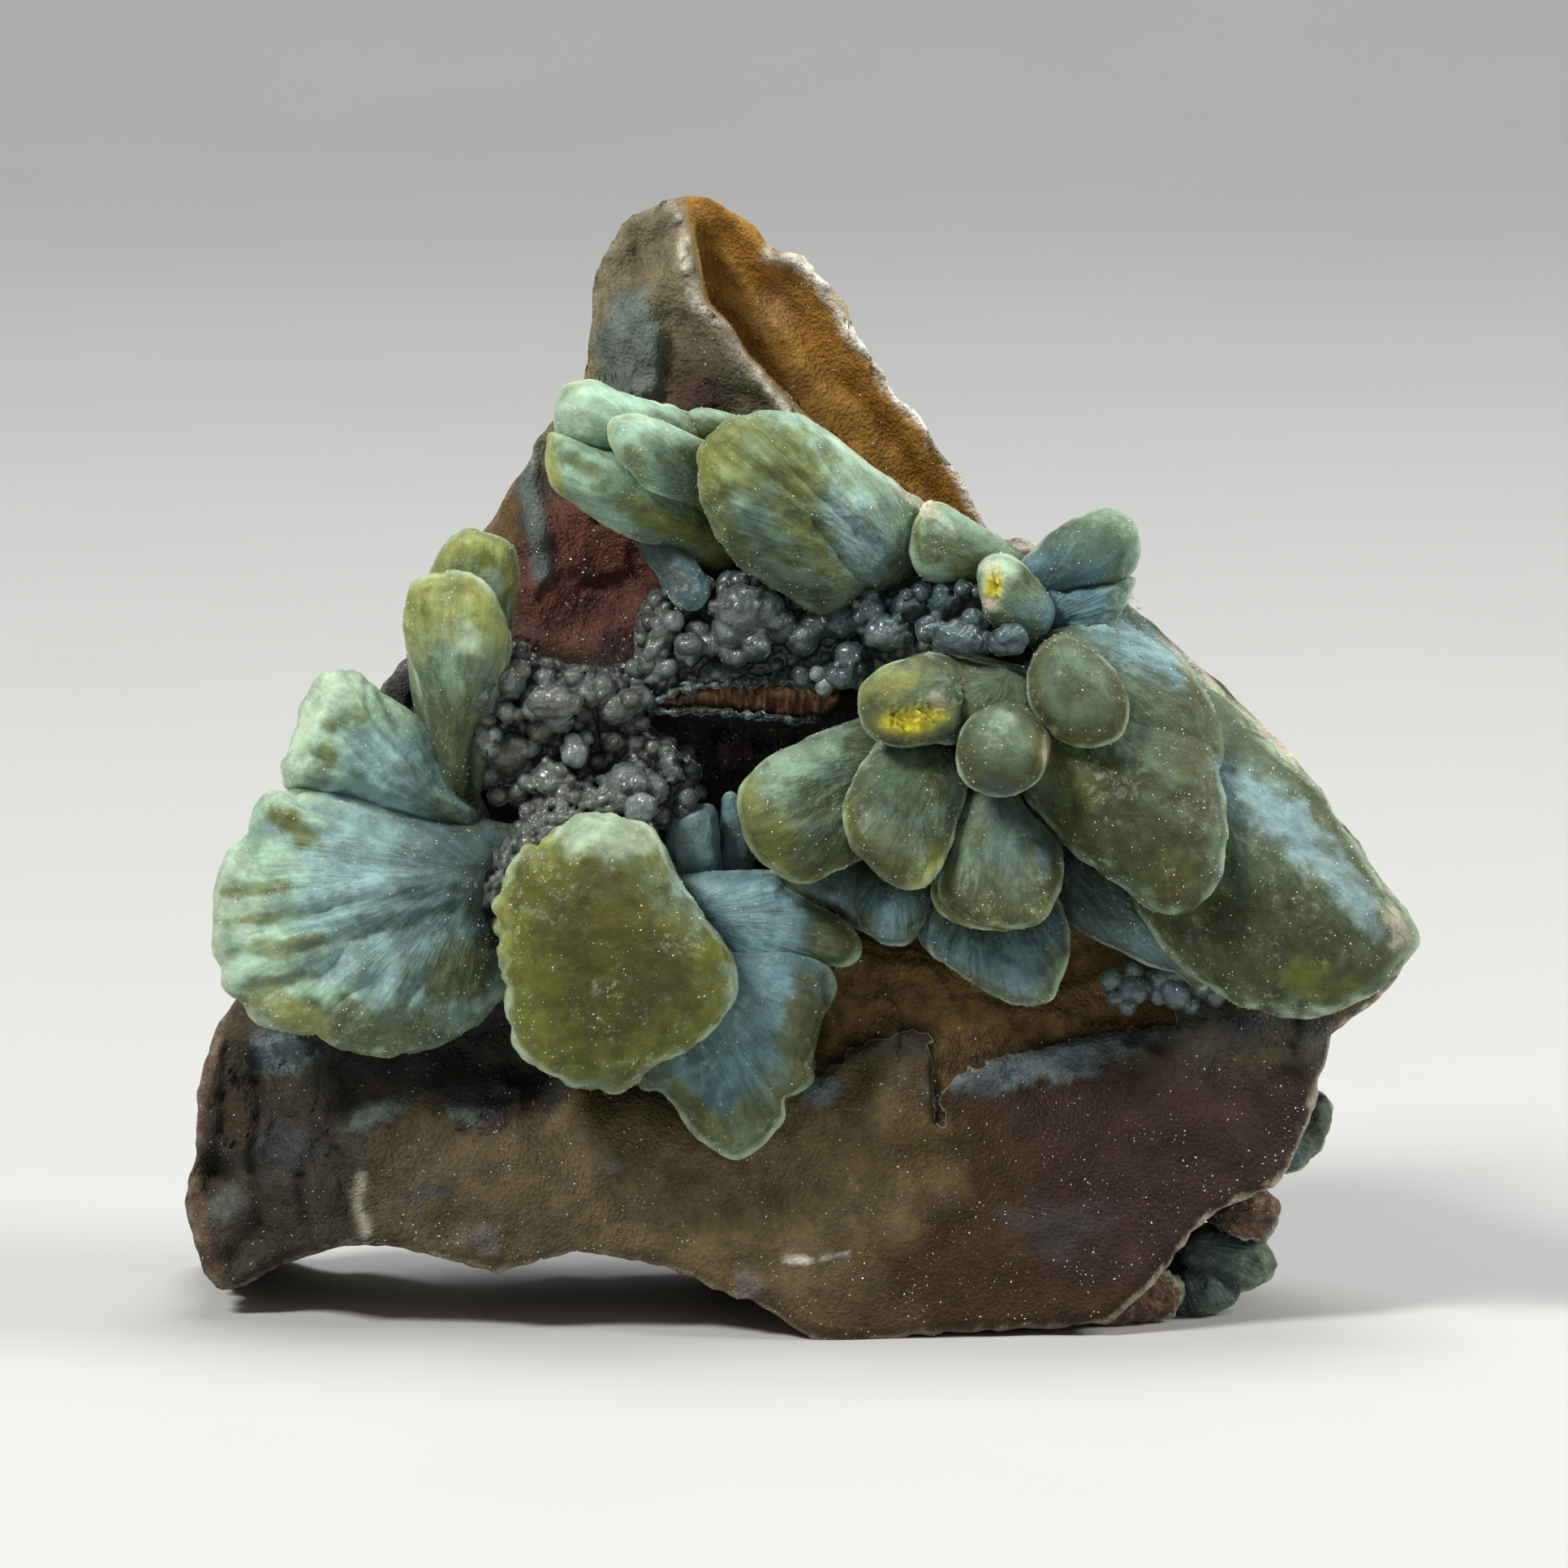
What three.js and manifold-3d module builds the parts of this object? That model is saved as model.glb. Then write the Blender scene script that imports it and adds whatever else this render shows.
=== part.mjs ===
// A small cabinet specimen of plumbogummite: blunt blue-green and olive prisms in sheaves, with
// grey botryoidal crust, on a broken plate of drusy brown matrix that stands on its lower edge.
// Millimetres, +Z up. The specimen's face looks along -Y and leans back a little.
import * as THREE from 'three';
import { ConvexGeometry } from 'three/addons/geometries/ConvexGeometry.js';
import { mergeVertices } from 'three/addons/utils/BufferGeometryUtils.js';
import Module from 'manifold-3d';

const wasm = await Module();
wasm.setup();

// Driving dimensions. Points on the face are [across, up, out]: out is towards the viewer.
const LEAN = THREE.MathUtils.degToRad(8);
const BEDDING = 0.4;
const CENTRING = { across: -0.05, back: -8.96 };
const GAP = 0.3;
const IN_FRONT = 40;
const LOBE_FACETS = { around: 10, along: 5 };
const RIB_FACETS = { around: 8, along: 5 };
const DISC_FACETS = { around: 14, along: 8 };
const ROOM_MARGIN = 0.8;
const KNOB_FACETS = { around: 6, along: 4 };
const OUT = new THREE.Vector3(0, -1, 0);
const UP = new THREE.Vector3(0, 0, 1);

const facePoint = ([across, up, out]) => new THREE.Vector3(across, -out, up);

// Solids

function solidOf(geometry) {
  const bare = geometry.index ? geometry.toNonIndexed() : geometry.clone();
  bare.deleteAttribute('normal');
  bare.deleteAttribute('uv');
  const merged = mergeVertices(bare, 1e-4);
  return new wasm.Manifold(new wasm.Mesh({
    numProp: 3,
    vertProperties: merged.attributes.position.array,
    triVerts: new Uint32Array(merged.index.array),
  }));
}

function geometryOf(solid) {
  const { vertProperties, triVerts } = solid.getMesh();
  const geometry = new THREE.BufferGeometry();
  geometry.setAttribute('position', new THREE.BufferAttribute(vertProperties, 3));
  geometry.setIndex(new THREE.BufferAttribute(triVerts, 1));
  geometry.computeVertexNormals();
  return geometry;
}

const joined = (solids) => solids.reduce((whole, piece) => whole.add(piece));

// Booleans can shave off a loose chip: only the largest body is kept.
function largestBody(solid) {
  const bodies = solid.decompose();
  return bodies.reduce((best, body) => (body.volume() > best.volume() ? body : best));
}

const signedPower = (value, power) => Math.sign(value) * Math.abs(value) ** power;

// A blunt prism from its root to its tip: a superellipsoid, narrower at the root.
// A low `blunt` squares its ends, a low `square` squares its section; `grow` swells it all over.
function lobeGeometry(form, grow = 0, facets = form.facets ?? LOBE_FACETS) {
  const { root, tip, breadth, depth, taper = 0.6, blunt = 0.62, square = 0.8 } = form;
  const start = facePoint(root);
  const end = facePoint(tip);
  const axis = end.clone().sub(start).normalize();
  const facing = Math.abs(axis.dot(OUT)) > 0.85 ? UP : OUT;
  const side = new THREE.Vector3().crossVectors(axis, facing).normalize();
  const front = new THREE.Vector3().crossVectors(side, axis);
  const middle = start.clone().add(end).multiplyScalar(0.5);
  const half = {
    length: start.distanceTo(end) / 2 + grow,
    side: breadth / 2 + grow,
    front: depth / 2 + grow,
  };
  const geometry = new THREE.SphereGeometry(1, facets.around, facets.along);
  const place = geometry.attributes.position;
  for (let i = 0; i < place.count; i += 1) {
    const turn = Math.atan2(place.getZ(i), place.getX(i));
    const cosine = THREE.MathUtils.clamp(place.getY(i), -1, 1);
    const along = signedPower(cosine, blunt);
    const ring = Math.max(0, 1 - cosine * cosine) ** (blunt / 2);
    const width = ring * THREE.MathUtils.lerp(taper, 1, Math.min(1, (along + 1) / 1.3));
    const point = middle.clone()
      .addScaledVector(axis, along * half.length)
      .addScaledVector(side, signedPower(Math.cos(turn), square) * width * half.side)
      .addScaledVector(front, signedPower(Math.sin(turn), square) * width * half.front);
    place.setXYZ(i, point.x, point.y, point.z);
  }
  return geometry;
}

const lobe = (form, grow = 0) => solidOf(lobeGeometry(form, grow));

// The room that lobes side by side need: their outline, run from the bed out past the face.
function room(forms, bed) {
  const points = [];
  for (const form of forms) {
    const place = lobeGeometry(form, ROOM_MARGIN, RIB_FACETS).attributes.position;
    for (let i = 0; i < place.count; i += 1) {
      for (const out of [bed - GAP, IN_FRONT]) {
        points.push(new THREE.Vector3(place.getX(i), -out, place.getZ(i)));
      }
    }
  }
  return solidOf(new ConvexGeometry(points));
}

// A block that takes away everything behind a depth.
function behind(out) {
  const geometry = new THREE.BoxGeometry(3 * IN_FRONT, IN_FRONT, 4 * IN_FRONT);
  geometry.translate(0, IN_FRONT / 2 - out, 0);
  return solidOf(geometry);
}

// A rounded knob of botryoidal crust.
function knob([across, up, out, radius]) {
  const geometry = new THREE.SphereGeometry(radius, KNOB_FACETS.around, KNOB_FACETS.along);
  const centre = facePoint([across, up, out]);
  geometry.rotateX(across + up);
  geometry.translate(centre.x, centre.y, centre.z);
  return solidOf(geometry);
}

// Lobes that spread from one root to a row of tips, as in a shell.
function fan({ root, tips, breadth, depth, ...form }) {
  return tips.map((tip) => ({ root, tip, breadth, depth, facets: RIB_FACETS, ...form }));
}

// A straight-sided block through an outline on the face, between two depths.
function slab(outline, back, front, steps = 1) {
  const shape = new THREE.Shape(outline.map(([across, up]) => new THREE.Vector2(across, up)));
  const depth = front - back;
  const geometry = new THREE.ExtrudeGeometry(shape, { depth, steps, bevelEnabled: false });
  geometry.translate(0, 0, back);
  geometry.rotateX(Math.PI / 2);
  return solidOf(geometry);
}

// Matrix: a broken plate inside one outline, with a relief on its face and one on its back

const MATRIX_OUTLINE = [
  [-5.4, 57], [-4, 56.6], [-2.2, 55.6], [-1.2, 54.3], [0.2, 54], [1.2, 53], [2.4, 51.6],
  [3, 50.2], [4.2, 48.4], [5, 47], [6.4, 45.8], [7.2, 44.2], [8.2, 43], [9, 41.4], [9.7, 40.4],
  [10.4, 39.7], [11.8, 39.7], [16.4, 37.4], [17.4, 36], [18.6, 34.2], [20, 32], [22.6, 30],
  [24.8, 28], [26.4, 26.4], [28.4, 23.2], [30.4, 20.6], [30.6, 19.8], [29.9, 18], [28.8, 16.8],
  [26.8, 15.3], [26.3, 14.2], [25.8, 12.2], [24.8, 9.4], [23.8, 7.8], [20.4, 6.2], [18.4, 3.8],
  [15.8, 1.2], [14.4, 0.9], [6.8, 0.4], [2, -0.1], [0.2, 0.6], [-2, 1.9], [-4, 2.6],
  [-5.6, 3.4], [-7.4, 3.9], [-10.4, 4.4], [-11.6, 4.3], [-14.4, 3.5], [-15.6, 3.6],
  [-19.2, 4.5], [-22, 4.7], [-24, 4.2], [-26, 3.4], [-27.4, 2.6], [-28.7, 2.5], [-29.6, 3.8],
  [-30.3, 7], [-29.8, 9.4], [-29.7, 12.2], [-28.7, 15.4], [-27.8, 16.8], [-25.6, 20.2],
  [-23.2, 28.2], [-20.2, 33], [-18.8, 34.4], [-16.8, 38.2], [-15.3, 40.6], [-14.6, 41.8],
  [-13.2, 43.8], [-13, 44.6], [-11.6, 46.2], [-10.6, 47.8], [-10.2, 50.2], [-9.9, 53],
  [-8.6, 55.4], [-7.2, 56.3],
];
// Heights of the front relief, as [across, up, out].
const FRONT_RELIEF = [
  [-5.6, 56.4, -6], [-9.5, 53, -8], [-10, 48, -8], [-7.5, 50, -5], [-5, 52.5, -4],
  [-3.4, 50.6, -3.6], [-1, 48, -3.2], [1.5, 45, -3], [5, 42, -3], [-8, 46, -4.5],
  [0, 54, -7.6], [3, 50, -8], [5.5, 46.5, -8], [8.6, 42.4, -8], [10, 40, -6], [-14.4, 41.6, -9],
  [-13, 44, -8], [-13, 40, -6.5], [-9, 37, -7.5], [-8, 35, -7], [-12.5, 36, -5.5],
  [-6, 38.5, -6], [-17, 37, -8], [-20, 33, -7], [-10, 32.2, -3], [-4, 33.4, -2.6],
  [2, 34.4, -3], [6, 36, -3.4], [-2, 28.5, -5], [-4, 25.5, -6], [-15, 26, -4.5],
  [-23, 28, -5.5], [-20, 20, -4], [-25, 20, -5], [-14, 14.5, -4], [-8, 16, -3], [-20, 10, -0.4],
  [-14, 8, 0.2], [-8, 9, 0.4], [0, 9, 0.6], [2, 1, 1.6], [8, 4, 1.2], [8, 12, 0.2],
  [14, 8, 0.6], [14, 1.4, 0.8], [20, 10, 0.2], [25, 12, -0.8], [22, 14, -0.8], [10, 16.5, -1.2],
  [4, 17, -1.2], [16, 17, -2], [-24, 8, -1.6], [-27, 10, -3], [-29.5, 8, -6], [-28, 3.5, -5],
  [-26, 14, -3.4], [-23, 14, -3], [5, 25, -3], [22, 22, -2], [30, 20, -2.6], [18, 30, -3],
  [25, 27, -3.6], [14, 36, -4], [17.5, 35, -5], [-19, 4.6, -0.6], [-10.5, 4.6, 0.4],
];
const BACK_RELIEF = [
  [-5, 55, -11], [0, 49, -14.5], [-8, 46, -13], [8, 42, -15], [-15, 38, -13], [-21, 30, -13],
  [-26, 20, -13], [-29, 10, -16], [-28, 3, -21.5], [-24, 6, -18], [-19, 8, -14.5],
  [-10, 8, -16.5], [-6, 3, -17], [0, 4, -19.5], [7, 2, -20], [14, 3, -19], [12, 14, -20],
  [21, 12, -15], [24, 8, -11], [29, 20, -9], [25, 26, -12], [16, 33, -14.5], [5, 28, -20.5],
  [-5, 25, -18], [8, 19, -16.5], [-12, 20, -19], [-3, 38, -17.5], [3, 36, -13.5],
];
const RELIEF_SIZE = { width: 68, height: 62, columns: 20, rows: 18, middle: 28 };
const RIM_BANDS = 3;
const REAR_TAPER = { perMillimetre: 0.0085, middle: [-1, 22], from: 5, to: 20 };

// The height at a place, from the relief's points, each weighing by its nearness.
function reliefHeight(relief, across, up) {
  let total = 0;
  let weights = 0;
  for (const [x, v, out] of relief) {
    const weight = 1 / ((x - across) ** 2 + (v - up) ** 2 + 1.2) ** 2;
    total += weight * out;
    weights += weight;
  }
  return total / weights;
}

const roughness = (x, v, scale) => Math.sin(x * scale + 1.3 * Math.sin(v * scale * 0.7))
  * Math.sin(v * scale * 1.1 + 1.7 * Math.sin(x * scale * 0.6));

// The drusy lower plate is smoother than the broken rock above it.
const frontOut = (x, v) => reliefHeight(FRONT_RELIEF, x, v)
  + (v < 14 && x > -20 ? 0.15 : 0.4) * roughness(x, v, 0.9);

const backOut = (x, v) => reliefHeight(BACK_RELIEF, x, v) + 1.3 * roughness(x, v, 0.36)
  + 0.7 * roughness(v, x, 0.83);

// The ochre hollow behind the crest of the peak, open to the front.
const PEAK_HOLLOW = [
  [-5.5, 56.2], [-5.2, 55.4], [-5, 54.2], [-5.1, 53.2], [-4.6, 51.6], [-3.4, 50.8], [-3, 50],
  [-2.2, 48.8], [-0.8, 47.2], [0.2, 46], [1.2, 44.8], [2.8, 43.6], [4.4, 42.6], [6, 41.4],
  [8.8, 40.4], [8, 42.2], [6.8, 43.8], [6.2, 45.2], [4.8, 46.4], [4, 47.8], [2.8, 49.6],
  [2.2, 51], [1, 52.4], [0, 53.4], [-1.4, 53.8], [-2.4, 55], [-4, 56],
];
const PEAK_HOLLOW_FLOOR = -10.4;
// A block with the two reliefs, on a grid whose points are shaken out of line.
function reliefBlock() {
  const { width, height, columns, rows, middle } = RELIEF_SIZE;
  const geometry = new THREE.BoxGeometry(width, height, 1, columns, rows, 1);
  geometry.translate(0, middle, 0);
  const place = geometry.attributes.position;
  for (let i = 0; i < place.count; i += 1) {
    const front = place.getZ(i) > 0;
    const seed = 12.9 * place.getX(i) + 78.2 * place.getY(i) + (front ? 0 : 2);
    const x = place.getX(i) + 0.85 * Math.sin(seed);
    const v = place.getY(i) + 0.85 * Math.sin(1.7 * seed + 1);
    place.setXYZ(i, x, v, front ? frontOut(x, v) : backOut(x, v));
  }
  geometry.rotateX(Math.PI / 2);
  return solidOf(geometry);
}

// The broken rim draws in towards the back, except at the foot, and is uneven.
function drawIn(solid) {
  const geometry = geometryOf(solid);
  const place = geometry.attributes.position;
  const [midX, midV] = REAR_TAPER.middle;
  for (let i = 0; i < place.count; i += 1) {
    const [x, out, v] = [place.getX(i), -place.getY(i), place.getZ(i)];
    const depth = Math.max(0, frontOut(x, v) - out - 0.6);
    const share = THREE.MathUtils.smoothstep(v, REAR_TAPER.from, REAR_TAPER.to);
    const uneven = 0.03 * Math.min(1, depth / 4) * (roughness(x + v, out, 0.5) - 0.6);
    const scale = 1 + share * (uneven - REAR_TAPER.perMillimetre * depth);
    place.setX(i, midX + (x - midX) * scale);
    place.setZ(i, midV + (v - midV) * scale);
  }
  return solidOf(geometry);
}

function matrixPlate() {
  return drawIn(reliefBlock()
    .intersect(slab(MATRIX_OUTLINE, -27, 12, RIM_BANDS))
    .subtract(slab(PEAK_HOLLOW, PEAK_HOLLOW_FLOOR, 6)));
}

// Where the upper crust of the lower plate has come away and shows the layer under it.
const CRUST_LOSS = [
  [1.2, 12.8], [2.8, 14.4], [5.4, 15.3], [6.6, 15.2], [6.8, 10.8], [7.3, 10.7], [7.4, 12.4],
  [8, 13.2], [9.6, 13.8], [12.4, 14.6], [14.8, 15.1], [17.2, 15.4], [18.8, 15.7], [19.2, 18.2],
  [12.8, 22.2], [0.8, 20.2], [0.8, 14.2],
];
const CRUST_THICKNESS = 0.8;
const SLIT = [
  [-7.6, 31.5], [-5.4, 32.3], [-2, 32.4], [1.2, 32], [1.4, 30.6], [-1, 30.2], [-4, 30.3],
  [-6.6, 30.8],
];
const SLIT_WALL = [
  [-7.2, 31], [-4, 31.7], [-1, 31.8], [1.6, 31.5], [1.6, 30.4], [-1, 30], [-4, 30.1], [-7, 30.7],
];
// Broken rock that shows past the plate's lower right corner.
const CORNER_BLOCKS = [
  { root: [12, 4, -8], tip: [24, 6, -5.4], breadth: 4.6, depth: 5.6, taper: 0.9, square: 0.6 },
  { root: [13, 1.4, -5], tip: [18.6, 1.8, -4], breadth: 3, depth: 4.4, taper: 0.9 },
];

function matrixSolid() {
  const pit = lobe({ root: [-5.4, 28.4, -4], tip: [2.4, 28.8, -3.4], breadth: 3.4, depth: 9 });
  return joined([matrixPlate(), ...CORNER_BLOCKS.map((block) => lobe(block))])
    .subtract(slab(CRUST_LOSS, -1.2 - CRUST_THICKNESS, 6))
    .subtract(pit)
    .subtract(slab(SLIT, -7, 4))
    .add(joined([...CRUST_BEDS.map((bed) => lobe(bed)), ...CRUST_KNOBS.map(knob)]))
    .add(slab(SLIT_WALL, -9, -3.6));
}

// Plumbogummite lobes. Those in one inner list grew side by side and share one bed.

const LEFT_FAN = [
  fan({
    root: [-15.2, 22.6, -2], breadth: 4.2, depth: 5.6, taper: 0.35,
    tips: [[-26.9, 25.6, 1.4], [-28.3, 23.4, 2], [-28.7, 20.9, 2.4], [-28.2, 18.4, 2.8],
      [-26.9, 16.4, 2.8]],
  }),
  fan({
    root: [-15.4, 21, -2], breadth: 4.8, depth: 6, taper: 0.4,
    tips: [[-24.6, 15.2, 2.6], [-21.6, 14.1, 2.6], [-18.2, 14.2, 2]],
  }),
  fan({
    root: [-15.2, 23.6, -2.4], breadth: 4.2, depth: 4.8, taper: 0.35,
    tips: [[-25, 28, 0], [-24.5, 30.4, 0], [-23, 32.4, 0.2], [-20.8, 32.8, 0.4], [-18.4, 31, 0.2]],
  }),
];

const LEFT_BLADE = [
  [
    { root: [-15.8, 26.4, -3], tip: [-15.8, 39.9, 1.8], breadth: 4.6, depth: 4.6, taper: 0.3 },
    { root: [-16.4, 27, -2], tip: [-17.9, 37, 1.6], breadth: 3.4, depth: 4, taper: 0.3 },
    { root: [-15.2, 29.5, -2], tip: [-14.6, 36.6, 2.6], breadth: 2.8, depth: 3.2 },
  ],
];

const CENTRE_SHEAF = [
  [
    {
      root: [-8.8, 18.8, -5], tip: [-9.4, 19.3, 9], breadth: 12.4, depth: 13.4,
      taper: 0.65, blunt: 0.6, facets: DISC_FACETS,
    },
    { root: [-10, 21, 2], tip: [-13.4, 23.6, 6.6], breadth: 3, depth: 3 },
    { root: [-10, 18, 2], tip: [-14.6, 19, 6.6], breadth: 3, depth: 3 },
    { root: [-10, 17, 2], tip: [-13, 15.2, 6.6], breadth: 3, depth: 3 },
    { root: [-9, 21, 2], tip: [-10.6, 26, 6.6], breadth: 3.4, depth: 3.4 },
    { root: [-8, 16, 2], tip: [-9, 12.8, 6.6], breadth: 3, depth: 3 },
  ],
  fan({
    root: [-5.6, 20.2, -2], breadth: 4.4, depth: 4, taper: 0.5,
    tips: [[-0.4, 22.9, 1.4], [2, 20.4, 1.6], [2.2, 17.4, 2.6], [1.2, 14.4, 3.6],
      [-0.4, 11.4, 3.8], [-2.4, 9.3, 3.8], [-5, 10.6, 3.4]],
  }),
  [
    { root: [-4.2, 20.6, -4], tip: [-4.8, 27.6, -1.6], breadth: 3.6, depth: 4, square: 0.5 },
    { root: [-2.4, 20.6, -5], tip: [-2.4, 26.2, -3], breadth: 3, depth: 3.4, square: 0.5 },
  ],
];

const TOP_SHEAF = [
  [{ root: [-7.6, 40, -4], tip: [-4.7, 36.2, 0.4], breadth: 2.4, depth: 2.6, taper: 0.8 }],
  [
    { root: [-3.6, 42, -3], tip: [-11.4, 46.4, 1.4], breadth: 3.8, depth: 5, taper: 0.8 },
    { root: [-3.6, 39, -3], tip: [-12.2, 43.7, 1.4], breadth: 5.2, depth: 5.6, taper: 0.8 },
    { root: [-3.6, 41.6, 0], tip: [-9.2, 45.4, 4.6], breadth: 3, depth: 3.2, taper: 0.8 },
    { root: [-1.6, 44.2, -2.6], tip: [-5.6, 46, 0.6], breadth: 2.2, depth: 2.6 },
  ],
  [
    {
      root: [6, 37.4, -2], tip: [-4.2, 44, 4.6], breadth: 7.8, depth: 6.6, taper: 0.85,
      blunt: 0.6,
    },
    { root: [5.4, 36, 0.6], tip: [1.4, 40.4, 4.8], breadth: 2.8, depth: 3, square: 0.5 },
  ],
  [{ root: [12, 37.2, -2.6], tip: [5.8, 41.2, 1.6], breadth: 3.6, depth: 4, taper: 0.8 }],
];

const RIGHT_CLUSTER = [
  [
    { root: [4, 27, -3], tip: [4.9, 19.5, 3.4], breadth: 4.6, depth: 4.4 },
    { root: [3, 27, -3], tip: [1.4, 21.4, 3], breadth: 4.6, depth: 4 },
    { root: [5.6, 29.2, -2], tip: [-2, 26, 6.4], breadth: 6, depth: 5.2, taper: 0.8 },
    { root: [7, 30.6, -1], tip: [4.2, 22.4, 8.4], breadth: 5.6, depth: 5, taper: 0.75 },
  ],
  [
    { root: [9.4, 26, -3], tip: [10.3, 16.8, 3.6], breadth: 7.2, depth: 5, taper: 0.7 },
    { root: [9.2, 29.6, -1], tip: [10.8, 20.5, 7.2], breadth: 6, depth: 5, taper: 0.75 },
    { root: [8.4, 28.8, -2], tip: [8.3, 20.6, 5], breadth: 4.8, depth: 4.4, taper: 0.8 },
  ],
  [
    { root: [9.4, 31.6, 0], tip: [3.6, 31.8, 7], breadth: 4.6, depth: 4.8, taper: 0.85 },
    { root: [10.6, 31, 0], tip: [10.1, 29.8, 9.6], breadth: 4.7, depth: 5.2, taper: 0.8 },
    { root: [13.4, 32.6, 0], tip: [14, 32, 8.4], breadth: 4.9, depth: 5.6, taper: 0.85 },
  ],
];
const EAR_SHEAF = [
  [
    { root: [12.4, 35.6, -5], tip: [15.9, 40, 3], breadth: 4, depth: 4.4, taper: 0.9 },
    { root: [13.6, 34.6, -5], tip: [14.3, 38.4, 3.2], breadth: 4.6, depth: 4, taper: 0.9 },
    { root: [13, 35.6, -4], tip: [9.1, 38.2, 4.6], breadth: 3.2, depth: 3.2, taper: 0.9 },
  ],
];
const RIGHT_SLOPE = [
  [
    { root: [12.8, 31.4, -1], tip: [20.7, 21.4, 7], breadth: 9, depth: 6.4, taper: 0.8 },
    { root: [14, 35.6, -2], tip: [20.6, 26.6, 5.6], breadth: 7.4, depth: 5.6, taper: 0.8 },
    {
      root: [15.4, 34.6, -5], tip: [27.3, 17.9, 3.4], breadth: 12.4, depth: 8.6, taper: 0.8,
      blunt: 0.55,
    },
    { root: [11.6, 25, -3], tip: [20.6, 16.7, 1.8], breadth: 3.8, depth: 4, taper: 0.9 },
  ],
];
// The slope's lobes broke off along this plane: a point on it and its outward direction.
const BREAK = { through: [18, 34.6, -2], outward: [0.69, 0.56, 0.45], reach: 40 };

// Grey botryoidal crust: knobs, and the low beds that they stand on

const CRUST_KNOBS = [
  // Under the top lobes
  [-6.7, 33.8, -2, 1.8], [-5.2, 35, -1.6, 1.4], [-2.4, 35.2, 0, 2.2], [-4.2, 33.9, -0.6, 1.5],
  [-0.4, 35.4, -0.8, 1.7], [1.8, 35.1, -1.2, 1.4], [4.6, 35, 0.2, 1.2], [8, 35, 1.6, 1.2],
  [3, 33.2, -0.6, 1.1],
  // Around the red-brown hollow
  [-15.3, 31.2, 0, 1.7], [-14, 32.5, -0.4, 1], [-11.8, 32, -1.4, 1.7], [-9.8, 32, -1.4, 1.5],
  [-15.2, 29, -1, 1.7], [-13, 27.6, -1.8, 1.6], [-10.8, 28.6, -2.4, 1.6], [-8.2, 27.5, -1, 1.6],
  [-6, 28, -1.4, 1.5],
  // The strip down to the left fan
  [-14.6, 22.4, -0.6, 1.2], [-13, 24.4, -0.8, 1.3], [-10.8, 25.6, -1, 1.3],
  // The lower left
  [-26, 13.4, -1.8, 2], [-24.2, 9.2, -0.9, 2.2], [-25.8, 11.2, -1.6, 2], [-28.4, 7.2, -3.4, 1.9],
  [-21.4, 11.3, -0.7, 1.4], [-19, 11.8, -1, 1.3], [-15, 12.2, -1, 2], [-13.6, 13, -1.6, 1.8],
  // The plate's own
  [-15.6, 5.3, 0, 1.1], [-2.2, 2.7, 0.9, 0.8],
  // Lower right and behind
  [16.2, 17.8, -0.5, 1.4], [18.3, 17.6, -0.4, 1.4], [25.2, 10.4, -4.8, 2.3], [21.6, 3.7, -5.4, 2.5],
];
const CRUST_BEDS = [
  {
    root: [-7.4, 33.4, -4.4], tip: [6.6, 35.2, -3.4], breadth: 5.4, depth: 5.6, taper: 0.9,
    square: 0.7,
  },
  { root: [-15.4, 31, -3], tip: [-5.6, 30.6, -4.2], breadth: 4.8, depth: 5, taper: 0.9 },
  { root: [-14.6, 28.4, -4], tip: [-5, 28.2, -4.4], breadth: 3.6, depth: 4.8, taper: 0.9 },
];

// Assembly

const FACE_TO_PART = new THREE.Matrix4()
  .makeRotationX(-LEAN)
  .setPosition(CENTRING.across, CENTRING.back, -BEDDING);

// Everything below the surface that the specimen stands on.
function floorBlock() {
  const [width, height] = [120, 30];
  const geometry = new THREE.BoxGeometry(width, width, height);
  geometry.translate(0, 0, -height / 2);
  geometry.applyMatrix4(FACE_TO_PART.clone().invert());
  return solidOf(geometry);
}

// Everything beyond a plane, where the specimen broke away.
function breakBlock({ through, outward, reach }) {
  const direction = facePoint(outward).normalize();
  const geometry = new THREE.BoxGeometry(2 * reach, 2 * reach, reach);
  geometry.applyQuaternion(new THREE.Quaternion().setFromUnitVectors(UP, direction));
  const centre = facePoint(through).addScaledVector(direction, reach / 2);
  geometry.translate(centre.x, centre.y, centre.z);
  return solidOf(geometry);
}

// Each growth of lobes with the depth of the bed that it stands on. They are in the order in
// which they take their room: a later one is cut back by an earlier.
const GROWTHS = [
  {
    name: 'right_cluster', colour: 0x6f8a78, bed: -3,
    whole: RIGHT_CLUSTER.flat(), broken: RIGHT_SLOPE.flat(), beds: [...RIGHT_CLUSTER, ...RIGHT_SLOPE],
  },
  { name: 'centre_sheaf', colour: 0x87914a, bed: -4, whole: CENTRE_SHEAF.flat(), beds: CENTRE_SHEAF },
  { name: 'ear_sheaf', colour: 0x7f9aa4, bed: -4, whole: EAR_SHEAF.flat(), beds: EAR_SHEAF },
  { name: 'top_sheaf', colour: 0x86a390, bed: -3.6, whole: TOP_SHEAF.flat(), beds: TOP_SHEAF },
  { name: 'left_blade', colour: 0x98a878, bed: -4, whole: LEFT_BLADE.flat(), beds: LEFT_BLADE },
  { name: 'left_fan', colour: 0x9ab5a6, bed: -4.6, whole: LEFT_FAN.flat(), beds: LEFT_FAN },
];

function growthSolid({ whole, broken = [] }, grow = 0) {
  const solid = joined(whole.map((form) => lobe(form, grow)));
  if (broken.length === 0) return solid;
  return solid.add(joined(broken.map((form) => lobe(form, grow))).subtract(breakBlock(BREAK)));
}

function mineral(name, solid, colour, roughness) {
  const material = new THREE.MeshStandardMaterial({ color: colour, roughness, metalness: 0 });
  const mesh = new THREE.Mesh(geometryOf(solid), material);
  mesh.name = name;
  return mesh;
}

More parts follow.
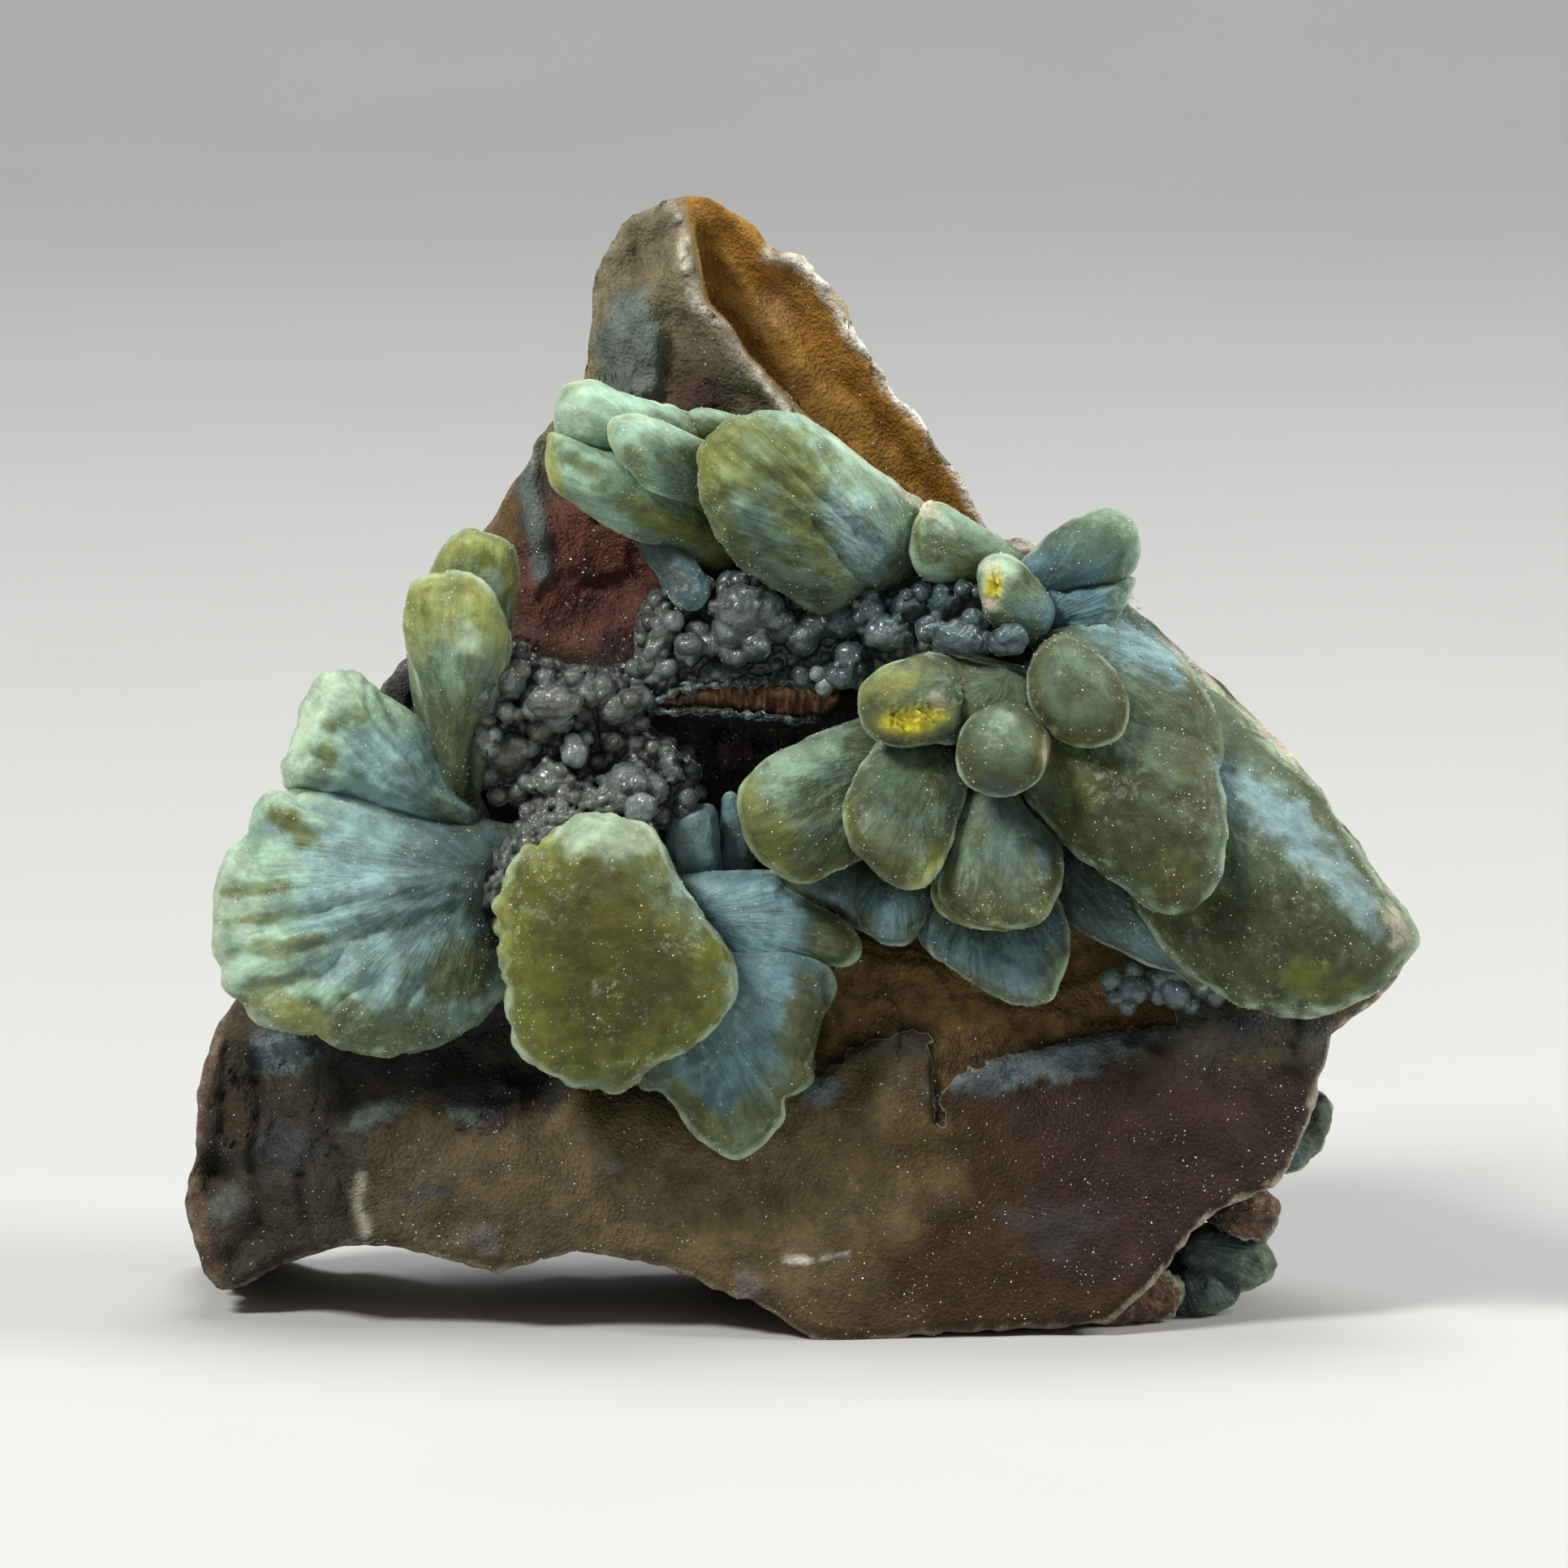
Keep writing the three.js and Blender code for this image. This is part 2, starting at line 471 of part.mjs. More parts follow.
function specimen() {
  const floor = floorBlock();
  const rooms = GROWTHS.flatMap(({ beds, bed }) => beds.map((forms) => room(forms, bed)));
  const matrix = matrixSolid().subtract(joined(rooms)).subtract(floor);
  const whole = new THREE.Group();
  const face = new THREE.Group();
  face.applyMatrix4(FACE_TO_PART);
  whole.add(face);
  face.add(mineral('matrix', largestBody(matrix), 0x6b5540, 0.75));
  GROWTHS.forEach((growth, order) => {
    let body = growthSolid(growth).subtract(behind(growth.bed));
    for (const earlier of GROWTHS.slice(0, order)) {
      body = body.subtract(growthSolid(earlier, GAP));
    }
    face.add(mineral(growth.name, largestBody(body), growth.colour, 0.5));
  });
  return whole;
}

export default specimen();
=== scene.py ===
"""A small cabinet specimen of plumbogummite on its drusy brown matrix.

Sizes are millimetres on the specimen's face: across, up, and out towards the viewer. The face
leans back by LEAN, and `to_part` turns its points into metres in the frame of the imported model.
"""

import logging
import math
from dataclasses import dataclass, field
from enum import Enum
from typing import Sequence

import bpy
import numpy as np
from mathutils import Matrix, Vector


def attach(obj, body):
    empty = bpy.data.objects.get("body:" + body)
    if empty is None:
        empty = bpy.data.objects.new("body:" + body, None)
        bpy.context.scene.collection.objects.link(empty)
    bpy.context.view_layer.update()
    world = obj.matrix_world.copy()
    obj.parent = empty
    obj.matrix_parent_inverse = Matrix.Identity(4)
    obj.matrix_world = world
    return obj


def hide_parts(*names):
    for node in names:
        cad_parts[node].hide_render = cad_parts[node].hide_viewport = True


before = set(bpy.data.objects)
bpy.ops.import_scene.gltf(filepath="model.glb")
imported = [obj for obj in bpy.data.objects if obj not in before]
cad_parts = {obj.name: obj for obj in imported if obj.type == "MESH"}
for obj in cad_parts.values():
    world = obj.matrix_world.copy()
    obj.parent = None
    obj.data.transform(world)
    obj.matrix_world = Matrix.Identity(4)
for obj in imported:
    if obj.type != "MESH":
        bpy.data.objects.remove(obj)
log = logging.getLogger("specimen")

Array = np.ndarray
Point = tuple[float, float, float]
Place = tuple[float, float]
Colour = tuple[float, float, float]

LEAN = math.radians(8.0)
ACROSS_SHIFT = -0.05
BACK_SHIFT = -8.96
BEDDING = 0.4
MILLIMETRE = 0.001


# Frame and small sums


def to_part(points: Array) -> Array:
    """Turn points on the face into the part's frame.

    Args:
        points: Rows of across, up and out, in millimetres.

    Returns:
        Rows of x, y and z, in metres, none of them under the surface that it stands on.
    """
    across, up, out = points.T
    x = across + ACROSS_SHIFT
    y = -out * math.cos(LEAN) + up * math.sin(LEAN) + BACK_SHIFT
    z = out * math.sin(LEAN) + up * math.cos(LEAN) - BEDDING
    return np.column_stack([x, y, np.maximum(z, 0.0)]) * MILLIMETRE


def ramp(low: float, high: float, value: Array) -> Array:
    """Rise smoothly from 0 at `low` to 1 at `high`."""
    share = np.clip((value - low) / (high - low), 0.0, 1.0)
    return share * share * (3.0 - 2.0 * share)


def mixed(first: Array, second: Sequence[float] | Array, share: Array) -> Array:
    """Mix rows of colour by a share for each row."""
    return first + (np.asarray(second) - first) * np.asarray(share)[..., None]


def signed_power(value: Array, power: float) -> Array:
    """Raise the size of a number to a power, and keep its sign."""
    return np.sign(value) * np.abs(value) ** power


def unit(vector: Array) -> Array:
    """Scale a vector, or rows of them, to length 1."""
    return vector / np.maximum(np.linalg.norm(vector, axis=-1, keepdims=True), 1e-9)


def srgb(red: float, green: float, blue: float) -> Colour:
    """Turn a screen colour of 0 to 255 into a linear one."""
    return tuple(((v / 255.0 + 0.055) / 1.055) ** 2.4 if v > 10 else v / 3294.6
                 for v in (red, green, blue))


def even_steps(path: Array, count: int) -> Array:
    """Pick places along a path, as shares of its length's parameter, that lie equally far apart.

    Args:
        path: Points in order.
        count: Number of places, the two ends included.

    Returns:
        Positions in the path's own index, with fractions.
    """
    run = np.concatenate([[0.0], np.cumsum(np.linalg.norm(np.diff(path, axis=0), axis=1))])
    return np.interp(np.linspace(0.0, run[-1], count), run, np.arange(len(path)))


def at_index(path: Array, index: Array) -> Array:
    """Read rows of a path at positions with fractions."""
    whole = np.arange(len(path))
    return np.column_stack([np.interp(index, whole, column) for column in path.T])


def smooth_path(points: Sequence[Sequence[float]], count: int, closed: bool = False) -> Array:
    """Run a smooth curve through points, and space its places evenly.

    Args:
        points: The points to pass through.
        count: Number of places on the curve.
        closed: Whether the curve comes back to its start.

    Returns:
        Rows of places. The start of a closed curve isn't repeated at its end.
    """
    knots = np.asarray(points, float)
    ahead = (lambda i: np.roll(knots, -i, axis=0)) if closed else (
        lambda i: knots[np.clip(np.arange(len(knots)) + i, 0, len(knots) - 1)])
    before, here, after, beyond = ahead(-1), ahead(0), ahead(1), ahead(2)
    spans = len(knots) if closed else len(knots) - 1
    share = np.linspace(0.0, 1.0, 24, endpoint=False)[None, :, None]
    here, after, before, beyond = (part[:spans, None, :] for part in (here, after, before, beyond))
    curve = 0.5 * (2 * here + (after - before) * share
                   + (2 * before - 5 * here + 4 * after - beyond) * share ** 2
                   + (3 * here - before - 3 * after + beyond) * share ** 3)
    curve = np.concatenate([curve.reshape(-1, knots.shape[1]),
                            knots[:1] if closed else knots[-1:]])
    places = at_index(curve, even_steps(curve, count + 1 if closed else count))
    return places[:-1] if closed else places


def segment_distance(places: Array, start: Array, end: Array) -> Array:
    """Measure how far places lie from each of some segments.

    Args:
        places: Rows of across and up.
        start: Where each segment begins.
        end: Where each segment ends.

    Returns:
        A row for each place, and a column for each segment.
    """
    run = end - start
    gap = places[:, None, :] - start[None]
    share = np.clip((gap * run).sum(2) / np.maximum((run * run).sum(1), 1e-9), 0.0, 1.0)
    return np.linalg.norm(gap - share[..., None] * run, axis=2)


def inside(places: Array, outline: Sequence[Place]) -> Array:
    """Measure the distance from a closed outline, positive inside it."""
    corners = np.asarray(outline, float)
    start, end = corners, np.roll(corners, -1, axis=0)
    distance = segment_distance(places, start, end).min(axis=1)
    x, v = places[:, :1], places[:, 1:]
    spans = (start[:, 1] > v) != (end[:, 1] > v)
    rise = np.where(end[:, 1] == start[:, 1], 1e-9, end[:, 1] - start[:, 1])
    crossing = x < (end[:, 0] - start[:, 0]) * (v - start[:, 1]) / rise + start[:, 0]
    within = (spans & crossing).sum(axis=1) % 2 == 1
    return np.where(within, distance, -distance)


def from_line(places: Array, line: Sequence[Place]) -> Array:
    """Measure the distance from an open line."""
    points = np.asarray(line, float)
    return segment_distance(places, points[:-1], points[1:]).min(axis=1)


class Grain:
    """Seeded noise in the space of the points that it is given."""

    def __init__(self, seed: int) -> None:
        """Draw the tables that the noise reads.

        Args:
            seed: Chooses the pattern.
        """
        picks = np.random.default_rng(seed)
        self.order = picks.permutation(256)
        self.slopes = unit(picks.normal(size=(256, 3)))
        self.spots = picks.random((256, 3))

    def _entry(self, cell: Array) -> Array:
        """Give each cell its entry in the tables."""
        entry = self.order[cell[:, 0] & 255]
        entry = self.order[(entry + cell[:, 1]) & 255]
        return self.order[(entry + cell[:, 2]) & 255]

    def smooth(self, points: Array, size: float) -> Array:
        """Give smooth noise of about -1 to 1, with features of one size."""
        places = points / size
        cell = np.floor(places).astype(int)
        part = places - cell
        fade = part ** 3 * (part * (part * 6.0 - 15.0) + 10.0)
        total = np.zeros(len(points))
        for corner in np.ndindex(2, 2, 2):
            step = np.array(corner)
            slope = self.slopes[self._entry(cell + step)]
            weight = np.prod(np.where(step == 1, fade, 1.0 - fade), axis=1)
            total += weight * ((part - step) * slope).sum(axis=1)
        return total * 1.6

    def layered(self, points: Array, size: float, layers: int = 4, keep: float = 0.5) -> Array:
        """Add up finer and finer noise, each layer `keep` times as strong as the last."""
        return sum(keep ** i * self.smooth(points + 31.7 * i, size / 2 ** i)
                   for i in range(layers))

    def cells(self, points: Array, size: float) -> tuple[Array, Array, Array, Array]:
        """Find the nearest of many scattered spots.

        Args:
            points: Rows of three numbers.
            size: Usual distance between spots.

        Returns:
            The distance to the nearest spot and to the next one, both in units of `size`, the
            vector from the nearest spot, and that spot's entry in the tables.
        """
        places = points / size
        cell = np.floor(places).astype(int)
        nearest = np.full(len(points), 9.0)
        second = np.full(len(points), 9.0)
        offset = np.zeros((len(points), 3))
        chosen = np.zeros(len(points), int)
        for corner in np.ndindex(3, 3, 3):
            there = cell + np.array(corner) - 1
            entry = self._entry(there)
            gap = places - there - self.spots[entry]
            distance = np.linalg.norm(gap, axis=1)
            closer = distance < nearest
            second = np.where(closer, nearest, np.minimum(second, distance))
            nearest = np.where(closer, distance, nearest)
            offset[closer] = gap[closer]
            chosen = np.where(closer, entry, chosen)
        return nearest, second, offset, chosen

    def facets(self, points: Array, size: float) -> Array:
        """Give broken, flat-faced relief of about -1 to 1."""
        _, _, offset, entry = self.cells(points, size)
        return (offset * self.slopes[entry]).sum(axis=1) + self.spots[entry, 0] - 0.5


# Meshes


@dataclass
class Shell:
    """A closed skin of rings of points between two poles.

    Attributes:
        rings: Points on the face, by ring and by place around.
        start: The pole before the first ring.
        end: The pole after the last ring.
        fields: Numbers for each point, by name, in the same order as the rings.
    """

    rings: Array
    start: Array
    end: Array
    fields: dict[str, Array] = field(default_factory=dict)

    def normals(self) -> Array:
        """Give a unit normal for each point of the rings."""
        around = np.roll(self.rings, -1, axis=1) - np.roll(self.rings, 1, axis=1)
        run = np.concatenate([self.start[None, None].repeat(self.rings.shape[1], 1), self.rings,
                              self.end[None, None].repeat(self.rings.shape[1], 1)])
        along = run[2:] - run[:-2]
        normal = unit(np.cross(along, around))
        outward = self.rings - self.rings.mean(axis=1, keepdims=True)
        side = np.sign((normal * outward).sum(axis=2).mean()) or 1.0
        return normal * side

    def push(self, amount: Array) -> None:
        """Move each point of the rings along its normal."""
        self.rings = self.rings + self.normals() * amount[..., None]

    def flat(self) -> Array:
        """Give the rings' points as plain rows."""
        return self.rings.reshape(-1, 3)

    def points(self) -> Array:
        """Give every point: the first pole, the rings, and the last pole."""
        return np.concatenate([self.start[None], self.flat(), self.end[None]])

    def values(self, name: str) -> Array:
        """Give a field for every point, where a pole takes the mean of its ring."""
        value = self.fields[name]
        flat = value.reshape((-1,) + value.shape[2:])
        return np.concatenate([value[0].mean(axis=0)[None], flat, value[-1].mean(axis=0)[None]])

    def faces(self, first: int) -> list[tuple[int, ...]]:
        """List the faces, outwards.

        Args:
            first: Number of the shell's first point in its piece.

        Returns:
            Tuples of point numbers.
        """
        count, places = self.rings.shape[:2]
        here = 1 + np.arange(count * places).reshape(count, places)
        beside = np.roll(here, -1, axis=1)
        quads = np.stack([here[:-1], beside[:-1], beside[1:], here[1:]], axis=-1).reshape(-1, 4)
        last = count * places + 1
        caps = np.concatenate([
            np.column_stack([np.zeros(places, int), beside[0], here[0]]),
            np.column_stack([np.full(places, last), here[-1], beside[-1]])])
        points = to_part(self.points())
        corner = points[quads]
        volume = (corner[:, 0] * np.cross(corner[:, 1], corner[:, 2])).sum() + (
            corner[:, 0] * np.cross(corner[:, 2], corner[:, 3])).sum()
        if volume < 0:
            quads, caps = quads[:, ::-1], caps[:, ::-1]
        return [tuple(row) for row in (quads + first).tolist()] + [
            tuple(row) for row in (caps + first).tolist()]


class Skin:
    """Gathers shells into one piece with its attributes."""

    def __init__(self, name: str) -> None:
        """Start an empty piece.

        Args:
            name: The piece's name.
        """
        self.name = name
        self.shells: list[Shell] = []

    def add(self, shell: Shell) -> None:
        """Take one more shell."""
        self.shells.append(shell)

    def build(self, material: bpy.types.Material) -> bpy.types.Object:
        """Make the piece.

        Args:
            material: What it is made of.

        Returns:
            A mesh object at the origin, smooth all over.
        """
        points, faces, first = [], [], 0
        for shell in self.shells:
            rows = shell.points()
            points.append(rows)
            faces.extend(shell.faces(first))
            first += len(rows)
        mesh = bpy.data.meshes.new(self.name)
        mesh.from_pydata(to_part(np.concatenate(points)).tolist(), [], faces)
        for name in self.shells[0].fields:
            values = np.concatenate([shell.values(name) for shell in self.shells])
            store(mesh, name, values)
        mesh.polygons.foreach_set("use_smooth", np.ones(len(mesh.polygons), bool))
        mesh.materials.append(material)
        mesh.update()
        piece = bpy.data.objects.new(self.name, mesh)
        bpy.context.scene.collection.objects.link(piece)
        return piece


def store(mesh: bpy.types.Mesh, name: str, values: Array) -> None:
    """Keep numbers, vectors or colours on a mesh's points.

    Args:
        mesh: The mesh.
        name: Name of the attribute; one that ends in `colour` is kept as a colour.
        values: One row for each point.
    """
    if values.ndim == 1:
        mesh.attributes.new(name, "FLOAT", "POINT").data.foreach_set("value", values)
    elif name.endswith("colour"):
        rows = np.column_stack([values, np.ones(len(values))])
        mesh.attributes.new(name, "FLOAT_COLOR", "POINT").data.foreach_set("color", rows.ravel())
    else:
        mesh.attributes.new(name, "FLOAT_VECTOR", "POINT").data.foreach_set(
            "vector", values.ravel())


# Shader graphs


class Graph:
    """Adds and links nodes in one tree."""

    def __init__(self, tree: bpy.types.NodeTree) -> None:
        """Work on a tree.

        Args:
            tree: The tree.
        """
        self.tree = tree

    def add(self, kind: str, **settings: object) -> bpy.types.Node:
        """Add a node and set its properties."""
        node = self.tree.nodes.new(kind)
        for name, value in settings.items():
            setattr(node, name, value)
        return node

    def feed(self, socket: bpy.types.NodeSocket, source: object) -> None:
        """Link a socket, or set its value where the source is a plain one."""
        if isinstance(source, bpy.types.NodeSocket):
            self.tree.links.new(source, socket)
        else:
            socket.default_value = source

    def sum(self, operation: str, *sources: object, clamp: bool = False) -> bpy.types.NodeSocket:
        """Add a Math node and give its output."""
        node = self.add("ShaderNodeMath", operation=operation, use_clamp=clamp)
        for socket, source in zip(node.inputs, sources):
            self.feed(socket, source)
        return node.outputs[0]

    def blend(self, share: object, first: object, second: object,
              kind: str = "MIX") -> bpy.types.NodeSocket:
        """Add a Mix node for colours and give its output."""
        node = self.add("ShaderNodeMix", data_type="RGBA", blend_type=kind)
        self.feed(node.inputs["Factor"], share)
        self.feed(node.inputs["A"], (*first, 1.0) if isinstance(first, tuple) else first)
        self.feed(node.inputs["B"], (*second, 1.0) if isinstance(second, tuple) else second)
        return node.outputs["Result"]

    def shaded(self, colour: object, shade: object) -> bpy.types.NodeSocket:
        """Multiply a colour by a number that changes over the surface."""
        grey = self.add("ShaderNodeCombineColor")
        for socket in grey.inputs[:3]:
            self.feed(socket, shade)
        return self.blend(1.0, colour, grey.outputs[0], "MULTIPLY")

    def rise(self, source: object, low: float, high: float, bottom: float = 0.0,
             top: float = 1.0) -> bpy.types.NodeSocket:
        """Map a range of a number smoothly to another."""
        node = self.add("ShaderNodeMapRange", interpolation_type="SMOOTHSTEP")
        for name, value in (("Value", source), ("From Min", low), ("From Max", high),
                            ("To Min", bottom), ("To Max", top)):
            self.feed(node.inputs[name], value)
        return node.outputs["Result"]

    def attribute(self, name: str, output: str) -> bpy.types.NodeSocket:
        """Read an attribute of the piece."""
        return self.add("ShaderNodeAttribute", attribute_name=name).outputs[output]

    def noise(self, vector: object, scale: float, detail: float = 3.0,
              rough: float = 0.55) -> bpy.types.NodeSocket:
        """Add a noise texture and give its number."""
        node = self.add("ShaderNodeTexNoise")
        self.feed(node.inputs["Vector"], vector)
        node.inputs["Scale"].default_value = scale
        node.inputs["Detail"].default_value = detail
        node.inputs["Roughness"].default_value = rough
        return node.outputs[0]

    def spots(self, vector: object, scale: float, feature: str = "F1") -> bpy.types.Node:
        """Add a Voronoi texture."""
        node = self.add("ShaderNodeTexVoronoi", feature=feature)
        self.feed(node.inputs["Vector"], vector)
        node.inputs["Scale"].default_value = scale
        return node

    def place(self) -> bpy.types.NodeSocket:
        """Read the point's place on the object."""
        return self.add("ShaderNodeTexCoord").outputs["Object"]

    def stretched(self, vector: object, stretch: Point) -> bpy.types.NodeSocket:
        """Scale a vector along its axes."""
        node = self.add("ShaderNodeMapping")
        self.feed(node.inputs["Vector"], vector)
        node.inputs["Scale"].default_value = stretch
        return node.outputs[0]

    def bump(self, height: object, distance: float, strength: float = 1.0,
             under: object = None) -> bpy.types.NodeSocket:
        """Add a Bump node, on top of another where one is given."""
        node = self.add("ShaderNodeBump")
        node.inputs["Strength"].default_value = strength
        node.inputs["Distance"].default_value = distance
        self.feed(node.inputs["Height"], height)
        if under is not None:
            self.feed(node.inputs["Normal"], under)
        return node.outputs[0]


class Pattern(Enum):
    """The patterns that several finishes share, each one shader group."""

    SPARKLE = "tiny_sparkle"
    FIBRE = "growth_fibres"
    FROST = "fine_frost"
    MOTTLE = "cloudy_mottle"
    BLOOM = "pale_bloom"

    def use(self, graph: Graph) -> bpy.types.NodeSocket:
        """Put the pattern in a graph.

        Args:
            graph: Where it is used.

        Returns:
            The pattern's output, a number that changes over the surface.
        """
        group = bpy.data.node_groups.get(self.value) or self._draw()
        return graph.add("ShaderNodeGroup", node_tree=group).outputs[0]

    def _draw(self) -> bpy.types.NodeTree:
        """Build the group."""
        group = bpy.data.node_groups.new(self.value, "ShaderNodeTree")
        group.interface.new_socket("Amount", in_out="OUTPUT", socket_type="NodeSocketFloat")
        graph = Graph(group)
        amount = {
            Pattern.SPARKLE: self._sparkle, Pattern.FIBRE: self._fibre,
            Pattern.FROST: self._frost, Pattern.MOTTLE: self._mottle,
            Pattern.BLOOM: self._bloom,
        }[self](graph)
        graph.feed(graph.add("NodeGroupOutput").inputs[0], amount)
        return group

    @staticmethod
    def _sparkle(graph: Graph) -> bpy.types.NodeSocket:
        """Scatter tiny spots, thicker in some places than in others."""
        place = graph.place()
        total: object = 0.0
        for scale, size, share in ((900.0, 0.07, 0.72), (1700.0, 0.09, 0.6), (3100.0, 0.12, 0.5)):
            spots = graph.spots(place, scale)
            chance = graph.add("ShaderNodeSeparateColor")
            graph.feed(chance.inputs[0], spots.outputs["Color"])
            spot = graph.rise(spots.outputs["Distance"], size, size * 0.5)
            kept = graph.sum("GREATER_THAN", chance.outputs[0], share)
            total = graph.sum("ADD", total, graph.sum("MULTIPLY", spot, kept))
        patchy = graph.rise(graph.noise(place, 420.0, 4.0, 0.7), 0.4, 0.62, 0.0, 1.0)
        return graph.sum("MULTIPLY", total, patchy, clamp=True)

    @staticmethod
    def _fibre(graph: Graph) -> bpy.types.NodeSocket:
        """Draw fine fibres that run the way a crystal grew."""
        growth = graph.attribute("growth", "Vector")
        coarse = graph.noise(graph.stretched(growth, (1.5, 1.5, 0.16)), 1.0, 3.0)
        fine = graph.noise(graph.stretched(growth, (5.5, 5.5, 0.35)), 1.0, 2.0)
        both = graph.sum("ADD", graph.sum("MULTIPLY", coarse, 0.6),
                         graph.sum("MULTIPLY", fine, 0.4))
        return graph.rise(both, 0.36, 0.64)

    @staticmethod
    def _frost(graph: Graph) -> bpy.types.NodeSocket:
        """Draw the finest grain."""
        place = graph.place()
        grains = graph.spots(place, 5200.0).outputs["Distance"]
        return graph.sum("ADD", graph.sum("MULTIPLY", grains, 0.5),
                         graph.sum("MULTIPLY", graph.noise(place, 2600.0, 2.0), 0.6))

    @staticmethod
    def _bloom(graph: Graph) -> bpy.types.NodeSocket:
        """Draw pale crumbs of crystal that gather in patches."""
        place = graph.place()
        crumbs = graph.rise(graph.noise(place, 2300.0, 5.0, 0.75), 0.5, 0.66)
        return graph.sum("MULTIPLY", crumbs, graph.rise(graph.noise(place, 380.0, 3.0, 0.6),
                                                        0.42, 0.62), clamp=True)

    @staticmethod
    def _mottle(graph: Graph) -> bpy.types.NodeSocket:
        """Draw soft clouds of about a millimetre, with finer ones in them."""
        return graph.rise(graph.noise(graph.place(), 620.0, 5.0, 0.6), 0.3, 0.7)


@dataclass(frozen=True)
class Finish:
    """What every finish has.

    Attributes:
        name: The material's name.
        roughness: Middle roughness of its surface.
        view_colour: Plain colour for viewports.
    """

    name: str
    roughness: float
    view_colour: Colour

    def material(self) -> bpy.types.Material:
        """Build the material, once."""
        found = bpy.data.materials.get(self.name)
        if found:
            return found
        material = bpy.data.materials.new(self.name)
        material.use_nodes = True
        material.diffuse_color = (*self.view_colour, 1.0)
        graph = Graph(material.node_tree)
        shader = material.node_tree.nodes["Principled BSDF"]
        self.dress(graph, shader)
        return material

    def dress(self, graph: Graph, shader: bpy.types.Node) -> None:
        """Feed the shader.

        Args:
            graph: The material's graph.
            shader: Its Principled node.
        """
        raise NotImplementedError


@dataclass(frozen=True)
class RockFinish(Finish):
    """Drusy brown rock: the colour follows the layers, and tiny crystals sparkle on it."""

    def dress(self, graph: Graph, shader: bpy.types.Node) -> None:
        """Feed the shader.

        Args:
            graph: The material's graph.
            shader: Its Principled node.
        """
        layer = graph.attribute("layer_colour", "Color")
        druse = graph.attribute("druse", "Fac")
        crag = graph.attribute("crag", "Fac")
        loss = graph.attribute("loss", "Fac")
        mottle = Pattern.MOTTLE.use(graph)
        frost = Pattern.FROST.use(graph)
        sparkle = graph.sum("MULTIPLY", Pattern.SPARKLE.use(graph), druse)
        place = graph.place()
        grain = graph.noise(place, 2600.0, 5.0, 0.8)
        scallop = graph.spots(place, 1150.0).outputs["Distance"]
        edge = graph.sum("SUBTRACT", graph.sum("ADD", loss, graph.sum("MULTIPLY", grain, 0.2)),
                         graph.sum("MULTIPLY", scallop, 0.55))
        under = graph.rise(edge, -0.12, -0.04)
        # A pale band along the step's scalloped edge: partly pale broken crust, partly a painted highlight on the
        # edge.
        lip = graph.sum("SUBTRACT", graph.rise(edge, -0.22, -0.13), under, clamp=True)
        # Painted shadow: the exposed lower layer is darkened just inside the step's edge, where the upper layer's
        # shadow falls.
        lower = graph.shaded(graph.blend(mottle, srgb(86, 67, 37), srgb(102, 81, 45)),
                             graph.rise(edge, 0.0, 0.8, 0.45, 1.0))
        shade = graph.rise(graph.sum("ADD", graph.sum("MULTIPLY", mottle, 0.25),
                                     graph.sum("MULTIPLY", grain, 0.75)), 0.25, 0.75, 0.6, 1.4)
        skin = graph.blend(graph.sum("MULTIPLY", lip, 0.7), layer, srgb(136, 138, 130))
        base = graph.shaded(graph.blend(under, skin, lower), shade)
        graph.feed(shader.inputs["Base Color"], graph.blend(sparkle, base, (0.8, 0.76, 0.68)))
        rough = graph.rise(grain, 0.3, 0.7, self.roughness - 0.14, self.roughness + 0.16)
        glint = graph.sum("MULTIPLY", sparkle, 0.5)
        graph.feed(shader.inputs["Roughness"], graph.sum("SUBTRACT", rough, glint, clamp=True))
        shader.inputs["Specular IOR Level"].default_value = 0.2
        cracks = graph.noise(place, 900.0, 6.0, 0.65)
        broken = graph.sum("MULTIPLY", cracks, graph.sum("ADD", crag, 0.3))
        step = graph.bump(graph.sum("SUBTRACT", 1.0, under), 0.0006, 0.9)
        coarse = graph.bump(broken, 0.00042, 0.9, step)
        fine = graph.sum("ADD", graph.sum("MULTIPLY", frost, 1.1),
                         graph.sum("MULTIPLY", sparkle, 1.5))
        graph.feed(shader.inputs["Normal"], graph.bump(fine, 0.00016, 0.9, coarse))


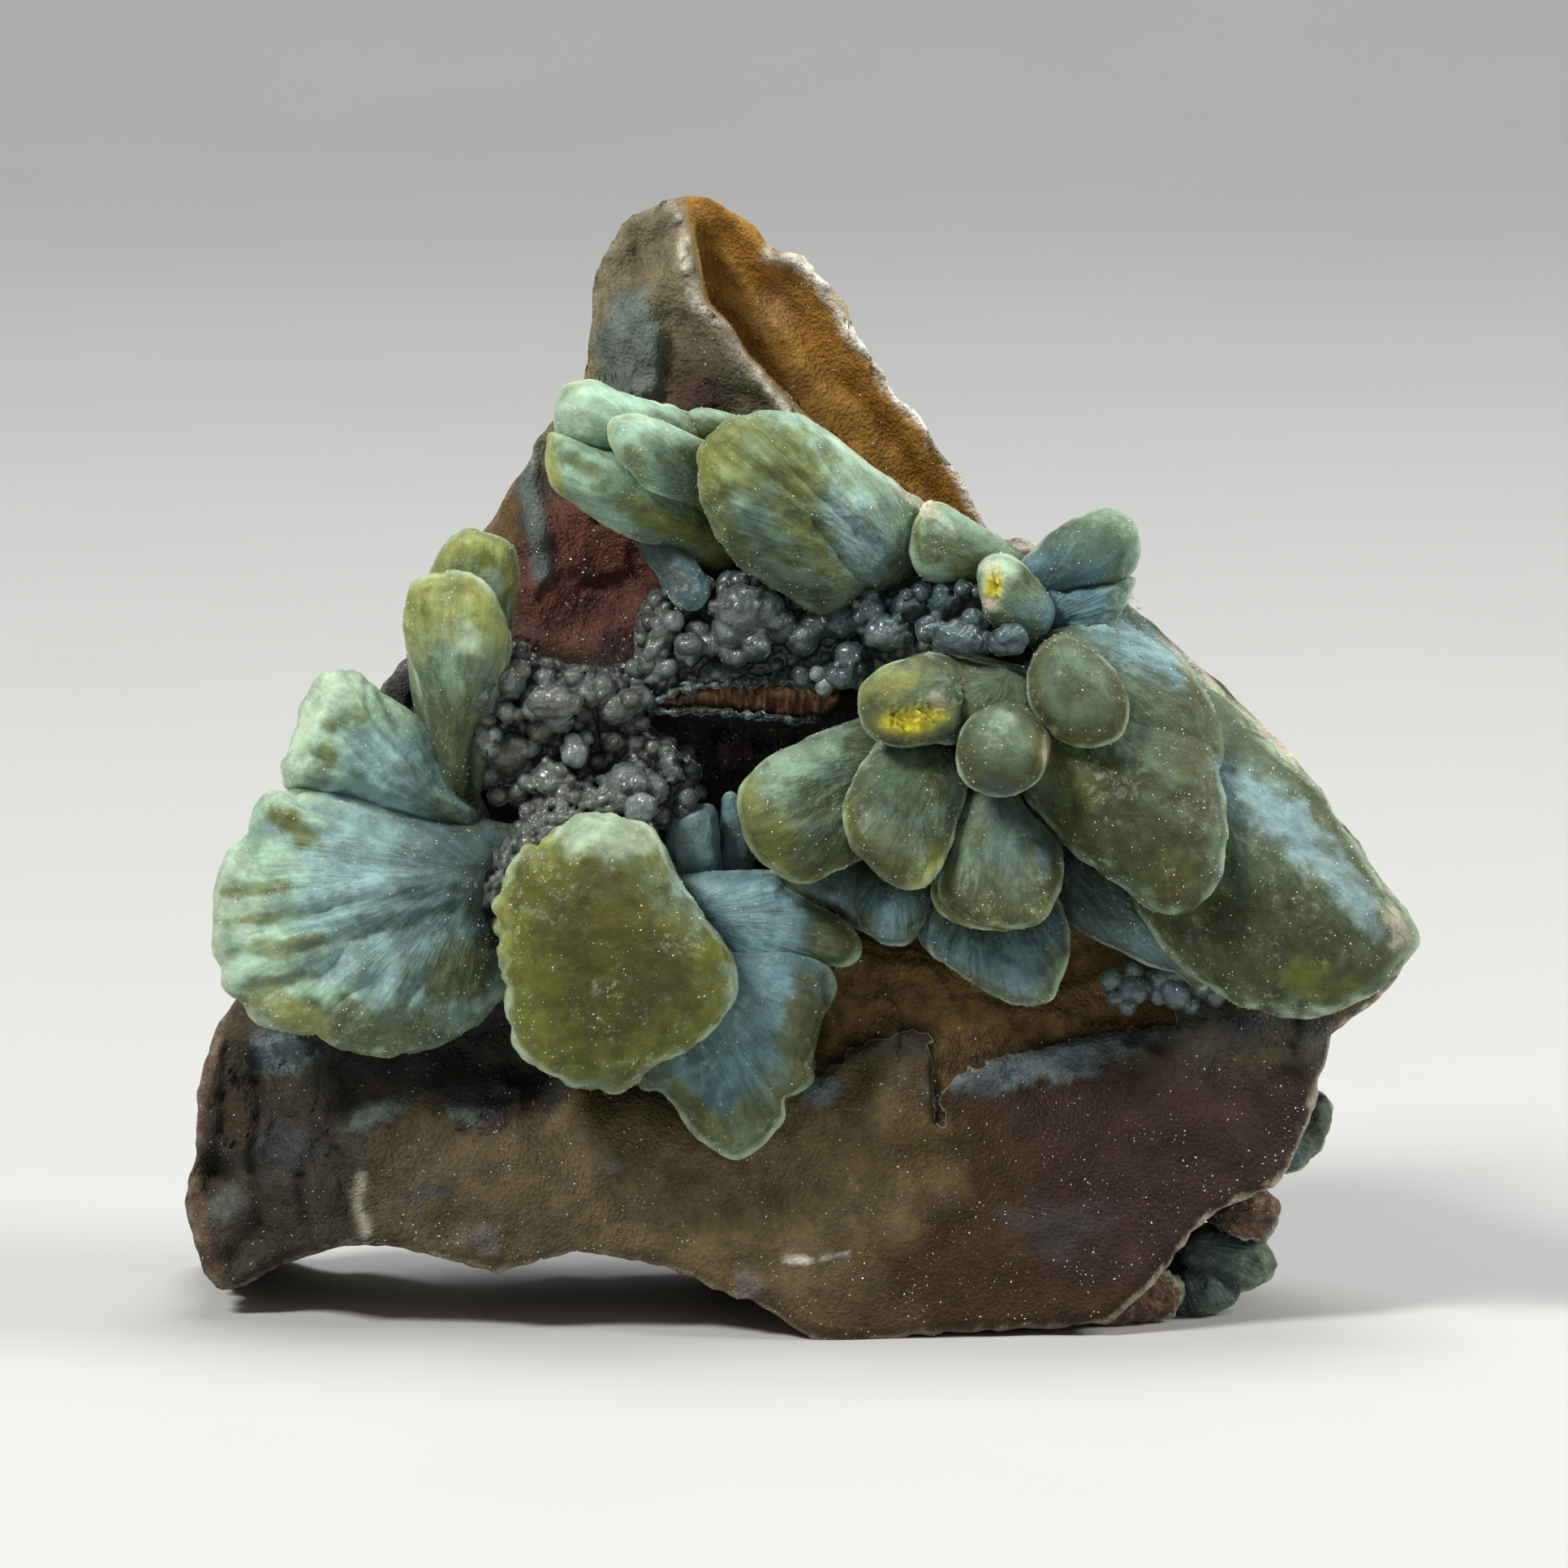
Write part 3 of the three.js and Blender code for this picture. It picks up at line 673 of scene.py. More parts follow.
@dataclass(frozen=True)
class PrismFinish(Finish):
    """Waxy, translucent plumbogummite: zoned colour, fibres along the growth, fine sparkle."""

    def dress(self, graph: Graph, shader: bpy.types.Node) -> None:
        """Feed the shader.

        Args:
            graph: The material's graph.
            shader: Its Principled node.
        """
        zone = graph.attribute("zone_colour", "Color")
        streak_colour = graph.attribute("streak_colour", "Color")
        streak = graph.attribute("streak", "Fac")
        broken = graph.attribute("broken", "Fac")
        druse = graph.attribute("druse", "Fac")
        fibre = Pattern.FIBRE.use(graph)
        frost = Pattern.FROST.use(graph)
        mottle = Pattern.MOTTLE.use(graph)
        sparkle = graph.sum("MULTIPLY", Pattern.SPARKLE.use(graph), graph.sum("ADD", druse, 0.3),
                            clamp=True)
        grain = graph.noise(graph.place(), 4600.0, 4.0, 0.8)
        threads = graph.sum("MULTIPLY", fibre, streak)
        streaked = graph.blend(threads, zone, streak_colour)
        shade = graph.rise(graph.sum("ADD", graph.sum("ADD", graph.sum("MULTIPLY", mottle, 0.45),
                                                      graph.sum("MULTIPLY", threads, 0.4)),
                                     graph.sum("MULTIPLY", grain, 0.5)), 0.2, 0.95, 0.62, 1.3)
        bloom = graph.sum("MULTIPLY", Pattern.BLOOM.use(graph),
                          graph.sum("ADD", graph.sum("MULTIPLY", druse, 0.5), 0.04))
        base = graph.blend(bloom, graph.shaded(streaked, shade), srgb(172, 182, 158))
        graph.feed(shader.inputs["Base Color"],
                   graph.blend(graph.sum("MULTIPLY", sparkle, 0.9), base, (0.9, 0.92, 0.86)))
        rough = graph.rise(frost, 0.2, 0.8, self.roughness - 0.08, self.roughness + 0.12)
        rougher = graph.sum("ADD", rough, graph.sum("MULTIPLY", broken, 0.12))
        graph.feed(shader.inputs["Roughness"], graph.sum(
            "SUBTRACT", rougher, graph.sum("MULTIPLY", sparkle, 0.35), clamp=True))
        shader.inputs["Subsurface Weight"].default_value = 0.3
        shader.inputs["Subsurface Radius"].default_value = (0.9, 1.0, 0.7)
        shader.inputs["Subsurface Scale"].default_value = 0.0012
        shader.inputs["Sheen Weight"].default_value = 0.08
        shader.inputs["Sheen Roughness"].default_value = 0.4
        shader.inputs["Sheen Tint"].default_value = (0.86, 0.95, 0.84, 1.0)
        shader.inputs["Coat Weight"].default_value = 0.06
        shader.inputs["Coat Roughness"].default_value = 0.2
        shader.inputs["Specular IOR Level"].default_value = 0.3
        ribbed = graph.sum("MULTIPLY", fibre, graph.sum("ADD", graph.sum(
            "MULTIPLY", streak, 0.5), broken))
        coarse = graph.bump(ribbed, 0.0002, 0.8)
        sugary = graph.sum("ADD", graph.sum("MULTIPLY", frost, 0.8), grain)
        fine = graph.sum("ADD", sugary, graph.sum("MULTIPLY", sparkle, 1.6))
        graph.feed(shader.inputs["Normal"], graph.bump(fine, 0.00007, 0.8, coarse))


@dataclass(frozen=True)
class CrustFinish(Finish):
    """Grey botryoidal crust with a frost grain, painted light on its crowns, and painted shade between its knobs
    and on their flanks.
    """

    def dress(self, graph: Graph, shader: bpy.types.Node) -> None:
        """Feed the shader.

        Args:
            graph: The material's graph.
            shader: Its Principled node.
        """
        crown = graph.attribute("crown", "Fac")
        pale = graph.attribute("pale", "Fac")
        frost = Pattern.FROST.use(graph)
        mottle = Pattern.MOTTLE.use(graph)
        sparkle = Pattern.SPARKLE.use(graph)
        across = graph.add("ShaderNodeSeparateXYZ")
        graph.feed(across.inputs["Vector"], graph.place())
        cool = graph.rise(across.outputs["X"], -0.010, 0.004)
        body = graph.blend(mottle, graph.blend(cool, srgb(43, 43, 40), srgb(18, 32, 36)),
                           graph.blend(cool, srgb(78, 79, 73), srgb(40, 63, 67)))
        # Painted light: the frost grain turns paler towards each knob's crown.
        frost_and_crown_light = graph.sum("MULTIPLY", graph.rise(crown, 0.2, 1.0, 0.05, 0.5),
                           graph.rise(frost, 0.3, 0.75, 0.3, 1.0))
        frost_and_crown_lit = graph.blend(frost_and_crown_light, body, graph.blend(
            cool, srgb(121, 126, 119), srgb(76, 105, 107)))
        lighter = graph.blend(graph.sum("MULTIPLY", pale, 0.8), frost_and_crown_lit, srgb(134, 148, 148))
        # Painted shade: darker where the crown field is low, in the gaps between knobs and on their flanks.
        lighter = graph.shaded(lighter, graph.rise(crown, 0.0, 0.55, 0.4, 1.12))
        graph.feed(shader.inputs["Base Color"],
                   graph.blend(graph.sum("MULTIPLY", sparkle, 0.9), lighter, (0.88, 0.9, 0.9)))
        graph.feed(shader.inputs["Roughness"], graph.rise(
            frost, 0.2, 0.8, self.roughness - 0.1, self.roughness + 0.15))
        shader.inputs["Subsurface Weight"].default_value = 0.35
        shader.inputs["Subsurface Radius"].default_value = (0.9, 1.05, 1.1)
        shader.inputs["Subsurface Scale"].default_value = 0.0009
        shader.inputs["Coat Weight"].default_value = 0.5
        shader.inputs["Coat Roughness"].default_value = 0.14
        shader.inputs["Sheen Weight"].default_value = 1.0
        shader.inputs["Sheen Roughness"].default_value = 0.22
        shader.inputs["Sheen Tint"].default_value = (0.8, 0.96, 0.96, 1.0)
        coarse = graph.bump(mottle, 0.00014, 0.7)
        graph.feed(shader.inputs["Normal"], graph.bump(frost, 0.00009, 0.9, coarse))


@dataclass(frozen=True)
class DruseFinish(Finish):
    """Clear tiny crystals that catch the light.

    Attributes:
        stained: Colour of the few that are not clear.
    """

    stained: Colour

    def dress(self, graph: Graph, shader: bpy.types.Node) -> None:
        """Feed the shader.

        Args:
            graph: The material's graph.
            shader: Its Principled node.
        """
        shift = graph.attribute("shift", "Fac")
        graph.feed(shader.inputs["Base Color"],
                   graph.blend(graph.sum("POWER", shift, 1.6), srgb(240, 238, 228),
                               self.stained))
        graph.feed(shader.inputs["Roughness"],
                   graph.rise(shift, 0.0, 1.0, self.roughness, self.roughness + 0.2))
        shader.inputs["Coat Weight"].default_value = 0.6
        shader.inputs["Coat Roughness"].default_value = 0.06
        graph.feed(shader.inputs["Normal"], graph.bump(Pattern.FROST.use(graph), 0.00002, 0.3))


@dataclass(frozen=True)
class PaperFinish(Finish):
    """The plain pale floor."""

    def dress(self, graph: Graph, shader: bpy.types.Node) -> None:
        """Feed the shader.

        Args:
            graph: The material's graph.
            shader: Its Principled node.
        """
        soft = graph.noise(graph.place(), 30.0, 2.0)
        graph.feed(shader.inputs["Base Color"], graph.blend(
            soft, (0.52, 0.52, 0.51), (0.55, 0.55, 0.54)))
        shader.inputs["Roughness"].default_value = self.roughness


ROCK = RockFinish("drusy_rock", 0.62, srgb(100, 80, 56))
PRISM = PrismFinish("zoned_plumbogummite", 0.5, srgb(130, 140, 96))
CRUST = CrustFinish("grey_crust", 0.4, srgb(90, 94, 100))
DRUSE = DruseFinish("clear_druse", 0.12, srgb(210, 206, 196), srgb(128, 84, 44))
FROSTED = DruseFinish("frosted_druse", 0.12, srgb(216, 222, 212), srgb(168, 180, 158))
PAPER = PaperFinish("pale_paper", 0.85, (0.54, 0.54, 0.53))


# Colours and marks


class Tint(Enum):
    """Colours of plumbogummite, from stone to stone."""

    MINT = srgb(150, 182, 158)
    PALE_MINT = srgb(178, 200, 172)
    BLUE = srgb(94, 130, 138)
    PALE_BLUE = srgb(136, 168, 172)
    STEEL = srgb(62, 84, 82)
    SLATE = srgb(56, 66, 68)
    OLIVE = srgb(96, 102, 30)
    DEEP_OLIVE = srgb(74, 73, 8)
    BROWN_OLIVE = srgb(64, 60, 22)
    GREY_OLIVE = srgb(72, 78, 42)
    GREY_GREEN = srgb(88, 108, 84)
    LIME = srgb(144, 150, 78)
    YELLOW = srgb(230, 216, 56)
    CREAM = srgb(196, 188, 164)
    SMOKE = srgb(80, 102, 104)
    RUST = srgb(92, 54, 22)
    UMBER = srgb(40, 26, 18)
    AQUA = srgb(124, 156, 152)
    MOSS = srgb(48, 54, 12)


class Stone(Enum):
    """Colours of the marks on the rock."""

    BLUE_GREY = srgb(108, 124, 128)
    GREEN_GREY = srgb(98, 112, 106)
    DUSK = srgb(58, 60, 66)
    SLATE = srgb(36, 38, 40)
    LILAC = srgb(102, 94, 92)
    DULL = srgb(96, 98, 92)
    OLIVE = srgb(84, 76, 34)
    UMBER = srgb(64, 44, 24)
    PINK = srgb(104, 82, 68)
    DARK = srgb(30, 26, 22)
    PALE = srgb(186, 178, 164)
    PEARL = srgb(150, 152, 148)


@dataclass(frozen=True)
class Stain:
    """A soft-edged mark of another colour.

    Attributes:
        middle: Its place on the face.
        size: Half its length and half its breadth.
        turn: Degrees that its length is turned from across.
        tint: Its colour.
        strength: Its share of the colour.
        ragged: How uneven its edge is.
        height: How far it stands out, on the rock.
        rough: How broken the surface is there, on the prisms.
    """

    middle: Place
    size: Place
    turn: float
    tint: Tint | Stone
    strength: float = 0.8
    ragged: float = 0.5
    height: float = 0.0
    rough: float = 0.0

    def cover(self, points: Array, grain: Grain) -> Array:
        """Give the share of the mark at each point."""
        angle = math.radians(self.turn)
        gap = points[:, :2] - np.array(self.middle)
        along = gap[:, 0] * math.cos(angle) + gap[:, 1] * math.sin(angle)
        beside = -gap[:, 0] * math.sin(angle) + gap[:, 1] * math.cos(angle)
        reach = np.hypot(along / self.size[0], beside / self.size[1])
        uneven = self.ragged * grain.layered(points + self.middle[0], 1.1, 4)
        return ramp(1.3, 0.5, reach + uneven)


@dataclass(frozen=True)
class Seam:
    """A narrow mark along a line on the rock.

    Attributes:
        line: Its course.
        breadth: Half its breadth.
        tint: Its colour.
        strength: Its share of the colour.
        height: How far it stands out; a groove where this is negative.
    """

    line: tuple[Place, ...]
    breadth: float
    tint: Stone
    strength: float = 0.8
    height: float = 0.15

    def cover(self, places: Array, wander: Array) -> Array:
        """Give the share of the mark at each place."""
        near = from_line(places, self.line) + 0.35 * wander
        return ramp(self.breadth * 1.3, self.breadth * 0.4, near)


# The rock


OUTLINE: tuple[Place, ...] = (
    (-5.4, 57), (-4, 56.6), (-2.2, 55.6), (-1.2, 54.3), (0.2, 54), (1.2, 53), (2.4, 51.6),
    (3, 50.2), (4.2, 48.4), (5, 47), (6.4, 45.8), (7.2, 44.2), (8.2, 43), (9, 41.4), (9.7, 40.4),
    (10.4, 39.7), (11.8, 39.7), (16.4, 37.4), (17.4, 36), (18.6, 34.2), (20, 32), (22.6, 30),
    (24.8, 28), (26.4, 26.4), (28.4, 23.2), (30.4, 20.6), (30.6, 19.8), (29.9, 18), (28.8, 16.8),
    (26.8, 15.3), (26.3, 14.2), (25.8, 12.2), (24.8, 9.4), (23.8, 7.8), (20.4, 6.2), (18.4, 3.8),
    (15.8, 1.2), (14.4, 0.9), (6.8, 0.4), (2, -0.1), (0.2, 0.6), (-2, 1.9), (-4, 2.6),
    (-5.6, 3.4), (-7.4, 3.9), (-10.4, 4.4), (-11.6, 4.3), (-14.4, 3.5), (-15.6, 3.6),
    (-19.2, 4.5), (-22, 4.7), (-24, 4.2), (-26, 3.4), (-27.4, 2.6), (-28.7, 2.5), (-29.6, 3.8),
    (-30.3, 7), (-29.8, 9.4), (-29.7, 12.2), (-28.7, 15.4), (-27.8, 16.8), (-25.6, 20.2),
    (-23.2, 28.2), (-20.2, 33), (-18.8, 34.4), (-16.8, 38.2), (-15.3, 40.6), (-14.6, 41.8),
    (-13.2, 43.8), (-13, 44.6), (-11.6, 46.2), (-10.6, 47.8), (-10.2, 50.2), (-9.9, 53),
    (-8.6, 55.4), (-7.2, 56.3),
)
FRONT_RELIEF: tuple[Point, ...] = (
    (-5.6, 56.4, -6), (-9.5, 53, -8), (-10, 48, -8), (-7.5, 50, -5), (-5, 52.5, -4),
    (-3.4, 50.6, -3.6), (-1, 48, -3.2), (1.5, 45, -3), (5, 42, -3), (-8, 46, -4.5),
    (0, 54, -7.6), (3, 50, -8), (5.5, 46.5, -8), (8.6, 42.4, -8), (10, 40, -6), (-14.4, 41.6, -9),
    (-13, 44, -8), (-13, 40, -6.5), (-9, 37, -7.5), (-8, 35, -7), (-12.5, 36, -5.5),
    (-6, 38.5, -6), (-17, 37, -8), (-20, 33, -7), (-10, 32.2, -3), (-4, 33.4, -2.6),
    (2, 34.4, -3), (6, 36, -3.4), (-2, 28.5, -5), (-4, 25.5, -6), (-15, 26, -4.5),
    (-23, 28, -5.5), (-20, 20, -4), (-25, 20, -5), (-14, 14.5, -4), (-8, 16, -3), (-20, 10, -0.4),
    (-14, 8, 0.2), (-8, 9, 0.4), (0, 9, 0.6), (2, 1, 1.6), (8, 4, 1.2), (8, 12, 0.2),
    (14, 8, 0.6), (14, 1.4, 0.8), (20, 10, 0.2), (25, 12, -0.8), (22, 14, -0.8), (10, 16.5, -1.2),
    (4, 17, -1.2), (16, 17, -2), (-24, 8, -1.6), (-27, 10, -3), (-29.5, 8, -6), (-28, 3.5, -5),
    (-26, 14, -3.4), (-23, 14, -3), (5, 25, -3), (22, 22, -2), (30, 20, -2.6), (18, 30, -3),
    (25, 27, -3.6), (14, 36, -4), (17.5, 35, -5), (-19, 4.6, -0.6), (-10.5, 4.6, 0.4),
)
BACK_RELIEF: tuple[Point, ...] = (
    (-5, 55, -11), (0, 49, -14.5), (-8, 46, -13), (8, 42, -15), (-15, 38, -13), (-21, 30, -13),
    (-26, 20, -13), (-29, 10, -16), (-28, 3, -21.5), (-24, 6, -18), (-19, 8, -14.5),
    (-10, 8, -16.5), (-6, 3, -17), (0, 4, -19.5), (7, 2, -20), (14, 3, -19), (12, 14, -20),
    (21, 12, -15), (24, 8, -11), (29, 20, -9), (25, 26, -12), (16, 33, -14.5), (5, 28, -20.5),
    (-5, 25, -18), (8, 19, -16.5), (-12, 20, -19), (-3, 38, -17.5), (3, 36, -13.5),
)
PEAK_HOLLOW: tuple[Place, ...] = (
    (-6, 57.6), (-5.6, 56), (-5, 54), (-4.8, 52.6), (-4.5, 51.5), (-3.3, 50.2), (-2.6, 49),
    (-0.8, 47.1), (0.5, 45.7), (2, 44.5), (4, 42.9), (6, 41.6), (10, 39.6), (10.2, 40.8),
    (8.9, 42.8), (7.6, 44.8), (5.2, 47.6), (3.6, 50.2), (2.6, 51.8), (1.2, 53.6), (-1, 54.9),
    (-2.2, 56.2), (-3.8, 57.4),
)
HOLLOW_RIM: tuple[Place, ...] = (
    (-5.4, 57), (-4, 56.6), (-2.2, 55.6), (-1.2, 54.3), (0.2, 54), (1.2, 53), (2.4, 51.6),
    (3, 50.2), (4.2, 48.4), (5, 47), (6.4, 45.8), (7.2, 44.2), (8.2, 43), (9, 41.4), (9.7, 40.4),
)
PEAK_RIDGE: tuple[Place, ...] = (
    (-6, 56.3), (-5.6, 54.6), (-5.5, 53.2), (-4.9, 51.4), (-3.8, 50.4), (-3, 49.2),
    (-1.4, 47.2), (0.6, 45), (2.6, 43.2),
)
CRUST_LOSS: tuple[Place, ...] = (
    (1.2, 12.8), (2.8, 14.4), (5.4, 15.3), (6.6, 15.2), (6.8, 10.8), (7.3, 10.7), (7.4, 12.4),
    (8, 13.2), (9.6, 13.8), (12.4, 14.6), (14.8, 15.1), (17.2, 15.4), (18.8, 15.7), (19.2, 18.2),
    (12.8, 22.2), (0.8, 20.2), (0.8, 14.2),
)
RED_HOLLOW: tuple[Place, ...] = (
    (-13.4, 41.6), (-10.4, 42.4), (-6, 40.6), (-4, 36.8), (-6.4, 35.2), (-7.4, 32.6), (-11, 32.2),
    (-14, 33.2), (-14.2, 37),
)
COATING: tuple[Place, ...] = (
    (-9, 52.3), (-7.4, 52.2), (-6.6, 50.4), (-6.4, 48.8), (-6.5, 46.9), (-7.6, 46.5), (-9.8, 47),
    (-10.2, 49.5),
)
SLIT: tuple[Place, ...] = (
    (-7.6, 31.4), (-6.4, 31.9), (-5.2, 32.3), (-3.2, 32.5), (-0.8, 32.7), (0.8, 32.5),
    (2.8, 32.0), (1.4, 30.9), (0, 30.7), (-1.2, 30.9), (-3.2, 31.1), (-5.2, 31.2),
)
CRUST_ZONES: tuple[tuple[Place, ...], ...] = (
    ((-17, 33), (-14, 34), (-12, 33), (-7.6, 33), (-6.8, 36.4), (-1, 37.6), (4, 36.6), (9, 37),
     (10, 35), (5, 32.6), (-1, 33.2), (-7, 32.2), (-8, 30.4), (-5.4, 28.6), (-6, 25.8), (-10, 24.6),
     (-15.4, 20.4), (-16, 22), (-12.4, 27), (-15, 27.6)),
    ((-28.8, 14.6), (-24, 14.8), (-22, 12.4), (-16, 14.6), (-12.4, 13.6), (-14, 10.6), (-22, 9.6),
     (-24, 7.4), (-29.4, 6), (-29, 10)),
    ((15, 18.6), (20.6, 18.4), (20, 16.6), (15, 16.9)),
)
DARK_PIT: tuple[Place, ...] = (
    (-6.6, 30.6), (0.6, 30.2), (2.4, 28.6), (-1.2, 26.2), (-4.4, 24.4), (-7, 26),
)


ROCK_MARKS: tuple[Stain, ...] = (
    # Painted shadow: a wide dark slate mark on the rock under the left fan.
    Stain((-18.5, 14.4), (6.0, 2.6), 0, Stone.SLATE, 0.85, 0.5),
    Stain((-25.6, 14.3), (1.6, 1.1), 10, Stone.BLUE_GREY, 0.85, 0.5, 0.5),
    Stain((-28.2, 6.8), (1.3, 0.8), 35, Stone.DULL, 0.8, 0.5, 0.5),
    Stain((-25.2, 9.6), (2.0, 1.3), 0, Stone.DUSK, 0.7, 0.6, 0.3),
    Stain((-27.6, 10.6), (1.0, 1.4), 20, Stone.UMBER, 0.5, 0.6, 0.2),
    Stain((-20.7, 11.3), (1.8, 0.7), 20, Stone.GREEN_GREY, 0.9, 0.4, 0.5),
    Stain((-15.2, 12.0), (2.0, 1.5), 10, Stone.DUSK, 0.9, 0.3, 1.0),
    Stain((-16.4, 11.2), (0.9, 0.35), -35, Stone.GREEN_GREY, 0.6, 0.5, 0.1),
    Stain((-12.4, 12.8), (1.6, 1.4), 0, Stone.SLATE, 0.85, 0.5, 0.3),
    Stain((-18.1, 7.4), (1.6, 0.5), 10, Stone.DUSK, 0.6, 0.6),
    Stain((-15.4, 5.1), (1.1, 0.9), 0, Stone.LILAC, 0.8, 0.4, 0.5),
    Stain((-2.2, 2.9), (0.8, 0.8), 0, Stone.LILAC, 0.7, 0.4, 0.5),
    Stain((-9.0, 8.8), (0.5, 0.4), 0, Stone.DULL, 0.5, 0.6, 0.15),
    Stain((1.2, 12.4), (1.0, 0.8), 30, Stone.BLUE_GREY, 0.7, 0.4, 0.1),
    Stain((12.4, 14.2), (5.6, 1.3), 12, Stone.BLUE_GREY, 0.95, 0.45, 0.1),
    Stain((9.2, 12.8), (1.4, 0.7), 20, Stone.DUSK, 0.7, 0.5),
    Stain((6.4, 9.0), (2.6, 1.6), 20, Stone.OLIVE, 0.25, 0.8),
    Stain((12.8, 5.6), (2.6, 1.6), 10, Stone.DUSK, 0.35, 0.7),
    Stain((25.6, 15.4), (1.2, 0.9), 30, Stone.DULL, 0.7, 0.6),
    Stain((22.6, 15.6), (2.4, 0.8), 5, Stone.DUSK, 0.7, 0.6),
)
ROCK_SEAMS: tuple[Seam, ...] = (
    Seam(((-21.4, 8.2), (-21.6, 6.8), (-21.2, 5.4)), 0.3, Stone.PALE, 0.6, 0.12),
    Seam(((-0.4, 4.1), (0.6, 4.1)), 0.22, Stone.PALE, 0.9, 0.12),
    Seam(((1.2, 4.2), (2.6, 4.5)), 0.14, Stone.PEARL, 0.6, 0.05),
    Seam(((-24.5, 8.2), (-24.3, 5.9)), 0.3, Stone.DARK, 0.7, -0.35),
    Seam(((-26.8, 14.2), (-26.4, 11.8), (-27.0, 9.2), (-26.6, 6.0)), 0.3, Stone.DARK, 0.6, -0.4),
    Seam(((-28.6, 15.6), (-29.4, 12.2), (-29.9, 8.4), (-29.4, 5.2), (-28.6, 3.0)), 0.45,
         Stone.PINK, 0.7, 0.3),
    Seam(((-28.2, 14.4), (-28.4, 11.0), (-29.0, 8.0)), 0.25, Stone.DARK, 0.5, -0.35),
    Seam(((-13.2, 44.6), (-13.4, 42.6), (-12.9, 40.6), (-12.6, 38)), 0.6, Stone.GREEN_GREY, 0.8, 0.6),
)


@dataclass
class Rock:
    """The broken plate, with its peak, hollows and crust loss.

    Attributes:
        steps: Places around each ring.
        front_rings: Rings on the face.
        wall_rings: Rings on the broken rim.
        back_rings: Rings on the back.
        middle: Where the rings are centred.
        taper: How far the rim draws in, per millimetre of depth.
    """

    steps: int = 570
    front_rings: int = 116
    wall_rings: int = 36
    back_rings: int = 18
    middle: Place = (-1.0, 22.0)
    taper: float = 0.0085
    grain: Grain = field(default_factory=lambda: Grain(11))

    def relief(self, points: Sequence[Point], x: Array, v: Array) -> Array:
        """Give the height of a relief, from points that weigh by their nearness."""
        total = np.zeros(len(x))
        weights = np.zeros(len(x))
        for across, up, out in points:
            weight = 1.0 / ((across - x) ** 2 + (up - v) ** 2 + 1.2) ** 2
            total += weight * out
            weights += weight
        return total / weights

    @staticmethod
    def waves(x: Array, v: Array, scale: float) -> Array:
        """Give the wavy unevenness that the solid model has."""
        return np.sin(x * scale + 1.3 * np.sin(v * scale * 0.7)) * np.sin(
            v * scale * 1.1 + 1.7 * np.sin(x * scale * 0.6))

    def back(self, x: Array, v: Array) -> Array:
        """Give the height of the back."""
        out = self.relief(BACK_RELIEF, x, v) + 1.3 * self.waves(x, v, 0.36)
        out += 0.7 * self.waves(v, x, 0.83)
        flat = np.column_stack([x, v, np.zeros(len(x))])
        out += 0.55 * self.grain.facets(flat, 3.4) + 0.25 * self.grain.layered(flat, 1.6)
        reach = out * math.cos(LEAN) - v * math.sin(LEAN)
        return out + 0.8 * np.maximum(-24.2 - reach, 0.0)

    def front(self, x: Array, v: Array) -> dict[str, Array]:
        """Give the face's height and what covers it.

        Args:
            x: Across.
            v: Up.

        Returns:
            Height, colour, druse, cragginess and crust bed for each place.
        """
        places = np.column_stack([x, v])
        flat = np.column_stack([x, v, np.zeros(len(x))])
        grain = self.grain
        wander = 0.22 * grain.layered(flat, 1.3, 3)
        plate = ramp(15.5, 13.0, v + 0.05 * np.abs(x)) * ramp(-22.5, -18.5, x)
        out = self.relief(FRONT_RELIEF, x, v) + (0.15 + 0.25 * (1 - plate)) * self.waves(x, v, 0.9)
        crag = 1.0 - 0.85 * plate
        out += crag * (0.34 * grain.facets(flat + 5, 2.3) + 0.16 * grain.layered(flat, 1.4, 4))
        out += 0.06 * grain.layered(flat + 9, 2.2, 4)
        colour = np.tile(srgb(72, 64, 50), (len(x), 1))
        druse = np.full(len(x), 0.5)

        # The lower plate, brown at the left, olive in the middle and purple at the right.
        drift = x + 3.0 * grain.layered(flat, 5.0, 3)
        skin = mixed(np.tile(srgb(80, 70, 48), (len(x), 1)), srgb(92, 81, 53),
                     ramp(-14, -5, drift))
        skin = mixed(skin, srgb(54, 38, 14), ramp(2, 7, drift))
        skin = mixed(skin, srgb(48, 33, 25), ramp(9, 15, drift + 0.35 * (v - 6)))
        skin = skin * (1.0 + 0.2 * grain.layered(flat + 33, 1.8, 4))[:, None]
        skin = mixed(skin, srgb(58, 42, 24), ramp(5, 0.5, v) * 0.7)
        colour = mixed(colour, skin, plate)
        druse = (druse + (1.0 - druse) * plate) * ramp(-0.5, 0.4, grain.layered(flat + 70, 1.7, 3))
        left = ramp(-19, -23, x) * ramp(17, 14, v)
        colour = mixed(colour, srgb(56, 52, 42), left)
        out += left * (0.5 * grain.layered(flat + 3, 2.6, 3) - 0.25 * np.abs(
            grain.smooth(flat * (2.2, 0.7, 1), 1.6)))

        # The patch that has lost its crust, with a scalloped step.
        loss = inside(places, CRUST_LOSS)
        under = ramp(-0.14, 0.14, loss + 0.12 * wander)
        out -= 0.55 * under
        out += under * 0.16 * grain.layered(flat * (0.7, 1.5, 1), 1.3, 4)
        druse *= 1.0 - 0.55 * under
        out += 0.12 * ramp(-0.9, -0.2, loss) * (1 - under) * plate
        for mark in ROCK_MARKS:
            cover = mark.cover(flat, grain) * (1 - under)
            colour = mixed(colour, mark.tint.value, mark.strength * cover)
            out += mark.height * cover * (1 + 0.5 * grain.layered(flat + 27, 0.8, 3))

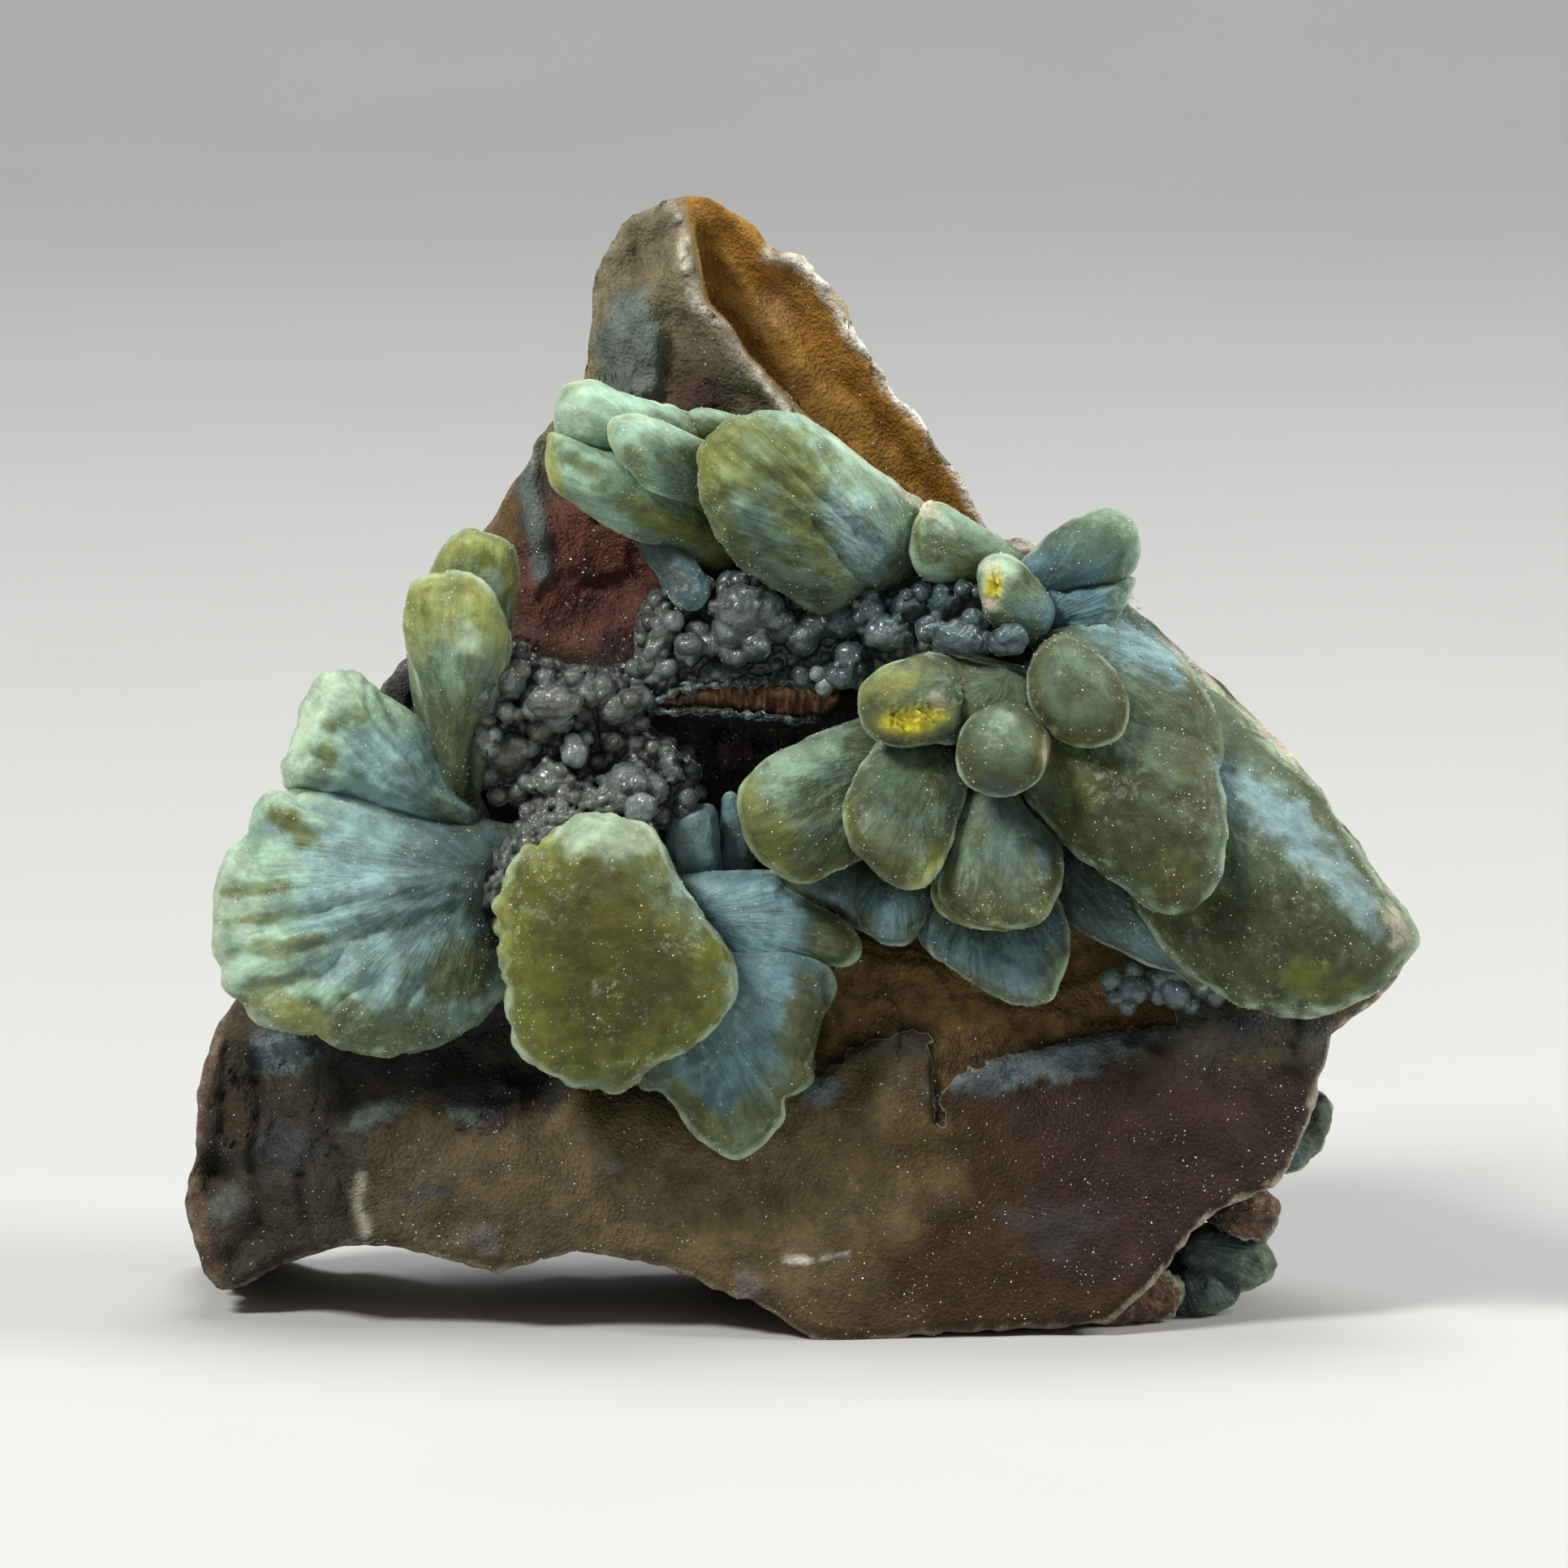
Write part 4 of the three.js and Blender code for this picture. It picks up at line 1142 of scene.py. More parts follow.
        # The peak: grey-brown at the left of its pale broken ridge.
        peak = ramp(42.5, 45.5, v)
        slope = mixed(np.tile(srgb(118, 110, 84), (len(x), 1)), srgb(68, 52, 44),
                      ramp(51.5, 47, v + 1.6 * wander) * ramp(-7.4, -5.6, x) * ramp(-2, -3.4, x))
        slope = mixed(slope, srgb(84, 84, 62), 0.8 * ramp(-4.2, -2.6, x) * ramp(51, 49, v))
        colour = mixed(colour, slope, peak)
        ridge = from_line(places, PEAK_RIDGE) + 0.5 * wander
        chips = grain.facets(flat + 13, 0.7)
        pale = ramp(0.5, 0.15, ridge + 0.25 * chips)
        out += 0.7 * ramp(1.3, 0.1, ridge) + ramp(1.0, 0.3, ridge) * 0.3 * chips
        colour = mixed(colour, mixed(np.tile(srgb(148, 138, 114), (len(x), 1)),
                                     srgb(214, 208, 190), ramp(-0.25, 0.3, chips)),
                       pale * (0.6 + 0.4 * ramp(50, 53.5, v)))
        coat = ramp(-0.25, 0.5, inside(places, COATING) + 0.9 * wander)
        out += coat * (0.75 + 0.12 * grain.layered(flat, 1.2, 2))
        colour = mixed(colour, srgb(98, 112, 106), coat * 0.85)
        druse *= 1.0 - 0.6 * coat

        # The ochre hollow, folded down its length, and its pale rim.
        hollow = inside(places, PEAK_HOLLOW) + 0.25 * wander
        bed = ramp(-0.1, 0.35, hollow)
        beyond = segment_distance(places, *self._ends(HOLLOW_RIM)).min(axis=1)
        fold = x * 0.78 + v * 0.62 + 0.5 * grain.smooth(flat * (1, 0.6, 1), 3.2)
        waves = 0.5 * np.sin(fold * 2.1 + 1.0) + 0.3 * np.sin(fold * 4.7 + 2.0)
        floor = -9.9 + 2.2 * ramp(2.8, 0.0, beyond) + 0.38 * waves + 0.14 * grain.layered(
            flat * (1.3, 0.8, 1), 1.5, 4)
        out = out + (np.minimum(floor, out - 0.2) - out) * bed
        ochre = mixed(np.tile(srgb(138, 98, 40), (len(x), 1)), srgb(158, 122, 58),
                      ramp(-0.8, 0.9, waves + 0.3 * grain.layered(flat + 4, 1.2, 4)))
        ochre = mixed(ochre, srgb(164, 132, 96), ramp(1.7, 0.4, np.hypot(x + 1.0, v - 51.2)) * 0.5)
        ochre = ochre * (0.8 + 0.32 * ramp(44, 52, v))[:, None]
        colour = mixed(colour, ochre, bed)
        outer_wall = ramp(1.5, 1.2, beyond) * ramp(39, 41, v)
        wide = 0.58 + 0.5 * ramp(54.4, 53.6, v) * ramp(48.6, 50, v)
        rim = ramp(54.6, 53.8, v) * outer_wall * ramp(
            1.0, 0.4, (inside(places, OUTLINE) + 0.5 * np.abs(wander) + 0.25 * chips) / wide)
        out += rim * (0.35 + 0.3 * chips)
        colour = mixed(colour, mixed(np.tile(srgb(176, 164, 136), (len(x), 1)),
                                     srgb(230, 229, 222), ramp(-0.4, 0.1, chips)), rim)
        druse = np.where(bed > 0.5, 0.35, druse) + rim * 0.6
        crag = np.maximum(crag * (1 - 0.5 * bed), rim)

        # The red-brown hollow, warmer at its foot.
        red = ramp(-0.5, 0.8, inside(places, RED_HOLLOW) + 0.8 * wander)
        maroon = mixed(np.tile(srgb(98, 60, 52), (len(x), 1)), srgb(76, 48, 44),
                       ramp(-0.3, 0.6, grain.layered(flat + 21, 1.6, 4)))
        maroon = mixed(maroon, srgb(150, 98, 40), ramp(2.4, 0.5, np.hypot(
            x + 11.2, (v - 33.6) * 1.4)) * 0.8)
        colour = mixed(colour, maroon, red)
        druse = np.where(red > 0.5, 0.75, druse)
        colour = mixed(colour, srgb(96, 74, 42), ramp(-13.4, -14.4, x) * ramp(36, 38, v)
                       * ramp(44, 42, v))
        for seam in ROCK_SEAMS:
            cover = seam.cover(places, wander)
            colour = mixed(colour, seam.tint.value, seam.strength * cover)
            out += seam.height * cover

        # The slit's fibrous brown wall and the dark druse under it.
        slit = ramp(-0.15, 0.25, inside(places, SLIT))
        threads = grain.smooth(flat * (4.2, 1.1, 1), 1.0)
        out = out + (-1.7 + 0.35 * threads - out) * slit
        colour = mixed(colour, mixed(np.tile(srgb(100, 70, 54), (len(x), 1)),
                                     srgb(180, 140, 110), ramp(-0.3, 0.6, threads)), slit)
        pit = ramp(-0.6, 0.6, inside(places, DARK_PIT) + wander) * (1 - slit)
        out = out + (-5.4 + 0.9 * grain.facets(flat + 8, 0.9) - out) * pit
        colour = mixed(colour, srgb(64, 56, 54), pit)
        druse = np.where(pit > 0.5, 1.0, druse)
        grey = ramp(35.6, 33.6, v) * ramp(13.5, 16, v) * (1 - slit) * (1 - pit) * (1 - under)
        colour = mixed(colour, srgb(48, 50, 50), grey * ramp(-27, -22, x) * 0.85 * ramp(26, 16, x))

        # The thin pale edge at the right and along the foot: pale broken drusy rock, widened and whitened at the
        # upper right, partly as painted rim light.
        edge = inside(places, OUTLINE) + 0.5 * wander
        # Painted rim light, on top of pale drusy rock: the upper right edge is made whiter and wider.
        drusy_edge_and_rim_light = ramp(25, 29, v) * ramp(10, 13, x)
        thin = ramp(0.34, 0.1, edge + 0.2 * chips - 0.5 * drusy_edge_and_rim_light) * (0.3 + 0.7 * np.maximum(
            drusy_edge_and_rim_light, ramp(12, 20, x))) * (1 - bed)
        colour = mixed(colour, mixed(np.tile(srgb(172, 164, 146), (len(x), 1)),
                                     srgb(228, 226, 220), drusy_edge_and_rim_light), thin * 0.85)
        out += 0.3 * drusy_edge_and_rim_light * thin * chips
        out -= 0.35 * ramp(0.7, 0.0, edge)
        crust = sum(ramp(-0.2, 0.8, inside(places, zone)) for zone in CRUST_ZONES)
        return {"out": out, "layer_colour": colour, "druse": np.clip(druse, 0, 1),
                "crag": np.clip(crag, 0, 1), "bed": np.clip(crust, 0, 1),
                "loss": np.clip(loss, -3, 3)}

    @staticmethod
    def _ends(line: Sequence[Place]) -> tuple[Array, Array]:
        """Split a line into the starts and ends of its segments."""
        points = np.asarray(line, float)
        return points[:-1], points[1:]

    def shell(self) -> Shell:
        """Make the rock's skin: face, rim and back."""
        edge = smooth_path(OUTLINE, self.steps, closed=True)
        run = np.column_stack([edge, np.zeros(len(edge))])
        shake = 0.16 * self.grain.layered(run + 40, 0.9, 3) - 0.06
        middle = np.array(self.middle)
        edge = edge + unit(edge - middle) * shake[:, None]
        parts = []
        shares = (np.arange(1, self.front_rings + 1) / self.front_rings) ** 0.8
        grid = middle + (edge - middle)[None] * shares[:, None, None]
        parts.append(self._face(grid))
        rim = parts[0]["point"][-1]
        back_out = self.back(edge[:, 0], edge[:, 1])
        parts.append(self._wall(edge, rim[:, 2], back_out, parts[0]))
        foot = parts[1]["point"][-1]
        parts.append(self._rear(foot))
        names = [name for name in parts[0] if name != "point"]
        rings = np.concatenate([part["point"] for part in parts])
        fields = {name: np.concatenate([part[name] for part in parts]) for name in names}
        start = np.array([*middle, self.front(*middle[:, None])["out"][0]])
        end = rings[-1].mean(axis=0)
        return Shell(rings, start, end, fields)

    def _face(self, grid: Array) -> dict[str, Array]:
        """Make the rings of the face."""
        shape = grid.shape[:2]
        x, v = grid.reshape(-1, 2).T
        found = self.front(x, v)
        out = found.pop("out").reshape(shape)
        part = {name: value.reshape(shape + value.shape[1:]) for name, value in found.items()}
        part["point"] = np.concatenate([grid, out[..., None]], axis=2)
        return part

    def _wall(self, edge: Array, front: Array, back: Array,
              face: dict[str, Array]) -> dict[str, Array]:
        """Make the rings of the broken rim, which draws in towards the back."""
        middle = np.array(self.middle)
        rings, colours, crags = [], [], []
        from_middle = unit(edge - middle)
        for ring in range(1, self.wall_rings + 1):
            share = ring / self.wall_rings
            out = front + (back - front) * share
            depth = front - out
            drawn = ramp(5.0, 20.0, edge[:, 1])
            scale = 1.0 - drawn * self.taper * depth
            place = middle + (edge - middle) * scale[:, None]
            here = np.column_stack([place, out * 1.0])
            rough = 0.8 * np.abs(self.grain.facets(here, 2.6)) + 0.35 * np.abs(
                self.grain.layered(here, 1.5, 4))
            deep = ramp(0.0, 1.6, depth) * ramp(0.0, 3.0, back * 0 + (out - back) + 1.5)
            place = place - from_middle * (rough * deep)[:, None]
            here = np.column_stack([place, out])
            rings.append(here)
            strata = self.grain.layered(here * (0.25, 0.25, 1.4), 2.0, 3)
            stone = mixed(np.tile(srgb(104, 84, 62), (len(out), 1)), srgb(140, 122, 96),
                          ramp(-0.4, 0.6, strata))
            stone = mixed(stone, srgb(84, 62, 50), ramp(0.1, 0.7, self.grain.layered(
                here + 50, 3.5, 3)))
            ochre = ramp(38, 44, edge[:, 1]) * 0.55
            stone = mixed(stone, srgb(150, 116, 66), ochre)
            colours.append(mixed(stone, face["layer_colour"][-1], ramp(1.0, 0.1, depth)))
            crags.append(np.full(len(out), 1.0))
        ones = np.ones((self.wall_rings, len(front)))
        return {"point": np.array(rings), "layer_colour": np.array(colours),
                "druse": ones * 0.35, "crag": np.array(crags), "bed": ones * 0.0,
                "loss": ones * -3.0}

    def _rear(self, foot: Array) -> dict[str, Array]:
        """Make the rings of the back."""
        middle = foot[:, :2].mean(axis=0)
        shares = np.linspace(1.0, 0.0, self.back_rings + 2)[1:-1]
        grid = middle + (foot[:, :2] - middle)[None] * shares[:, None, None]
        x, v = grid.reshape(-1, 2).T
        out = self.back(x, v)
        here = np.column_stack([x, v, out])
        stone = mixed(np.tile(srgb(110, 90, 66), (len(x), 1)), srgb(82, 64, 52),
                      ramp(-0.2, 0.6, self.grain.layered(here + 60, 5.0, 4)))
        stone = mixed(stone, srgb(150, 120, 78), ramp(0.1, 0.8, self.grain.layered(
            here + 80, 3.2, 4)) * 0.7)
        shape = grid.shape[:2]
        return {"point": here.reshape(shape + (3,)), "layer_colour": stone.reshape(shape + (3,)),
                "druse": np.full(shape, 0.3), "crag": np.full(shape, 0.9),
                "bed": np.zeros(shape), "loss": np.full(shape, -3.0)}

    def build(self) -> bpy.types.Object:
        """Make the rock, in place of the matrix."""
        skin = Skin("rock")
        skin.add(self.shell())
        piece = skin.build(ROCK.material())
        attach(piece, "root")
        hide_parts("matrix")
        return piece


# The prisms


class Habit(Enum):
    """How a prism is zoned, from its root or middle, at 0, to its tip or edge, at 1."""

    PETAL = ((0.0, Tint.OLIVE), (0.35, Tint.GREY_OLIVE), (0.55, Tint.GREY_GREEN),
             (0.8, Tint.GREY_OLIVE), (0.95, Tint.OLIVE), (1.0, Tint.LIME))
    STEEL = ((0.0, Tint.SLATE), (0.5, Tint.STEEL), (0.8, Tint.SMOKE), (0.95, Tint.GREY_OLIVE),
             (1.0, Tint.GREY_GREEN))
    MINT = ((0.0, Tint.BROWN_OLIVE), (0.25, Tint.GREY_OLIVE), (0.5, Tint.GREY_GREEN),
            (0.78, Tint.MINT), (0.92, Tint.MINT), (1.0, Tint.LIME))
    GREYED = ((0.0, Tint.GREY_OLIVE), (0.4, Tint.GREY_GREEN), (0.7, Tint.GREY_OLIVE),
              (0.94, Tint.GREY_OLIVE), (1.0, Tint.GREY_GREEN))
    BLUE = ((0.0, Tint.SMOKE), (0.5, Tint.BLUE), (0.8, Tint.GREY_GREEN), (1.0, Tint.MINT))
    SHEET = ((0.0, Tint.SMOKE), (0.45, Tint.BLUE), (0.62, Tint.BLUE), (0.85, Tint.GREY_OLIVE),
             (1.0, Tint.GREY_OLIVE))
    SHELL = ((0.0, Tint.STEEL), (0.2, Tint.SMOKE), (0.42, Tint.AQUA), (0.66, Tint.AQUA),
             (0.8, Tint.MINT), (0.93, Tint.MINT), (1.0, Tint.PALE_MINT))
    BLADE = ((0.0, Tint.BROWN_OLIVE), (0.3, Tint.GREY_OLIVE), (0.6, Tint.GREY_GREEN),
             (0.85, Tint.LIME), (1.0, Tint.LIME))
    SMOKY = ((0.0, Tint.STEEL), (0.6, Tint.SMOKE), (1.0, Tint.BLUE))
    RUST = ((0.0, Tint.UMBER), (0.6, Tint.RUST), (1.0, Tint.RUST))
    DISC = ((0.0, Tint.DEEP_OLIVE), (0.5, Tint.DEEP_OLIVE), (0.8, Tint.OLIVE),
            (0.95, Tint.OLIVE), (1.0, Tint.LIME))

    def colour(self, along: Array) -> Array:
        """Give the zone's colour at each share of the way."""
        places = [stop[0] for stop in self.value]
        tints = np.array([stop[1].value for stop in self.value])
        return np.stack([np.interp(along, places, tints[:, i]) for i in range(3)], axis=-1)


class Outline(Enum):
    """Outlines that the prisms show on the face, in order around."""

    LONG_SLOPE = (
        (15.6, 35.1), (17.8, 34.5), (19.7, 32.9), (21.9, 30.9), (23.8, 29.1), (25.4, 27.8),
        (26.7, 26.1), (27.9, 24.2), (29.1, 22.4), (30.2, 21.1), (30.7, 19.8), (30.1, 18.7),
        (28.6, 17.4), (26.7, 16.5), (24.2, 16.1), (22.4, 16.4), (20.5, 17.4), (18.9, 18.5),
        (17.5, 20.2), (16.4, 22.1), (15.6, 25.8), (15.1, 30.7),
    )
    UPPER_SLOPE = (
        (12.2, 34.7), (14.2, 35.4), (16.6, 34.8), (18.7, 33.6), (20.2, 32), (20.8, 30.2),
        (20.9, 28.3), (19.6, 26.8), (17.1, 27.3), (14.6, 29.8), (12.7, 32.5),
    )
    MIDDLE_SLOPE = (
        (10.7, 29.8), (12.7, 32.7), (15.1, 33.9), (17.3, 32.7), (18.9, 31.3), (20.2, 29.8),
        (21, 27.8), (21.2, 25.8), (21.1, 24.1), (20.7, 22.6), (19.8, 21.7), (18.9, 21.2),
        (17.4, 21.5), (15.6, 22.6), (14, 23.8), (12.7, 25.2), (11.2, 27.3),
    )
    SLATE_SLOPE = (
        (12.9, 24.1), (12.6, 22.1), (13.2, 21), (14.4, 20.1), (15.9, 19.3), (17.3, 18.7),
        (18.8, 18.2), (20.2, 17.4), (20.3, 19), (18.8, 20.9), (16.6, 22.9), (14.4, 24.4),
    )
    LOW_PETAL = (
        (6.4, 21.9), (6.1, 20.2), (6.8, 19), (8, 18.2), (9.2, 17.4), (10.5, 16.8), (11.7, 16.7),
        (12.7, 17.2), (13.3, 18.5), (13.5, 19.9), (13.2, 21.3), (12.3, 22.4), (9.7, 23.1),
        (7.5, 22.9),
    )
    SMALL_PETAL = (
        (3.4, 23.6), (2.6, 22.1), (2.8, 21.1), (3.6, 20.1), (4.8, 19.6), (5.7, 19.8), (6.4, 20.7),
        (6.7, 21.9), (6.5, 23.1), (5.3, 24.1),
    )
    DARK_PETAL = (
        (-1.1, 23.6), (-0.3, 22.3), (0.9, 21.7), (1.9, 21.3), (2.8, 20.6), (4, 20.2), (5.3, 21.4),
        (4.1, 23.9), (1.6, 24.4),
    )
    UNDER_PETAL = (
        (7.8, 25.8), (7.2, 24.4), (6.8, 22.9), (6.7, 21.9), (7.4, 21), (8.8, 20.5), (10.5, 20.4),
        (11.5, 20.9), (11.2, 23.4), (9.7, 25.3), (8.8, 26.1),
    )
    RIGHT_PETAL = (
        (8.4, 27.5), (7.6, 25.8), (7.3, 24.1), (7.1, 22.6), (7.3, 21.7), (8.3, 21), (9.7, 20.6),
        (11, 20.5), (11.8, 20.7), (12.5, 21.5), (13.1, 23.1), (12.9, 24.4), (12.2, 25.5),
        (11.3, 26.4), (10.7, 27.5), (9.5, 28.3),
    )
    LEFT_PETAL = (
        (4.1, 30.6), (2.1, 30.4), (0.4, 29.8), (-1.3, 28.9), (-2.5, 27.8), (-2.9, 26.8),
        (-2.7, 25.5), (-2.2, 24.4), (-1.3, 23.4), (-0.3, 22.9), (0.7, 22.8), (1.7, 23.1), (3, 23.7),
        (3.6, 24.8), (4.3, 27.3), (5.1, 29.3),
    )
    MIDDLE_PETAL = (
        (4.3, 29.8), (3.2, 28.5), (2.5, 27.1), (2.3, 25.8), (2.7, 24.6), (3.6, 23.6), (4.6, 22.7),
        (5.6, 22.4), (6.5, 22.6), (7.1, 23.6), (7.8, 25.2), (8.4, 27.1), (8.3, 28.8), (7, 29.8),
        (5.6, 30),
    )
    SADDLE = (
        (7, 33.8), (8.8, 33.6), (10, 33.3), (11.2, 32.9), (12.2, 32.2), (12.2, 30.5), (10.7, 29.8),
        (9, 29.8), (7.8, 30.7), (7, 32.2),
    )
    YELLOW_CORED = (
        (6.5, 34), (5.3, 33.7), (4.1, 33.2), (3.2, 32.3), (3.1, 31.2), (3.4, 30.2), (4.2, 29.5),
        (5.3, 29.3), (6.5, 29.5), (7.9, 29.6), (8.8, 30.7), (8.8, 32.7), (7.8, 33.8),
    )
    RIGHT_BALL = (
        (11.5, 33.4), (12.2, 34.4), (13.4, 34.8), (14.8, 34), (15.8, 32.9), (16.3, 31.5), (16, 30.1),
        (15.1, 29.5), (14, 29.4), (12.9, 29.8), (11.9, 30.7), (11.3, 32),
    )
    BALL = (
        (10.1, 31.6), (9, 31.2), (8.2, 30.4), (7.8, 29.3), (7.9, 28.3), (8.5, 27.4), (9.5, 27),
        (10.7, 27.1), (11.8, 27.7), (12.4, 28.8), (12.4, 29.9), (11.8, 30.8), (11, 31.4),
    )
    DISC = (
        (-11.6, 25.4), (-10.4, 26), (-9.2, 26.1), (-7.9, 25.8), (-6.9, 25.2), (-6.2, 24.1),
        (-5.6, 22.9), (-4.8, 21.6), (-3.9, 20.5), (-3.2, 19.3), (-2.9, 18.1), (-3.2, 16.6),
        (-4.1, 15.5), (-5.4, 14.5), (-6.6, 13.9), (-7.4, 13.4), (-7.9, 12.8), (-8.9, 12.4),
        (-10, 12.6), (-11.2, 13), (-12.3, 13.6), (-13.3, 14.5), (-13.9, 15.7), (-14.1, 17.2),
        (-14.1, 18.6), (-14.5, 19.7), (-14.7, 20.7), (-14.5, 22), (-14, 23), (-13.8, 23.8),
        (-13.2, 24.4), (-12.4, 24.8),
    )
    LOWER_SHEET = (
        (-4.5, 19.2), (-3, 19.3), (-1.7, 19.5), (-0.2, 19.6), (0.9, 19.2), (1.7, 18.5), (2, 17.7),
        (1.8, 16.8), (1.4, 16.1), (1.2, 15.5), (1, 14.7), (0.8, 13.9), (0.9, 13), (0.1, 12.3),
        (-0.5, 12), (-0.6, 11), (-1.2, 10.2), (-2, 9.5), (-2.9, 9.1), (-3.7, 9.4), (-4.8, 10.2),
        (-5.8, 11.4), (-6.7, 12.4), (-7.6, 12.6), (-8.2, 14), (-7, 15.8), (-5.7, 17.8),
    )
    UPPER_SHEET = (
        (-6, 23), (-5.1, 23.2), (-3.7, 23.3), (-1.4, 23.3), (-0.8, 23.1), (-0.5, 22.5), (0.4, 21.9),
        (1.7, 21.3), (2.6, 20.7), (3.2, 19.8), (3.1, 19), (2.4, 18.6), (1.4, 18.7), (-0.2, 18.6),
        (-2, 18.3), (-3.6, 19.2), (-4.8, 20.7), (-5.7, 22),
    )
    SMOKY_WIDE = (
        (-6.5, 25), (-6, 26.1), (-5.1, 26.5), (-4, 26.4), (-3.7, 24.7), (-3.7, 23), (-5, 22.7),
        (-6, 23.2),
    )
    SMOKY_NARROW = (
        (-3.7, 26.9), (-3, 27.2), (-2.3, 26), (-2, 24), (-2.5, 22.9), (-3.6, 23), (-3.8, 25),
    )
    HANGING_BLADE = (
        (-7.6, 39.9), (-6.9, 40.1), (-6, 39.7), (-5.1, 38.8), (-4.4, 37.8), (-4.2, 37.1),
        (-4.6, 36.3), (-5.3, 36.1), (-6.1, 36.6), (-6.8, 37.8), (-7.4, 38.7),
    )
    PALE_LOBE = (
        (-11.9, 45.8), (-11.7, 46.7), (-11.1, 47.3), (-10.3, 47.5), (-9.3, 47.3), (-8.3, 46.8),
        (-7.2, 46.4), (-5.8, 46.1), (-4.5, 45.6), (-3.6, 44.7), (-4, 43.5), (-5.6, 43.1),
        (-7.6, 43.3), (-9.5, 43.8), (-11.1, 44.1), (-11.9, 44.7),
    )
    SMALL_LOBE = (
        (-5.4, 45.6), (-5, 46.1), (-4.1, 46.1), (-3, 45.7), (-2.1, 45.2), (-2.4, 44.2), (-4, 44.2),
        (-5.1, 44.7),
    )
    UNDER_LOBE = (
        (-9.9, 40.8), (-8.8, 40), (-7.5, 39.3), (-6.5, 38.8), (-4.9, 38.2), (-3.3, 38), (-1.9, 37.9),
        (-0.7, 38), (-0.7, 39.9), (-3, 41.2), (-5.8, 41.2), (-8.1, 41.2),
    )
    RIBBED_LOBE = (
        (-12.1, 44.8), (-12.4, 43.9), (-12.3, 42.8), (-11.8, 41.9), (-10.6, 41.1), (-9.4, 40.4),
        (-8.3, 39.7), (-6.9, 39.3), (-5.6, 39.2), (-4, 38.7), (-3, 39.4), (-3.3, 40.8), (-4.6, 42.1),
        (-6.3, 43.1), (-8.1, 43.8), (-9.9, 44.2), (-11.3, 44.7),
    )
    FRONT_LOBE = (
        (-9.3, 44.9), (-9, 45.5), (-8.1, 45.8), (-7.2, 45.6), (-6, 45.2), (-4.9, 44.7), (-4, 44.2),
        (-4, 43.1), (-4.5, 42.1), (-5.3, 41.6), (-6.3, 41.7), (-7.4, 42.1), (-8.3, 43), (-9, 43.9),
    )
    BIG_LOBE = (
        (-4.8, 43.2), (-4.5, 44.3), (-3.5, 45.2), (-2.4, 45.7), (-1, 46), (0.2, 45.7), (1.4, 45),
        (2.7, 44), (4.1, 42.9), (5.4, 42.1), (6.5, 41.1), (6.7, 39.6), (6.1, 38.2), (4.8, 37.4),
        (3.4, 36.7), (2.3, 36), (1.2, 35.8), (-0.2, 36.6), (-1.7, 37.6), (-3, 38.7), (-4, 40.1),
        (-4.7, 41.6),
    )
    BLUE_CHIP = (
        (1.7, 39.5), (2.5, 40.2), (3.7, 39.9), (4.3, 38.7), (4.7, 37.4), (3.7, 36.7), (2.7, 37.7),
    )
    LINK_LOBE = (
        (5.6, 39.9), (6.1, 41), (6.8, 41.4), (7.6, 41.2), (8.7, 40.6), (9.9, 39.8), (11.3, 38.6),
        (11.1, 37.9), (9.6, 37.8), (8.4, 37.6), (7.3, 37.4), (6.2, 37.7), (5.6, 38.7),
    )
    BROKEN_EAR = (
        (11.7, 37.1), (13.2, 37.1), (14.6, 37.4), (16.6, 37.8), (16.6, 37.1), (16, 36), (15.1, 35.1),
        (14.2, 34.6), (13.1, 34.9), (12.1, 35.6),
    )
    EAR = (
        (10.7, 37.7), (11.2, 38.6), (11.8, 39.2), (12.8, 40.1), (13.9, 40.7), (15.1, 41.1),
        (16.2, 40.8), (16.8, 39.9), (16.9, 38.8), (16.5, 37.9), (15.6, 37.4), (14.4, 37.2),
        (13.2, 36.9), (11.9, 36.6), (11.1, 36.9),
    )
    CORED_PRISM = (
        (8.9, 37.7), (9.2, 38.6), (10, 38.9), (10.9, 38.6), (11.9, 37.7), (12.6, 36.7), (12.7, 35.6),
        (12, 34.8), (10.8, 34.5), (9.9, 35.1), (9.2, 36.1),
    )
    BLADE_FOOT = (
        (-16.2, 35.6), (-15, 36), (-14.1, 35.1), (-14.1, 33.3), (-14.6, 31.4), (-15, 29.1),
        (-15.6, 27.2), (-16.2, 28), (-16.4, 30.6), (-16.4, 33.3),
    )
    BLADE_TOP = (
        (-18.1, 38), (-17.7, 38.9), (-16.8, 39.8), (-16.1, 40.2), (-15.1, 40), (-14.1, 39.5),
        (-13.7, 38.6), (-13.7, 37.7), (-14.1, 36.6), (-14.2, 35.3), (-15.4, 35.1), (-16.5, 36.2),
        (-17.5, 37.1),
    )
    BLADE = (
        (-19.2, 36.4), (-18.8, 37.5), (-17.9, 37.9), (-16.5, 38.1), (-15.5, 37.8), (-14.7, 36.8),
        (-14.1, 35.4), (-14.2, 33.7), (-14.5, 32.7), (-15.3, 31.4), (-15.9, 29.1), (-16.4, 27.2),
        (-16.8, 27), (-17.3, 28), (-18.1, 30.5), (-18.8, 33), (-19.1, 34.1), (-19.3, 35.4),
    )
    UPPER_SHELL = (
        (-25.3, 27.9), (-25.2, 29.1), (-24.6, 30.6), (-24.1, 31.8), (-23.6, 32.7), (-22.9, 33.1),
        (-21.9, 33.2), (-21, 32.7), (-20.3, 32), (-19.6, 31.4), (-18.6, 30.7), (-17.8, 29.7),
        (-17.1, 28.2), (-16.3, 26.8), (-15.3, 25.7), (-15.4, 24.5), (-17.7, 24.9), (-20, 25.7),
        (-21.9, 26.4), (-23.6, 27), (-24.9, 27.3),
    )
